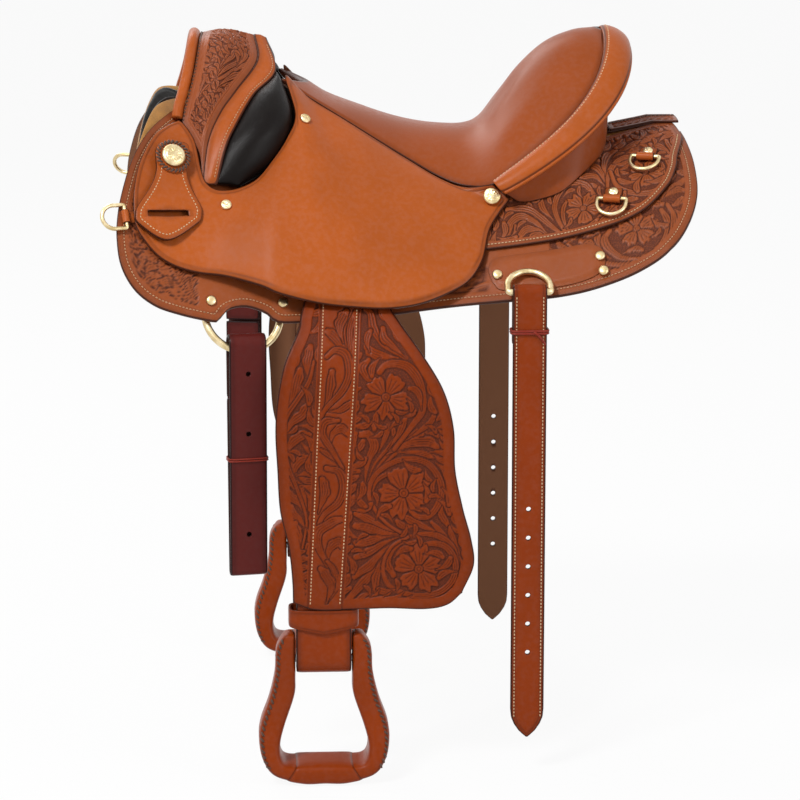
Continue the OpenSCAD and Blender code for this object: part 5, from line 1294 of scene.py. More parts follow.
# Seat, cantle and swell
def make_seat():
    """Padded seat: leather drawn over a crown, thinned to its seam, with soft folds where it turns up the cantle."""
    a, b = lattice(*SEAT_GRID)
    b = 2 * b - 1
    outer = seat_pt(a, b)
    n = facing(outer)
    lip = 1.4 * bell(1 - np.abs(b), 0.0, 0.03)
    folds = 0.8 * bell(a, 0.7, 0.1) * np.sin(b * 9) ** 2
    thin = SEAT_TH * (1 - SEAT_THIN * np.abs(b) ** SEAT_THIN_POWER)
    seat = shell("seat_visual", raised(outer, n, -(lip + folds)), raised(outer, n, -thin),
                 {"edge": edge_gap(outer) + 0.8}, 0.5)
    dress(seat, "seat", "seat_pad")


def make_cantle():
    """Cantle roll, its welt and stitching, and the cantle back under it."""
    g = np.linspace(0, 1, 57)[:-1]
    sec = np.array(ROLL_SECTION + ROLL_SECTION[:1])
    k = np.vstack([sec[-2], sec, sec[1]])
    shape = curve(k, (1 + g * (len(k) - 3)) / (len(k) - 1))
    turn = np.linspace(-ROLL_END, ROLL_END, 181)[:, None] + 0 * g

    def pressed(at, width):
        """Painted crease shade: darkening round a place of the section."""
        return bell(np.linalg.norm((shape - at) * (ROLL_W, ROLL_TH), axis=1), 0.0, width)

    # Painted crease shade along the roll's seams with the welt and with the seat, carried in the recess attribute
    dark = np.clip(pressed((0.995, 0.1), 1.5) + pressed((0.05, 0.12), 2.0), 0, 1)
    roll = sweep("cantle_roll_visual", roll_pt(turn, shape[:, 0], shape[:, 1]), False,
                 {"recess": np.broadcast_to(dark, turn.shape)})
    dress(roll, "brown", "cantle_roll", slot="seat_leather")
    b = np.linspace(-86, 86, 240)
    dress(tube("cantle_welt", roll_pt(b, 1.0, -0.16), 2.6, 10), "brown", slot="seat_leather")
    ups = unit(roll_pt(b, 0.1, 1.0) - roll_pt(b, 0.2, 0.0))
    stitched("cantle_stitching", [(roll_pt(b, 0.16, 0.26), ups)], size=CANTLE_STITCH)
    s, q = lattice(*BACK_GRID)
    turn = mix(ROLL_END, -ROLL_END, q)
    outer = mix(roll_pt(turn, *BACK_HEAD), signed(base_pt(turn), turn), s[..., None])
    g = np.radians(turn)
    inner = outer + BACK_TH * vec(-np.cos(g), np.sin(g), BACK_UP * s)
    # The cantle back takes the seat look, with its painted shade
    dress(shell("cantle_back_visual", outer, inner, {"edge": edge_gap(outer)}), "seat", "cantle_back",
          slot="brown_leather")


def swell_plate(x, y, zone):
    """Carving of the swell: a scroll with a flower low on each side, long leaves up to the top, small ones between."""
    plate = Plate((-262, -14), (262, 102)).bound(x, y, zone)
    for hand in (1, -1):
        plate.draw(SWELL_ART, hand)
        plate.bloom((hand * 177, 66), 17, 0.4)
        plate.bloom((hand * 88, 30), 8, 0.2)
    plate.fill(50, 4.4, 4.5, lambda c: np.array([-0.45 * np.sign(c[0]), -0.9]))
    plate.fill(90, 2.9, 2.7, lambda c: np.array([-0.75 * np.sign(c[0]), -0.66]))
    return plate.finish()


def make_swell(depth):
    """Carved swell cover, rolled gullet edge, and the plain bands beside the knee pads."""
    core, soft, drawn = fork_pt(FORK_CORE), 1.5, 88
    v, u = swell_grid(COVER_SPAN, *COVER_GRID)
    outer = swell_pt(v, u)
    gap = edge_gap(outer)
    along, down = (np.cumsum(np.linalg.norm(np.gradient(outer, axis=k), axis=-1), k) for k in (0, 1))
    along = along - along[along.shape[0] // 2]
    zone = within(down, 13, soft) * within(down[:, -1:] - down, 6, soft) * within(gap, 9, soft)
    down = down * drawn / down[:, -1:]
    level, recess, ground = swell_plate(along, down, zone).carve(along, down, zone)
    shaped = raised(outer, facing(outer, core), depth * level - 0.4 * bell(gap, 7))
    fields = {"edge": gap, "recess": recess, "ground": ground}
    dress(shell("swell_visual", shaped, sunk(outer, COVER_TH), fields, 0.2), "tooled", "swell_cover")
    v, u = swell_grid(BAND_SPAN, *BAND_GRID)
    outer = sunk(swell_pt(v, u), -BAND_PROUD)
    n, gap = facing(outer, core), edge_gap(outer)
    outer = raised(outer, n, 1.2 * ease(gap / 9))
    band = shell("swell_band_visual", outer, sunk(swell_pt(v, u), COVER_TH), {"edge": gap}, 0.3)
    dress(band, "brown", "swell_bands")
    row, ends = 17, (slice(4, 104), slice(-104, -4))
    stitched("band_stitching", [(outer[part, row], n[part, row]) for part in ends], "tan thread")
    u = np.linspace(LIP_END, -LIP_END, 240)
    line = swell_pt(0 * u, u) - np.array([LIP_D / 2 - LIP_TUCK, 0, 0])
    dress(tube("gullet_roll_visual", line, LIP_D / 2, 20), "brown", "gullet_roll")
    u = np.linspace(0.94, -0.94, 240)
    line = swell_pt(0 * u + 0.035, u)
    stitched("gullet_stitching", [(line, unit(line - sunk(line, 5)))], "dark thread", GULLET_STITCH)


def make_knee_pads():
    """Black knee pads: crowned lenses with a drawn-in edge."""
    lean = unit(np.array(PAD_LEAN))
    k, w = lattice(*PAD_GRID)
    u, reach = mix(PAD_START, PAD_END, k), mix(PAD_GAP, PAD_REACH, w)
    front, rear = swell_pt(0 * u + 1, -u), curve(fork_pt(PAD_REAR), (u - PAD_START) / (1 - PAD_START))
    base = mix(front, rear, reach[..., None])
    arch = np.sin(math.pi * np.clip((reach - PAD_GAP) / (1 - PAD_GAP), 0, 1))
    rise = PAD_CROWN * np.sin(math.pi * k) ** 0.6 * arch**0.7 - PAD_TUCK * ease((reach - 1) / 0.1)
    rise = rise + 0.25 * np.sin(26 * k + 6 * w) * arch**4
    outer = raised(base, lean, rise)
    for piece in leaves("knee_pad", "black", outer, base - lean * PAD_TH, 0.1, edge=edge_gap(outer) + 3):
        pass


# Jockeys, skirts and housing
def make_jockeys():
    """Seat jockeys: smooth leaves with a pressed line along their burnished edge."""
    s, t = lattice(*JOCKEY_GRID)
    outer = jockey_pt(t, mix(-JOCKEY_TUCK, 1, s))
    gap, line = edge_gap(outer), 4.5
    shaped = raised(outer, facing(outer), -(0.5 * bell(gap, line) + rounded(gap, 0.9, 2.2)))
    leaves("jockey", "brown", shaped, outer + JOCKEY_IN * JOCKEY_TH, 0.25, edge=gap, recess=0.5 * bell(gap, line, 0.9))


def skirt_plate(x, y, ahead, behind):
    """Carving of the skirt: a fan of leaves and half a flower in the front corner, a flower in a scroll behind."""
    front = Plate((-350, 200), (-230, 345)).bound(x, y, ahead)
    front.bloom((-296, 290), 24, 0.5)
    front.draw(SKIRT_FRONT_ART)
    rear = Plate((40, 60), (360, 345)).bound(x, y, behind)
    rear.draw(SKIRT_REAR_ART)
    for at in SKIRT_BLOOMS:
        rear.bloom(at[:2], at[2], 0.3)
    for plate in (front, rear):
        plate.fill(50, 4.4)
        plate.fill(50, 2.9, 3.0)
    return front.finish(), rear.finish()


def make_skirts(depth):
    """Skirts: stitched all round, carved in the front corner and behind the jockeys, with a coarse mesh between."""
    low = edge_line(SKIRT_EDGE, SKIRT_OUT) - (0, RIM_ROOM)
    x, t = on_back_grid(channel_line(40), low, *SKIRT_GRID,
                        lambda x: np.where((x < PLAIN_SKIRT[0]) | (x > PLAIN_SKIRT[1]), 1.0, 0.2))
    outer = back_pt(x, t, SKIRT_OUT)
    n, gap, far, margin = facing(outer), edge_gap(outer), arc(x, t), 14
    ahead = within(gap, margin) * within(-x, 250)
    behind = within(gap, margin) * (within(x, 168) + within(-x, -92) * within(x, 40))
    front, rear = skirt_plate(x, far, ahead, behind)
    level, recess, ground = map(sum, zip(front.carve(x, far, ahead), rear.carve(x, far, behind)))
    seam = 8.2
    shaped = raised(outer, n, depth * level - 0.5 * bell(gap, seam, 1.2) - 0.4 * bell(gap, 13))
    leaves("skirt", "tooled", shaped, back_pt(x, t, SKIRT_IN), 0.35,
           edge=gap, recess=np.maximum(recess, 0.35 * bell(gap, seam, 1.3)), ground=ground)
    line = loop_part(inset_line(outer, seam), lambda p: np.abs(p[:, 1]) > 75)
    stitched("skirt_stitching", two_sided([nearest(line, outer, n)]), "tan thread")


def make_panels():
    """Felt layer and stuffed panels under the skirts."""
    x, t = on_back_grid(channel_line(30), edge_line(FELT_EDGE, FELT_OUT), *FELT_GRID)
    outer, inner = back_pt(x, t, FELT_OUT), back_pt(x, t, FELT_IN)
    felt = pair("felt_layer", lambda name, turn: shell(name, turn(outer), turn(inner), {}, 0.3))
    dress(felt, "felt", "felt_layers")
    x, t = on_back_grid(channel_line(30), edge_line(PANEL_EDGE, PANEL_OUT), *PANEL_GRID, crowd=0.0)
    mid = PANEL_OUT / 2
    gap = edge_gap(back_pt(x, t, mid))
    full = mid * (0.45 + 0.55 * ease(gap / 16)) - 0.5 * bell(gap, 24, 2.0)
    out, under = back_pt(x, t, mid + full), back_pt(x, t, mid - full)
    panels = pair("stuffed_panels", lambda name, turn: shell(name, turn(out), turn(under), {"edge": gap + 2}, 0.5,
                                                             back_rows=26))
    dress(panels, "black", "panels")


def housing_plate(x, y, zone):
    """Carving of the rear housing: two flowers in scrolls, with leaves to the cantle and along the foot."""
    plate = Plate((80, 10), (360, 240)).bound(x, y, zone)
    plate.draw(HOUSING_ART)
    for at in HOUSING_BLOOMS:
        plate.bloom(at[:2], at[2], 0.9)
    plate.fill(70, 4.4)
    plate.fill(60, 2.9, 3.0)
    return plate.finish()


def make_housing(depth):
    """Rear housing, carved and stitched along its foot."""
    s = np.array(HOUSING_EDGE)
    hx = HOUSING_FRONT + s[:, 0] * HOUSING_LEN
    low = vec(hx, across(hx, s[:, 1] * HOUSING_DROP, HOUSING_OUT))
    k = np.linspace(0, 1, 30)
    top = vec(HOUSING_FRONT + HOUSING_TOP_END * k * HOUSING_LEN, mix(HOUSING_TOP[0], HOUSING_TOP[1], k))
    x, t = on_back_grid(top, low, *HOUSING_GRID)
    lift = housing_lift(x, t)
    outer = back_pt(x, t, HOUSING_OUT + lift)
    n, gap, far, seam = facing(outer), edge_gap(outer), arc(x, t), 5.2
    zone = within(gap, 9)
    level, recess, ground = housing_plate(x, far, zone).carve(x, far, zone)
    shaped = raised(outer, n, depth * level - 0.4 * bell(gap, seam, 1.1))
    leaves("housing", "tooled", shaped, back_pt(x, t, HOUSING_IN + lift), 0.3,
           edge=gap, recess=np.maximum(recess, 0.3 * bell(gap, seam, 1.2)), ground=ground)
    foot = even(back_pt(*curve(low, np.linspace(0, 1, 300)).T, HOUSING_OUT), 300)
    foot = nearest(foot, outer, n)[0]
    way = unit(np.cross(np.gradient(foot, axis=0), nearest(foot, outer, n)[1]))
    way = way * np.sign(np.sum(way * (outer[54, 145] - foot), -1, keepdims=True))
    stitched("housing_stitching", two_sided([nearest(foot + seam * way, outer, n)]))


def make_ridge_strip(depth):
    """Strip along the housing's ridge: a row of leaves to each side of a laced seam."""
    q, w = lattice(*STRIP_GRID)
    x, t, o = mix(STRIP_X[0], STRIP_X[1], w), STRIP_HALF * (2 * q - 1), HOUSING_OUT + LAYER_GAP
    outer = back_pt(x, t, o + STRIP_TH)
    gap = edge_gap(outer)
    plate = Plate((255, -30), (347, 30))
    for _ in SIDES:
        plate.draw([("l", 4.2, (at, 22), (at + 6, 15), (at + 16, 9)) for at in range(258, 340, 9)])
        plate.level = plate.level[::-1].copy()
    level, recess, ground = plate.finish().carve(x, t, within(gap, 4, 1.0) * within(np.abs(t), 3, 1.0))
    strip = shell("ridge_strip_visual", raised(outer, facing(outer), depth * level), back_pt(x, t, o),
                  {"edge": gap, "recess": recess, "ground": ground}, 0.3)
    dress(strip, "tooled", "ridge_strip", slot="brown_leather")
    line = back_pt(np.linspace(STRIP_X[0] + 3, STRIP_X[1] - 3, 60), np.zeros(60), o + STRIP_TH + 0.3)
    stitched("ridge_lacing", [(line, np.tile([0.0, 0, 1], (60, 1)))], "dark thread", RIDGE_LACE, 1.2)


# Brass
STUD_SHAPE = [(0.9, 0), (1, 0.12), (1, 0.34), (0.93, 0.58), (0.8, 0.78), (0.6, 0.92), (0.3, 0.99), (0.02, 1)]


def head(name, place, d, h, petals=0, slot=False):
    """A brass head: a dome, with engraved petals and a beaded rim, or a screw slot."""
    def relief(r, g):
        """Petals and beads as cosines round the axis, and a slot across it."""
        share, cut = r / (d / 2), 0 * r
        if petals:
            cut = -0.1 * h * (0.5 + 0.5 * np.cos(petals * g)) * bell(share, 0.45, 0.2)
            cut = cut - 0.1 * h * bell(share, 0.72, 0.045)
            cut = cut + 0.07 * h * np.cos(petals * 3 * g) * bell(share, 0.85, 0.07)
        if slot:
            cut = cut - 0.18 * h * np.exp(-((r * np.sin(g + 0.6) / (0.1 * d)) ** 4)) * ease((0.62 - share) / 0.1)
        return cut

    return turned(name, even(np.array(STUD_SHAPE) * (d / 2, h), 22), place, 72 if petals else 40, relief)


def mirrored(name, make, places):
    """The same small piece at each place and at its mirror, as one object."""
    objs = []
    for k, (turn, at) in enumerate(places):
        objs.append(make("%s_%d" % (name, k), (turn, at)))
        objs.append(make("%s_%d_off" % (name, k), (turn * np.array([[1.0], [-1.0], [1.0]]), flip(at))))
    return joined(name, objs)


def shifted(place, offset):
    """A frame moved by a local offset."""
    turn, at = place
    return turn, at + turn @ np.array(offset, float)


def rig_x(s):
    """Place along the rear rigging, from its dee."""
    return jockey_x(1.0) + RIG_BEHIND + np.asarray(s) * SKIRT_LEN


def make_hardware():
    """Screws, conchos, rivets and studs in brass."""
    screws = [jockey_frame(*at, SEAT_CLEAR) for at in SCREWS_AT]
    conchos = [jockey_frame(*CANTLE_CONCHO_AT, CONCHO_STAND)]
    rivets = [back_frame(rig_x(a), b * SKIRT_DROP, PLATE_OUT + SEAT_CLEAR) for a, b in PLATE_RIVETS]
    rivets += [back_frame(skirt_x(a), b * SKIRT_DROP, SKIRT_OUT + SEAT_CLEAR) for a, b in SKIRT_RIVETS]
    studs = [shifted(place, (0, TAB_LEN * 0.6, SEAT_CLEAR - LOOP_R)) for place in dee_places()]
    for name, node, places, share, petals, slot in (
            ("screw_heads", "jockey_screws", screws, 1.08, 8, True),
            ("cantle_concho_heads", "cantle_conchos", conchos, 1.65, 10, False),
            ("rivet_heads", "rigging_rivets", rivets, 1.0, 0, False),
            ("dee_stud_heads", "dee_studs", studs, 1.0, 8, False)):
        piece = mirrored(name, lambda n, f: head(n, f, STUD_D * share, STUD_H, petals, slot), places)
        dress(piece, "brass", node)


def dee_places():
    """Frames of the two near-side saddle dees."""
    stand = HOUSING_OUT + LOOP_R + TAB_TH + SEAT_CLEAR + LAYER_GAP
    return [back_frame(*at, stand) for at in DEES_AT]


def front_dee_place():
    """Frame of the near-side front dee, its bar turned down the slope."""
    turn, at = back_frame(*FRONT_DEE_AT, SKIRT_OUT + SEAT_CLEAR + CHAPE_TH + LOOP_R)
    return np.stack([-turn[:, 1], turn[:, 0], turn[:, 2]], 1), at


def rig_place():
    """Frame of the rear rigging dee's bar."""
    turn, at = back_frame(rig_x(0), -RIG_DROP, PLATE_OUT + RIG_LIFT)
    n = turn[:, 2]
    return frame_on(at, unit(np.array([0, n[1], n[2]])))


def ring_place():
    """Frame of the near-side front ring."""
    return back_frame(skirt_x(RING_AT[0]), RING_AT[1] * SKIRT_DROP, SKIRT_IN - RING_INSET - RING_WIRE / 2)


def dee_line(w, h, wire):
    """Middle line of a dee: a bar along X, two legs and a half circle below, with small rounded corners."""
    bow = (w - wire) / 2
    leg, r = h - wire - bow, wire * 0.45
    g, c = np.linspace(0, math.pi, 40), np.linspace(0, math.pi / 2, 8)
    flat = even(np.vstack([
        vec(bow - r + r * np.sin(c), r * np.cos(c) - r), vec(bow * np.cos(g), -leg - bow * np.sin(g)),
        vec(-bow + r - r * np.cos(c), r * np.sin(c) - r)]), 150, closed=True)
    return vec(flat[:, 0], flat[:, 1], 0.0)


def make_rings():
    """Rigging rings and all dees in brass."""
    def wire(name, line, d, sides, turn):
        """A closed round wire along a line."""
        return tube(name, turn(line), d / 2, sides, True)

    g, bow = angles(120), (RING_D - RING_WIRE) / 2
    line = placed(vec(bow * np.cos(g), bow * np.sin(g), 0.0), ring_place())
    dress(pair("rigging_rings", lambda name, turn: wire(name, line, RING_WIRE, 16, turn)), "brass", "front_rings")
    tilt, p = math.radians(RIG_TILT), dee_line(RIG_W, RIG_H, RIG_WIRE)
    rig = placed(vec(-p[:, 0], -p[:, 1] * math.cos(tilt), p[:, 1] * math.sin(tilt)), rig_place())
    dress(pair("rigging_dees", lambda name, turn: wire(name, rig, RIG_WIRE, 16, turn)), "brass", "rear_rigging_dees")
    lower, upper = dee_places()
    for node, place, w, h in (("saddle_dee_lower", lower, DEE_W, DEE_H), ("saddle_dee_upper", upper, DEE_W, DEE_H),
                              ("front_dee", front_dee_place(), FRONT_DEE, FRONT_DEE)):
        dee = placed(dee_line(w, h, DEE_WIRE), place)
        both(node, "brass", lambda name, turn: wire(name, dee, DEE_WIRE, 14, turn), node)


# Straps and rigging leather
def strap(name, path, side, wide, th, cols=24, hand=1.0, crease=3.2, flesh=1.0):
    """A closed strap along a path, as wide as said over its rolled edges, with a pressed line along them."""
    n = unit(np.cross(np.gradient(path, axis=0), side)) * hand
    flat = np.maximum(np.broadcast_to(wide, (len(path),)) - 2 * STRAP_PUFF * th, 1.0)
    w = np.linspace(-0.5, 0.5, cols)[None, :, None] * flat[:, None, None] * side
    outer, inner = path[:, None] + n[:, None] * th / 2 + w, path[:, None] - n[:, None] * th / 2 + w
    gap = edge_gap(outer, 2)
    line = bell(gap, crease, 0.8)
    return shell(name, raised(outer, n[:, None], -(0.3 * line + rounded(gap, 0.5, 1.6))), inner,
                 {"edge": gap, "recess": 0.4 * line}, STRAP_PUFF, back_rows=max(9, len(path) // 3), flesh=flesh)


def make_tabs():
    """Leather tabs and chapes folded round the small dees' bars."""
    for name, node, places, w, th in (
            ("dee_tab_leather", "dee_tabs", dee_places(), TAB_W, TAB_TH),
            ("front_chape_leather", "front_dee_chapes", [front_dee_place()], CHAPE_W, CHAPE_TH)):
        r = LOOP_R + th / 2
        g = np.linspace(-0.5 * math.pi, 1.45 * math.pi, 40)[1:]
        tail = vec(0.0, np.linspace(TAB_LEN, 0.8, 14), -r)
        path = even(np.vstack([tail, vec(0.0, -r * np.cos(g), r * np.sin(g))]), 60)

        def tab(part, place):
            """One folded tab, its grain side outwards."""
            hand = 1.0 if place[1][1] < 0 else -1.0
            return strap(part, placed(path, place), place[0][:, 0], w, th, 12, hand, 2.0, 0.0)

        dress(mirrored(name, tab, places), "brown", node)


def make_rigging():
    """Rear rigging plates and the leather behind the front rings."""
    top, low = edge_line(PLATE_TOP, PLATE_OUT, rig_x), edge_line(PLATE_LOW, PLATE_OUT, rig_x)
    x, t = on_back_grid(top, low, *PLATE_GRID, crowd=0.0)
    outer, inner = back_pt(x, t, PLATE_OUT), back_pt(x, t, PLATE_IN)
    gap = edge_gap(outer)
    shaped = raised(outer, facing(outer), -rounded(gap, 2.2, 9))
    plates = pair("rigging_plate_leather",
                  lambda name, turn: shell(name, turn(shaped), turn(inner), {"edge": gap + 4}, 0.3))
    dress(plates, "tooled", "rear_rigging_plates", slot="brown_leather")
    q, w = lattice(*BACKING_GRID)
    low = mix(0.3, 0.2, np.clip(np.abs(w - 0.5) * 4 - 1, 0, 1))
    local, z = vec(RING_D * 1.24 * (w - 0.5), RING_D * mix(low, 0.48, q), 0.0), -RING_WIRE / 2 - 0.6
    front, rear = (placed(local + [0, 0, z - step], ring_place()) for step in (0.0, BACKING_TH))
    backs = pair("ring_backing_leather",
                 lambda name, turn: shell(name, turn(front), turn(rear), {"edge": edge_gap(front)}, 0.25))
    dress(backs, "brown", "ring_backings")


# Latigo keepers
def keeper_place():
    """Frame of the near-side latigo keeper, at its middle height, turned on the jockey."""
    turn, at = jockey_frame(*KEEPER_AT, KEEPER_STAND)
    c, s = math.cos(math.radians(KEEPER_TURN)), math.sin(math.radians(KEEPER_TURN))
    return turn @ np.array([[c, -s, 0], [s, c, 0], [0, 0, 1.0]]), at


def keeper_pt(shares):
    """Place on the keeper from shares of its width and height, leaning rearwards as it rises."""
    s = np.asarray(shares, float)
    high = (s[..., 1] - 0.5) * KEEPER_H
    return vec(s[..., 0] * KEEPER_W + KEEPER_LEAN * high, high)


def make_keepers():
    """Latigo keepers: slotted plates with stitching, a rosette with a laced rim, and a concho."""
    edge, place, seam = keeper_pt(KEEPER_EDGE), keeper_place(), 6.0
    mid = keeper_pt((0, SLOT_UP)) + np.array([0, SLOT_H / 2])
    closed = np.vstack([edge[-1], edge, edge[:2]])
    fine = curve(closed, np.linspace(1 / (len(closed) - 1), (len(edge) + 1) / (len(closed) - 1), 1200))
    out = even(fine[:-1], 180, closed=True)
    a = np.arctan2(out[:, 1] - mid[1], out[:, 0] - mid[0])
    c, s = np.cos(a), np.sin(a)
    reach = np.minimum(SLOT_W / 2 / np.maximum(np.abs(c), 1e-3), SLOT_H / 2 / np.maximum(np.abs(s), 1e-3))
    hole = mid + vec(c, s) * reach[:, None]
    share = np.concatenate([[0, 0.01], np.linspace(0.03, 0.97, 20), [0.99, 1]])
    flat = mix(hole[None], out[None], share[:, None, None])
    gap = np.minimum(np.linalg.norm(flat - flat[-1:], axis=-1), np.linalg.norm(flat - flat[:1], axis=-1))
    z = KEEPER_TH - rounded(gap, 0.9, 2.2) - 0.4 * bell(gap, seam, 1.0)
    top, low = vec(flat[..., 0], flat[..., 1], z), vec(flat[..., 0], flat[..., 1], 0.0)
    fields = {"edge": np.concatenate([gap, np.full(gap.shape, -1.0)])}

    def plate(name, at):
        """Upper and lower face, joined round the outline and the slot."""
        return sweep(name, np.concatenate([placed(top, at), placed(low[::-1], at)]), True, fields)

    dress(mirrored("keeper_visual", plate, [place]), "brown", "latigo_keepers")
    t = np.roll(out, -1, 0) - np.roll(out, 1, 0)
    inward = unit(vec(-t[:, 1], t[:, 0]))
    run = out + seam * inward * np.sign(np.sum(inward * (mid - out), -1).mean())
    run = run[run[:, 1] < KEEPER_H * 0.24]
    run = np.roll(run, -int(np.argmax(np.linalg.norm(run - np.roll(run, 1, 0), axis=1))), 0)
    line = placed(vec(run[:, 0], run[:, 1], KEEPER_TH - 0.2), place)
    stitched("keeper_stitching", two_sided([(line, np.tile(place[0][:, 2], (len(line), 1)))]))
    centre = shifted(place, (*keeper_pt((0, 0.86)), KEEPER_TH + SEAT_CLEAR))
    profile = even(np.array([(0.95, 0), (1, 0.3), (0.97, 0.8), (0.86, 1.0), (0.7, 0.7), (0.3, 0.7), (0.02, 0.7)])
                   * (ROSETTE_D / 2, ROSETTE_TH), 26)
    rosettes = mirrored("keeper_rosette_visual", lambda name, at: turned(name, profile, at, 96), [centre])
    dress(rosettes, "brown", "keeper_rosettes")
    g, r = np.linspace(0, 2 * math.pi, 200), 0.87 * ROSETTE_D / 2
    ring = placed(vec(r * np.cos(g), r * np.sin(g), ROSETTE_TH), centre)
    stitched("rosette_lacing", two_sided([(ring, np.tile(centre[0][:, 2], (200, 1)))]), "dark thread",
             ROSETTE_LACE, 1.1)
    crown = shifted(centre, (0, 0, ROSETTE_TH + SEAT_CLEAR))
    conchos = mirrored("keeper_concho_heads", lambda name, at: head(name, at, CONCHO_D, CONCHO_H, 12), [crown])
    dress(conchos, "brass", "keeper_conchos")


# Fenders, stirrup leathers and stirrups
def fender_xz(v, w):
    """Fender outline in side view: straight ribs between its edges, bent to its foot."""
    def edge(shares):
        """Places of an outline from shares of the width and drop."""
        s = np.array(shares)
        return vec(s[:, 0] * FENDER_W - FENDER_MID, -FENDER_TOP - s[:, 1] * (FENDER_DROP - FENDER_TOP))

    foot = edge(FENDER_FOOT)
    chord = mix(foot[0], foot[-1], w[..., None])
    return (mix(curve(edge(FENDER_FRONT), v), curve(edge(FENDER_REAR), v), w[..., None])
            + (curve(foot, w) - chord) * ease((v - 0.7) / 0.3)[..., None])


def strip_edges(z):
    """Front and rear stitch line of the fender's middle strip at a height."""
    k, front, rear = np.array(FENDER_STRIP).T
    return np.interp(z, k, front), np.interp(z, k, rear)


def fender_plate(x, z, zone):
    """Carving of the fender: leaves on a stem ahead of the strip, three flowers in scrolls behind it, a vine in it."""
    plate = Plate((-175, -492), (85, -100)).bound(x, z, zone)
    plate.draw(FENDER_FRONT_ART + FENDER_REAR_ART)
    for k, at in enumerate(FENDER_BLOOMS):
        plate.bloom(at[:2], at[2], 0.35 + 0.9 * k)
    plate.fill(70, 4.4)
    plate.fill(45, 3.0, 3.2)
    strip = Plate((-135, -492), (-50, -60), 0.0)
    strip.draw(FENDER_STRIP_ART)
    return plate.finish(), strip.finish()


def make_fenders(depth):
    """Fenders: carved leaf with a plain border and a stitched strip down its middle."""
    v, w = lattice(*FENDER_GRID)
    p = fender_xz(v, mix(RIM_ROOM / FENDER_W, 1 - RIM_ROOM / FENDER_W, w))
    x, z = p[..., 0], p[..., 1]
    outer = vec(x, -hang_y(z, FENDER_OUT), z)
    gap = edge_gap(outer)
    front, rear = strip_edges(z)
    away, inside = np.minimum(np.abs(x - front), np.abs(x - rear)), (x > front) & (x < rear)
    zone = within(gap, 12) * ease(away - 2.2) * ~inside
    plate, strip = fender_plate(x, z, zone)
    vine = strip.carve(x, z, within(away, 5, 1.0) * inside * within(gap, 6, 1.0))
    level, recess, ground = map(sum, zip(plate.carve(x, z, zone), vine))
    seam = bell(away, 0.3, 0.8)
    shaped = raised(outer, facing(outer),
                    depth * level - 0.5 * seam - rounded(gap, 0.8, 1.8) + 0.7 * inside * ease(away))
    leaves("fender", "fender", shaped, vec(x, -hang_y(z, FENDER_IN), z), 0.3, "fender",
           edge=gap, recess=np.maximum(recess, 0.6 * seam), ground=ground)
    z = np.linspace(-78, -474, 300)
    ups = unit(vec(0.0, -np.gradient(z), np.gradient(-hang_y(z, FENDER_OUT))))
    ups = ups * np.where(ups[:, 1:2] < 0, 1, -1)
    lines = [(vec(x + step, -hang_y(z, FENDER_OUT + 0.75), z), ups) for x, step in zip(strip_edges(z), (2.6, -2.6))]
    for side, turn in SIDES:
        stitched("fender_stitching_" + side, [(turn(p), turn(u)) for p, u in lines], body="fender_" + side)


def bolt_at():
    """Middle of the near-side stirrup bolt."""
    return np.array([-STIRRUP_X, -(float(hang_y(np.array(-BOLT_DROP), 0.0)) - ROLLER_R - HANG_CLEAR), -BOLT_DROP])


def make_leathers():
    """Stirrup leathers: down from their hangers, round their rollers and up behind."""
    c, r = bolt_at(), ROLLER_R + HANG_CLEAR + LEATHER_TH / 2
    z = np.linspace(-LEATHER_TOP, -BOLT_DROP, 120)
    down = np.clip((z + LEATHER_TOP) / (LEATHER_TOP - HOBBLE_DROP + 2), 0, 1)
    run = vec(mix(-HANG_X, -STIRRUP_X, down), -hang_y(z, LEATHER_TH / 2), z)
    g = np.linspace(0, math.pi, 40)
    fold = c + vec(0.0, -r * np.cos(g), -r * np.sin(g))
    tail = vec(c[0], c[1] + r, np.linspace(c[2], c[2] + LEATHER_TAIL, 14))
    path = even(np.vstack([run[:-1], fold, tail[1:]]), 170)
    both("stirrup_leather", "strap", lambda name, turn: strap(
        name, turn(path), ALONG, LEATHER_W, LEATHER_TH, 26, hand_of(turn)), "fender")


def make_hobbles():
    """Hobble straps round the stirrup leathers: a rounded section carried round a rounded rectangle."""
    g, k, p = angles(160), angles(40), 2 / 5.0
    hx, hy = HOBBLE_W / 2 - HOBBLE_TH / 2, HOBBLE_IN + HOBBLE_TH / 2
    ring = even(vec(hx * power(np.cos(g), p), hy * power(np.sin(g), p)), 160, closed=True)
    t = np.roll(ring, -1, 0) - np.roll(ring, 1, 0)
    out = unit(vec(t[:, 1], -t[:, 0]))
    low = -HOBBLE_H * (1 - 0.3 * np.abs(ring[:, 0]) / (HOBBLE_W / 2))
    shape = ring[:, None] + out[:, None] * (HOBBLE_TH / 2 * power(np.cos(k), 0.5))[None, :, None]
    high = mix(low[:, None], 0.0, (power(np.sin(k), 0.25) + 1) / 2)
    rings = vec(shape[..., 0], shape[..., 1], high) + np.array([*bolt_at()[:2], -HOBBLE_DROP])
    gap = np.minimum(-high, high - low[:, None])
    fields = {"edge": gap + 0.4, "recess": 0.5 * bell(gap, 3.4, 0.8)}
    both("hobble_strap", "strap", lambda name, turn: sweep(name, turn(rings), True, fields), "fender")


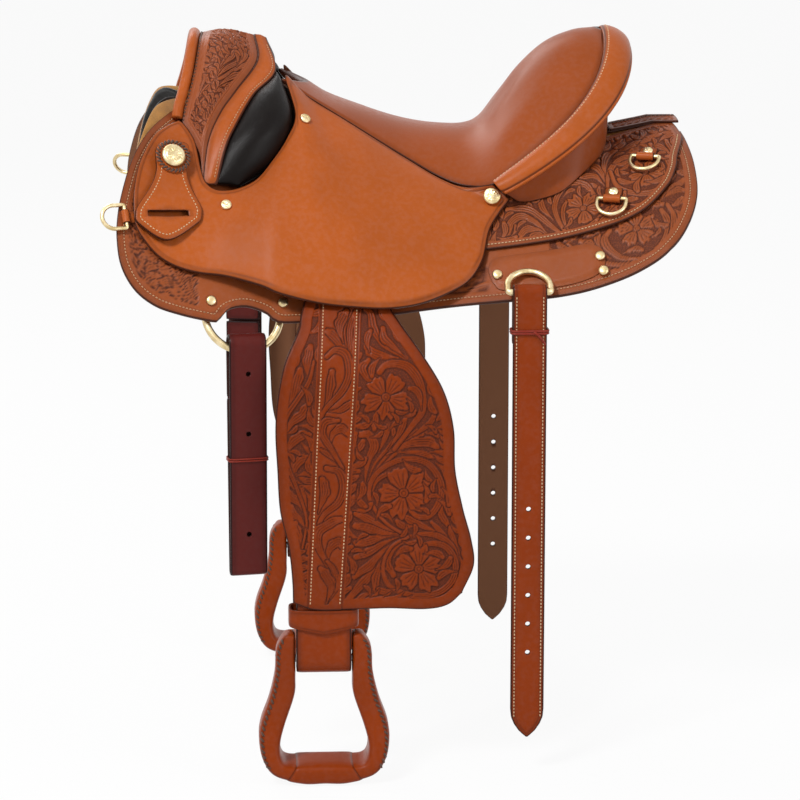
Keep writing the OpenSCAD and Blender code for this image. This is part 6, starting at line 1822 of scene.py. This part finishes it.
def make_stirrups():
    """Bell stirrups covered in leather and laced along their outer edges, with sleeves round their treads."""
    c, o, i = bolt_at(), np.array(STIRRUP_OUT), np.array(STIRRUP_IN)
    t = np.concatenate([[0, 0.004, 0.012, 0.025], np.linspace(0.04, 1, 90)])
    out = curve(vec(o[:, 0] * STIRRUP_W, STIRRUP_TOP - o[:, 1] * STIRRUP_H), t)
    inn = curve(vec(mix(ARM_IN, STIRRUP_W / 2, i[:, 0]), STIRRUP_TOP - i[:, 1] * STIRRUP_H), t)
    side, mid, half = np.array(STIRRUP_SIDE), (out + inn) / 2, (out - inn) / 2
    share = (STIRRUP_TOP - mid[:, 1]) / STIRRUP_H
    deep = mix(ARM_DEPTH, TREAD_DEPTH, np.interp(share, side[:, 1], side[:, 0])) / 2
    deep = np.convolve(np.pad(deep, 6, mode="edge"), np.ones(13) / 13, mode="valid")
    cap = np.sqrt(np.clip(1 - (1 - np.clip(t / 0.025, 0, 1)) ** 2, 0.04, 1))
    g = angles(48)
    flat = mid[:, None] + half[:, None] * (cap[:, None] * power(np.cos(g), 0.55))[..., None]
    rings = vec(flat[..., 0], deep[:, None] * cap[:, None] * power(np.sin(g), 0.4), flat[..., 1])
    rings = np.concatenate([rings, (rings * [-1, 1, 1])[-2::-1]]) + c
    dark = np.broadcast_to(0.5 * bell(np.cos(g), 0.55, 0.16) * (np.sin(g) < 0), rings.shape[:2])
    both("stirrup", "strap", lambda name, turn: sweep(name, turn(rings), False, {"recess": dark}), "stirrup")
    laced = (t > 0.06) & (t < 0.7)
    edge, lines = mix(inn, out, 0.84)[laced], []
    for arm, face in ((1, -1), (1, 1), (-1, -1), (-1, 1)):
        p = vec(arm * edge[:, 0], face * (deep[laced] - 0.2), edge[:, 1]) + c
        lines.append((p, np.tile([0.0, face, 0.0], (len(p), 1))))
    for side, turn in SIDES:
        stitched("stirrup_lacing_" + side, [(turn(p), turn(u)) for p, u in lines], "dark thread", STIRRUP_LACE, 0.9,
                 "stirrup_" + side)
    low = np.flatnonzero(np.abs(rings[:, :, 0].mean(1) - c[0]) < 0.27 * STIRRUP_W)
    low = low[rings[low, :, 2].mean(1) < c[2] + STIRRUP_TOP - 0.7 * STIRRUP_H]
    core = rings[low].mean(1, keepdims=True)
    ends = np.minimum(np.arange(len(low)), np.arange(len(low))[::-1])
    sleeve = core + (rings[low] - core) * (1 + 0.07 * ease((ends + 0.6) / 2))[:, None, None]
    ends = np.broadcast_to(np.where(ends == 0, 0.8, 0.0)[:, None], sleeve.shape[:2])
    both("tread_cover", "strap", lambda name, turn: sweep(name, turn(sleeve), False, {"recess": ends}), "stirrup",
         "black_leather")


# Latigo and billets
def punched(piece, ends):
    """A strap with round holes through it, each between two points."""
    return cut(piece, [tube("bar", np.linspace(a, b, 4), HOLE_D / 2, 18) for a, b in ends])


def lace_line(hx, hy):
    """A rounded rectangle once round a strap."""
    g, p = angles(240), 2 / 6.0
    return even(vec(hx * power(np.cos(g), p), hy * power(np.sin(g), p)), 120, closed=True)


def make_latigos():
    """Latigo and off-side billet doubled round the front rings at their lowest point, and the latigo's red lace."""
    turn, at = ring_place()
    yaw = math.atan2(turn[1, 0], turn[0, 0])
    along, out = np.array([math.cos(yaw), math.sin(yaw), 0.0]), np.array([math.sin(yaw), -math.cos(yaw), 0.0])
    at = at - (RING_D - RING_WIRE) / 2 * turn[:, 1]
    top, low = STRAP_IN + LATIGO_TH / 2, STRAP_FOOT + LATIGO_TH / 2
    g = np.linspace(0, math.pi, 40)
    bends = np.vstack([vec(top * np.cos(g), FOLD_UP + top * np.sin(g)),
                       vec(low * np.cos(g + math.pi), -LATIGO_DROP + low * np.sin(g + math.pi))])
    flat = even(bends, 260, closed=True)
    inner = np.flatnonzero(flat[:, 0] < 0)
    first = inner[np.argmin(np.abs(flat[inner, 1] + LATIGO_JOIN))]
    flat = np.roll(flat, -first, 0)[:-1]
    path = at + flat[:, :1] * out + flat[:, 1:] * UP
    holes = np.array([FOLD_UP + STRAP_IN - s * LATIGO_LEN for s in LATIGO_HOLES])
    wide = np.interp(holes, [-LATIGO_DROP, FOLD_UP], [low, top])
    for name, node, turn in (("latigo_strap", "latigo_near", same), ("off_billet_strap", "off_billet", flip)):
        piece = strap(name, turn(path), turn(along), LATIGO_W, LATIGO_TH, 22, -hand_of(turn))
        ends = [(turn(at + z * UP + w * out * 0.3), turn(at + z * UP + (w + 8) * out)) for z, w in zip(holes, wide)]
        dress(punched(piece, ends), "burgundy", node, body=node)
    z = -TIE_SHARE * LATIGO_DROP + TIE_H / 2
    line = lace_line(LATIGO_W / 2 + 1.2, mix(STRAP_IN, STRAP_FOOT, TIE_SHARE) + LATIGO_TH + 1.0)
    loops = [tube("tie_%d" % k, at + line[:, :1] * along + line[:, 1:] * out + np.array([0, 0, z + d]), 1.0, 8, True)
             for k, d in enumerate((-1.6, 0.9))]
    dress(joined("latigo_lace", loops), "lace", "latigo_tie_near", body="latigo_near")


def make_billets():
    """Rear billets: folded round the rigging dee, stitched along both edges, pointed and punched, with red laces."""
    at, r, front = rig_place()[1], BILLET_R + BILLET_TH / 2, BILLET_R + BILLET_TH
    g = np.linspace(math.pi, 0, 40)
    flat = even(np.vstack([vec(-r, np.linspace(-BILLET_TAIL, -1, 20)), vec(r * np.cos(g), r * np.sin(g)),
                           vec(r, np.linspace(-1, -BILLET_LEN, 160))]), 280)
    path = at + vec(0.0, -flat[:, 0], flat[:, 1])
    tip = np.interp((flat[:, 1] + BILLET_LEN) / TIP_H, *np.array(BILLET_TIP).T)
    wide = np.where(flat[:, 0] > 0, tip, 1) * BILLET_W
    z = np.linspace(-6, -BILLET_LEN + 26, 260)
    rows = [(at + vec(s * (BILLET_W / 2 - 4.6), -front, z), np.tile([0.0, -1.0, 0.0], (260, 1))) for s in (-1, 1)]
    holes = at + vec(0.0, 0.0, -FIRST_HOLE - HOLE_PITCH * np.arange(HOLE_COUNT))
    line, k = lace_line(BILLET_W / 2 + 1.4, front + 1.4), np.linspace(0, 1, 24)
    loop = at + vec(line[:, 0], -line[:, 1], -LACE_DROP + LACE_H / 2)
    tail = at + vec(4 + 14 * k, -front - 2.6 - 1.2 * np.sin(3 * k), -LACE_DROP + 1.5 - 15 * k**1.6)
    for side, turn in SIDES:
        body = "rear_billet_" + side
        piece = strap("billet_strap_" + side, turn(path), ALONG, wide, BILLET_TH, 26, hand_of(turn))
        dress(punched(piece, [(turn(p), turn(p - (0, 16.0, 0))) for p in holes]), "strap", body, body=body)
        stitched("billet_stitching_" + side, [(turn(p), turn(n)) for p, n in rows], body=body)
        laces = [tube("lace_a", turn(loop), 1.6, 8, True), tube("lace_b", turn(loop - [0, 0, 2.8]), 1.5, 8, True),
                 tube("lace_c", turn(tail), mix(1.8, 1.2, k), 8)]
        dress(joined("billet_tie_" + side, laces), "lace", "billet_lace_" + side, body=body)


def make_tree():
    """Materials of the wooden tree, the hangers and the bolts, whose CAD shapes stay."""
    looks = {"wood": ("tree_fork", "tree_bars", "tree_cantle", "ground_seat"),
             "steel": ("leather_hangers", "stirrup_bolt_near", "stirrup_bolt_off")}
    for look, nodes in looks.items():
        for node in nodes:
            slots = frame["nodes"][node].data.materials
            slots.clear()
            slots.append(LOOKS[look])


# Add-on
def colour(name, text, value):
    """A colour setting."""
    return bpy.props.FloatVectorProperty(name=name, description=text, default=value, size=3, min=0.0, max=1.0,
                                         subtype="COLOR")


def length(name, text, value):
    """A length setting in metres."""
    return bpy.props.FloatProperty(name=name, description=text, default=value, min=0.0, precision=4,
                                   subtype="DISTANCE", unit="LENGTH")


def angle(name, text, degrees):
    """An angle setting."""
    return bpy.props.FloatProperty(name=name, description=text, default=math.radians(degrees),
                                   subtype="ANGLE", unit="ROTATION")


class SADDLE_PG_tint(bpy.types.PropertyGroup):
    """Colours of the saddle's materials."""

    brown: colour("Brown", "Plain leather of the jockeys and keepers", (0.42, 0.097, 0.022))
    # Seat colour: the plain brown darkened by about a quarter as painted shade of the seat; it colours the seat and
    # the cantle back
    seat: colour("Seat", "Leather of the seat and cantle roll", (0.3, 0.068, 0.019))
    tooled: colour("Tooled", "Carved leather of swell, skirts and housing", (0.31, 0.077, 0.024))
    # Fender and strap colours are darker and redder than the plain brown: partly a deeper tone of that leather, partly
    # painted shade of the lower, upright parts
    fender: colour("Fender", "Carved leather of the fenders", (0.228, 0.035, 0.006))
    strap: colour("Strap", "Leather of billets, stirrups and stirrup leathers", (0.252, 0.038, 0.006))
    ground: colour("Ground", "Matted ground between the carved leaves", (0.085, 0.02, 0.01))
    # Burnish: dark finish of edges and recesses; on the cantle roll's seams it is painted crease shade
    burnish: colour("Burnish", "Dark finish in recesses and on edges", (0.035, 0.009, 0.005))
    flesh: colour("Flesh", "Flesh side of the leather", (0.2, 0.085, 0.042))
    black: colour("Black", "Knee pads and panels", (0.0065, 0.0045, 0.004))
    burgundy: colour("Burgundy", "Latigo and off-side billet", (0.1, 0.0135, 0.011))
    lace: colour("Lace", "Red laces", (0.24, 0.032, 0.02))
    brass: colour("Brass", "Brass fittings", (0.95, 0.8, 0.52))
    felt: colour("Felt", "Felt between skirt and panel", (0.5, 0.23, 0.045))
    thread: colour("Thread", "Cream waxed stitching", (0.75, 0.52, 0.3))
    tan: colour("Tan", "Tan stitching of skirts, bands and cantle", (0.66, 0.38, 0.2))


class SADDLE_PG_work(bpy.types.PropertyGroup):
    """Measures of the leather work."""

    tooling: length("Tooling", "Depth of the carving", 0.0015)
    distance: length("Distance", "Distance of the camera", 4.2)
    azimuth: angle("Azimuth", "Turn of the camera towards the pommel", 3.0)
    elevation: angle("Elevation", "Height of the camera over level", 12.0)


def carving(context):
    """Depth of the carving in millimetres."""
    return round(context.scene.saddle_work.tooling / MM, 3)


class Build:
    """Common options of the operators."""

    bl_options = {"REGISTER", "UNDO"}


class SADDLE_OT_looks(Build, bpy.types.Operator):
    """Make all materials"""

    bl_idname = "saddle.looks"
    bl_label = "Materials"

    def execute(self, context):
        make_looks(context.scene.saddle_tint)
        return {"FINISHED"}


class SADDLE_OT_tree(Build, bpy.types.Operator):
    """Give the tree, hangers and bolts their materials"""

    bl_idname = "saddle.tree"
    bl_label = "Tree"

    def execute(self, context):
        make_tree()
        return {"FINISHED"}


class SADDLE_OT_panels(Build, bpy.types.Operator):
    """Build the felt layer and the panels"""

    bl_idname = "saddle.panels"
    bl_label = "Panels and felt"

    def execute(self, context):
        make_panels()
        return {"FINISHED"}


class SADDLE_OT_skirts(Build, bpy.types.Operator):
    """Build the carved skirts"""

    bl_idname = "saddle.skirts"
    bl_label = "Skirts"

    def execute(self, context):
        make_skirts(carving(context))
        return {"FINISHED"}


class SADDLE_OT_housing(Build, bpy.types.Operator):
    """Build the rear housing and its ridge strip"""

    bl_idname = "saddle.housing"
    bl_label = "Rear housing"

    def execute(self, context):
        make_housing(carving(context))
        make_ridge_strip(carving(context))
        return {"FINISHED"}


class SADDLE_OT_seat(Build, bpy.types.Operator):
    """Build the seat and the cantle"""

    bl_idname = "saddle.seat"
    bl_label = "Seat and cantle"

    def execute(self, context):
        make_seat()
        make_cantle()
        return {"FINISHED"}


class SADDLE_OT_swell(Build, bpy.types.Operator):
    """Build the swell and the knee pads"""

    bl_idname = "saddle.swell"
    bl_label = "Swell and knee pads"

    def execute(self, context):
        make_swell(carving(context))
        make_knee_pads()
        return {"FINISHED"}


class SADDLE_OT_jockeys(Build, bpy.types.Operator):
    """Build the jockeys and the latigo keepers"""

    bl_idname = "saddle.jockeys"
    bl_label = "Jockeys and keepers"

    def execute(self, context):
        make_jockeys()
        make_keepers()
        return {"FINISHED"}


class SADDLE_OT_rigging(Build, bpy.types.Operator):
    """Build the rigging leather, the rings and the dees"""

    bl_idname = "saddle.rigging"
    bl_label = "Rigging and dees"

    def execute(self, context):
        make_rigging()
        make_rings()
        make_tabs()
        return {"FINISHED"}


class SADDLE_OT_hardware(Build, bpy.types.Operator):
    """Build the screws, conchos, rivets and studs"""

    bl_idname = "saddle.hardware"
    bl_label = "Brass heads"

    def execute(self, context):
        make_hardware()
        return {"FINISHED"}


class SADDLE_OT_fenders(Build, bpy.types.Operator):
    """Build the carved fenders, the stirrup leathers and the hobble straps"""

    bl_idname = "saddle.fenders"
    bl_label = "Fenders and leathers"

    def execute(self, context):
        make_fenders(carving(context))
        make_leathers()
        make_hobbles()
        return {"FINISHED"}


class SADDLE_OT_stirrups(Build, bpy.types.Operator):
    """Build the stirrups and their treads"""

    bl_idname = "saddle.stirrups"
    bl_label = "Stirrups"

    def execute(self, context):
        make_stirrups()
        return {"FINISHED"}


class SADDLE_OT_straps(Build, bpy.types.Operator):
    """Build the latigo, the billets and their laces"""

    bl_idname = "saddle.straps"
    bl_label = "Latigo and billets"

    def execute(self, context):
        make_latigos()
        make_billets()
        return {"FINISHED"}


class SADDLE_OT_stage(Build, bpy.types.Operator):
    """Set the floor, the lights and the camera"""

    bl_idname = "saddle.stage"
    bl_label = "Stage"

    def execute(self, context):
        make_stage(context.scene)
        return {"FINISHED"}


WORLD_LIGHT, FLOOR_GLOW, FLOOR_HALF = 0.34, 0.93, 30
TARGET = np.array([0, 0, -0.291])
LENS, SENSOR, CLIP_END = 149.4, 36.0, 100.0
# Name, place, size and power of each lamp
LAMPS = [("key", (-1.9, -2.6, 3.2), 0.9, 145.0), ("fill", (2.9, -2.3, 1.0), 1.6, 32.0),
         ("rim", (-1.4, 2.3, 2.2), 2.0, 40.0)]


def background_rays(t):
    """1 for rays from the camera, from a reflection or through glass, which see the white background."""
    path = t.add("ShaderNodeLightPath").outputs
    seen = t.math("ADD", path["Is Glossy Ray"], path["Is Transmission Ray"])
    return t.math("ADD", path["Is Camera Ray"], seen, True)


def make_floor():
    """Pale floor that the camera sees nearly white, with the saddle's shadow left faintly on it."""
    mat, t, shade = material("studio_floor")
    shade.inputs["Base Color"].default_value = (0.85, 0.85, 0.85, 1)
    shade.inputs["Roughness"].default_value = 0.9
    shade.inputs["Specular IOR Level"].default_value = 0.0
    glow = t.add("ShaderNodeEmission", {"Color": (1, 1, 1, 1), "Strength": 1.0})
    share = t.math("MULTIPLY", background_rays(t), FLOOR_GLOW)
    blend = t.add("ShaderNodeMixShader", {0: share, 1: shade.outputs[0], 2: glow.outputs[0]})
    t.link(blend.outputs[0], mat.node_tree.nodes["Material Output"].inputs["Surface"])
    return mat


def make_stage(scene):
    """White floor and world for the camera, three soft lights, and the photo's camera."""
    work, low = scene.saddle_work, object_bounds()[0][2]
    mesh = bpy.data.meshes.new("floor")
    corners = ((-1, -1), (1, -1), (1, 1), (-1, 1))
    mesh.from_pydata([(x * FLOOR_HALF, y * FLOOR_HALF, low) for x, y in corners], [], [(0, 1, 2, 3)])
    floor = bpy.data.objects.new("floor", mesh)
    scene.collection.objects.link(floor)
    mesh.materials.append(make_floor())
    world = bpy.data.worlds.new("studio")
    scene.world = world
    world.use_nodes = True
    t = Tree(world.node_tree)
    back = world.node_tree.nodes["Background"]
    t.link(t.scaled(background_rays(t), 1 - WORLD_LIGHT, WORLD_LIGHT), back.inputs["Strength"])
    back.inputs["Color"].default_value = (1, 1, 1, 1)
    floor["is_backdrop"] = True
    for name, at, size, power in LAMPS:
        lamp = bpy.data.lights.new(name, "AREA")
        lamp.energy, lamp.size = power, size
        obj = bpy.data.objects.new(name, lamp)
        obj.location = at
        obj.rotation_euler = aim(np.array(at))
        scene.collection.objects.link(obj)
        obj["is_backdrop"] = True
    a, e, d = work.azimuth, work.elevation, work.distance
    away = np.array([math.sin(a) * math.cos(e), math.cos(a) * math.cos(e), -math.sin(e)])
    lens = bpy.data.cameras.new("camera")
    lens.lens, lens.sensor_width, lens.clip_end = LENS, SENSOR, CLIP_END
    camera = bpy.data.objects.new("camera", lens)
    camera.location = TARGET - away * d
    camera.rotation_euler = aim(np.array(camera.location))
    scene.collection.objects.link(camera)
    camera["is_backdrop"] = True
    scene.camera = camera
    scene.view_settings.view_transform = "Standard"


def aim(at):
    """Rotation that turns a lamp or camera at a place towards the target, upright."""
    d = TARGET - at
    return (math.atan2(math.hypot(d[0], d[1]), -d[2]), 0.0, math.atan2(-d[0], d[1]))


OPERATORS = (SADDLE_OT_looks, SADDLE_OT_tree, SADDLE_OT_panels, SADDLE_OT_skirts, SADDLE_OT_housing, SADDLE_OT_seat,
             SADDLE_OT_swell, SADDLE_OT_jockeys, SADDLE_OT_rigging, SADDLE_OT_hardware, SADDLE_OT_fenders,
             SADDLE_OT_stirrups, SADDLE_OT_straps, SADDLE_OT_stage)


class SADDLE_PT_side(bpy.types.Panel):
    """The saddle's settings and steps."""

    bl_label = "Stock saddle"
    bl_idname = "SADDLE_PT_side"
    bl_space_type = "VIEW_3D"
    bl_region_type = "UI"
    bl_category = "Saddle"

    def draw(self, context):
        for group in (context.scene.saddle_tint, context.scene.saddle_work):
            for key in group.__annotations__:
                self.layout.prop(group, key)
        for step in OPERATORS:
            self.layout.operator(step.bl_idname)


CLASSES = (SADDLE_PG_tint, SADDLE_PG_work) + OPERATORS + (SADDLE_PT_side,)


def register():
    """Registers the add-on's classes and settings."""
    for cls in CLASSES:
        bpy.utils.register_class(cls)
    bpy.types.Scene.saddle_tint = bpy.props.PointerProperty(type=SADDLE_PG_tint)
    bpy.types.Scene.saddle_work = bpy.props.PointerProperty(type=SADDLE_PG_work)


def unregister():
    """Takes them out again."""
    del bpy.types.Scene.saddle_work
    del bpy.types.Scene.saddle_tint
    for cls in reversed(CLASSES):
        bpy.utils.unregister_class(cls)


def visual_box():
    """Box of the built pieces, stage left out, in metres."""
    low, high = [], []
    for obj in bpy.context.scene.objects:
        if obj.type == "MESH" and obj.name != "floor" and not obj.hide_render:
            co = np.empty(len(obj.data.vertices) * 3, np.float32)
            obj.data.vertices.foreach_get("co", co)
            low.append(co.reshape(-1, 3).min(0))
            high.append(co.reshape(-1, 3).max(0))
    return [[round(float(v), 5) for v in np.min(low, 0)], [round(float(v), 5) for v in np.max(high, 0)]]


def main():
    """Runs every step in order."""
    register()
    for step in OPERATORS:
        group, name = step.bl_idname.split(".")
        getattr(getattr(bpy.ops, group), name)()
    cad = [[round(float(v), 5) for v in corner] for corner in CAD_BOX]
    {"cad": cad, "visual": visual_box()}


if __name__ == "__main__":
    main()
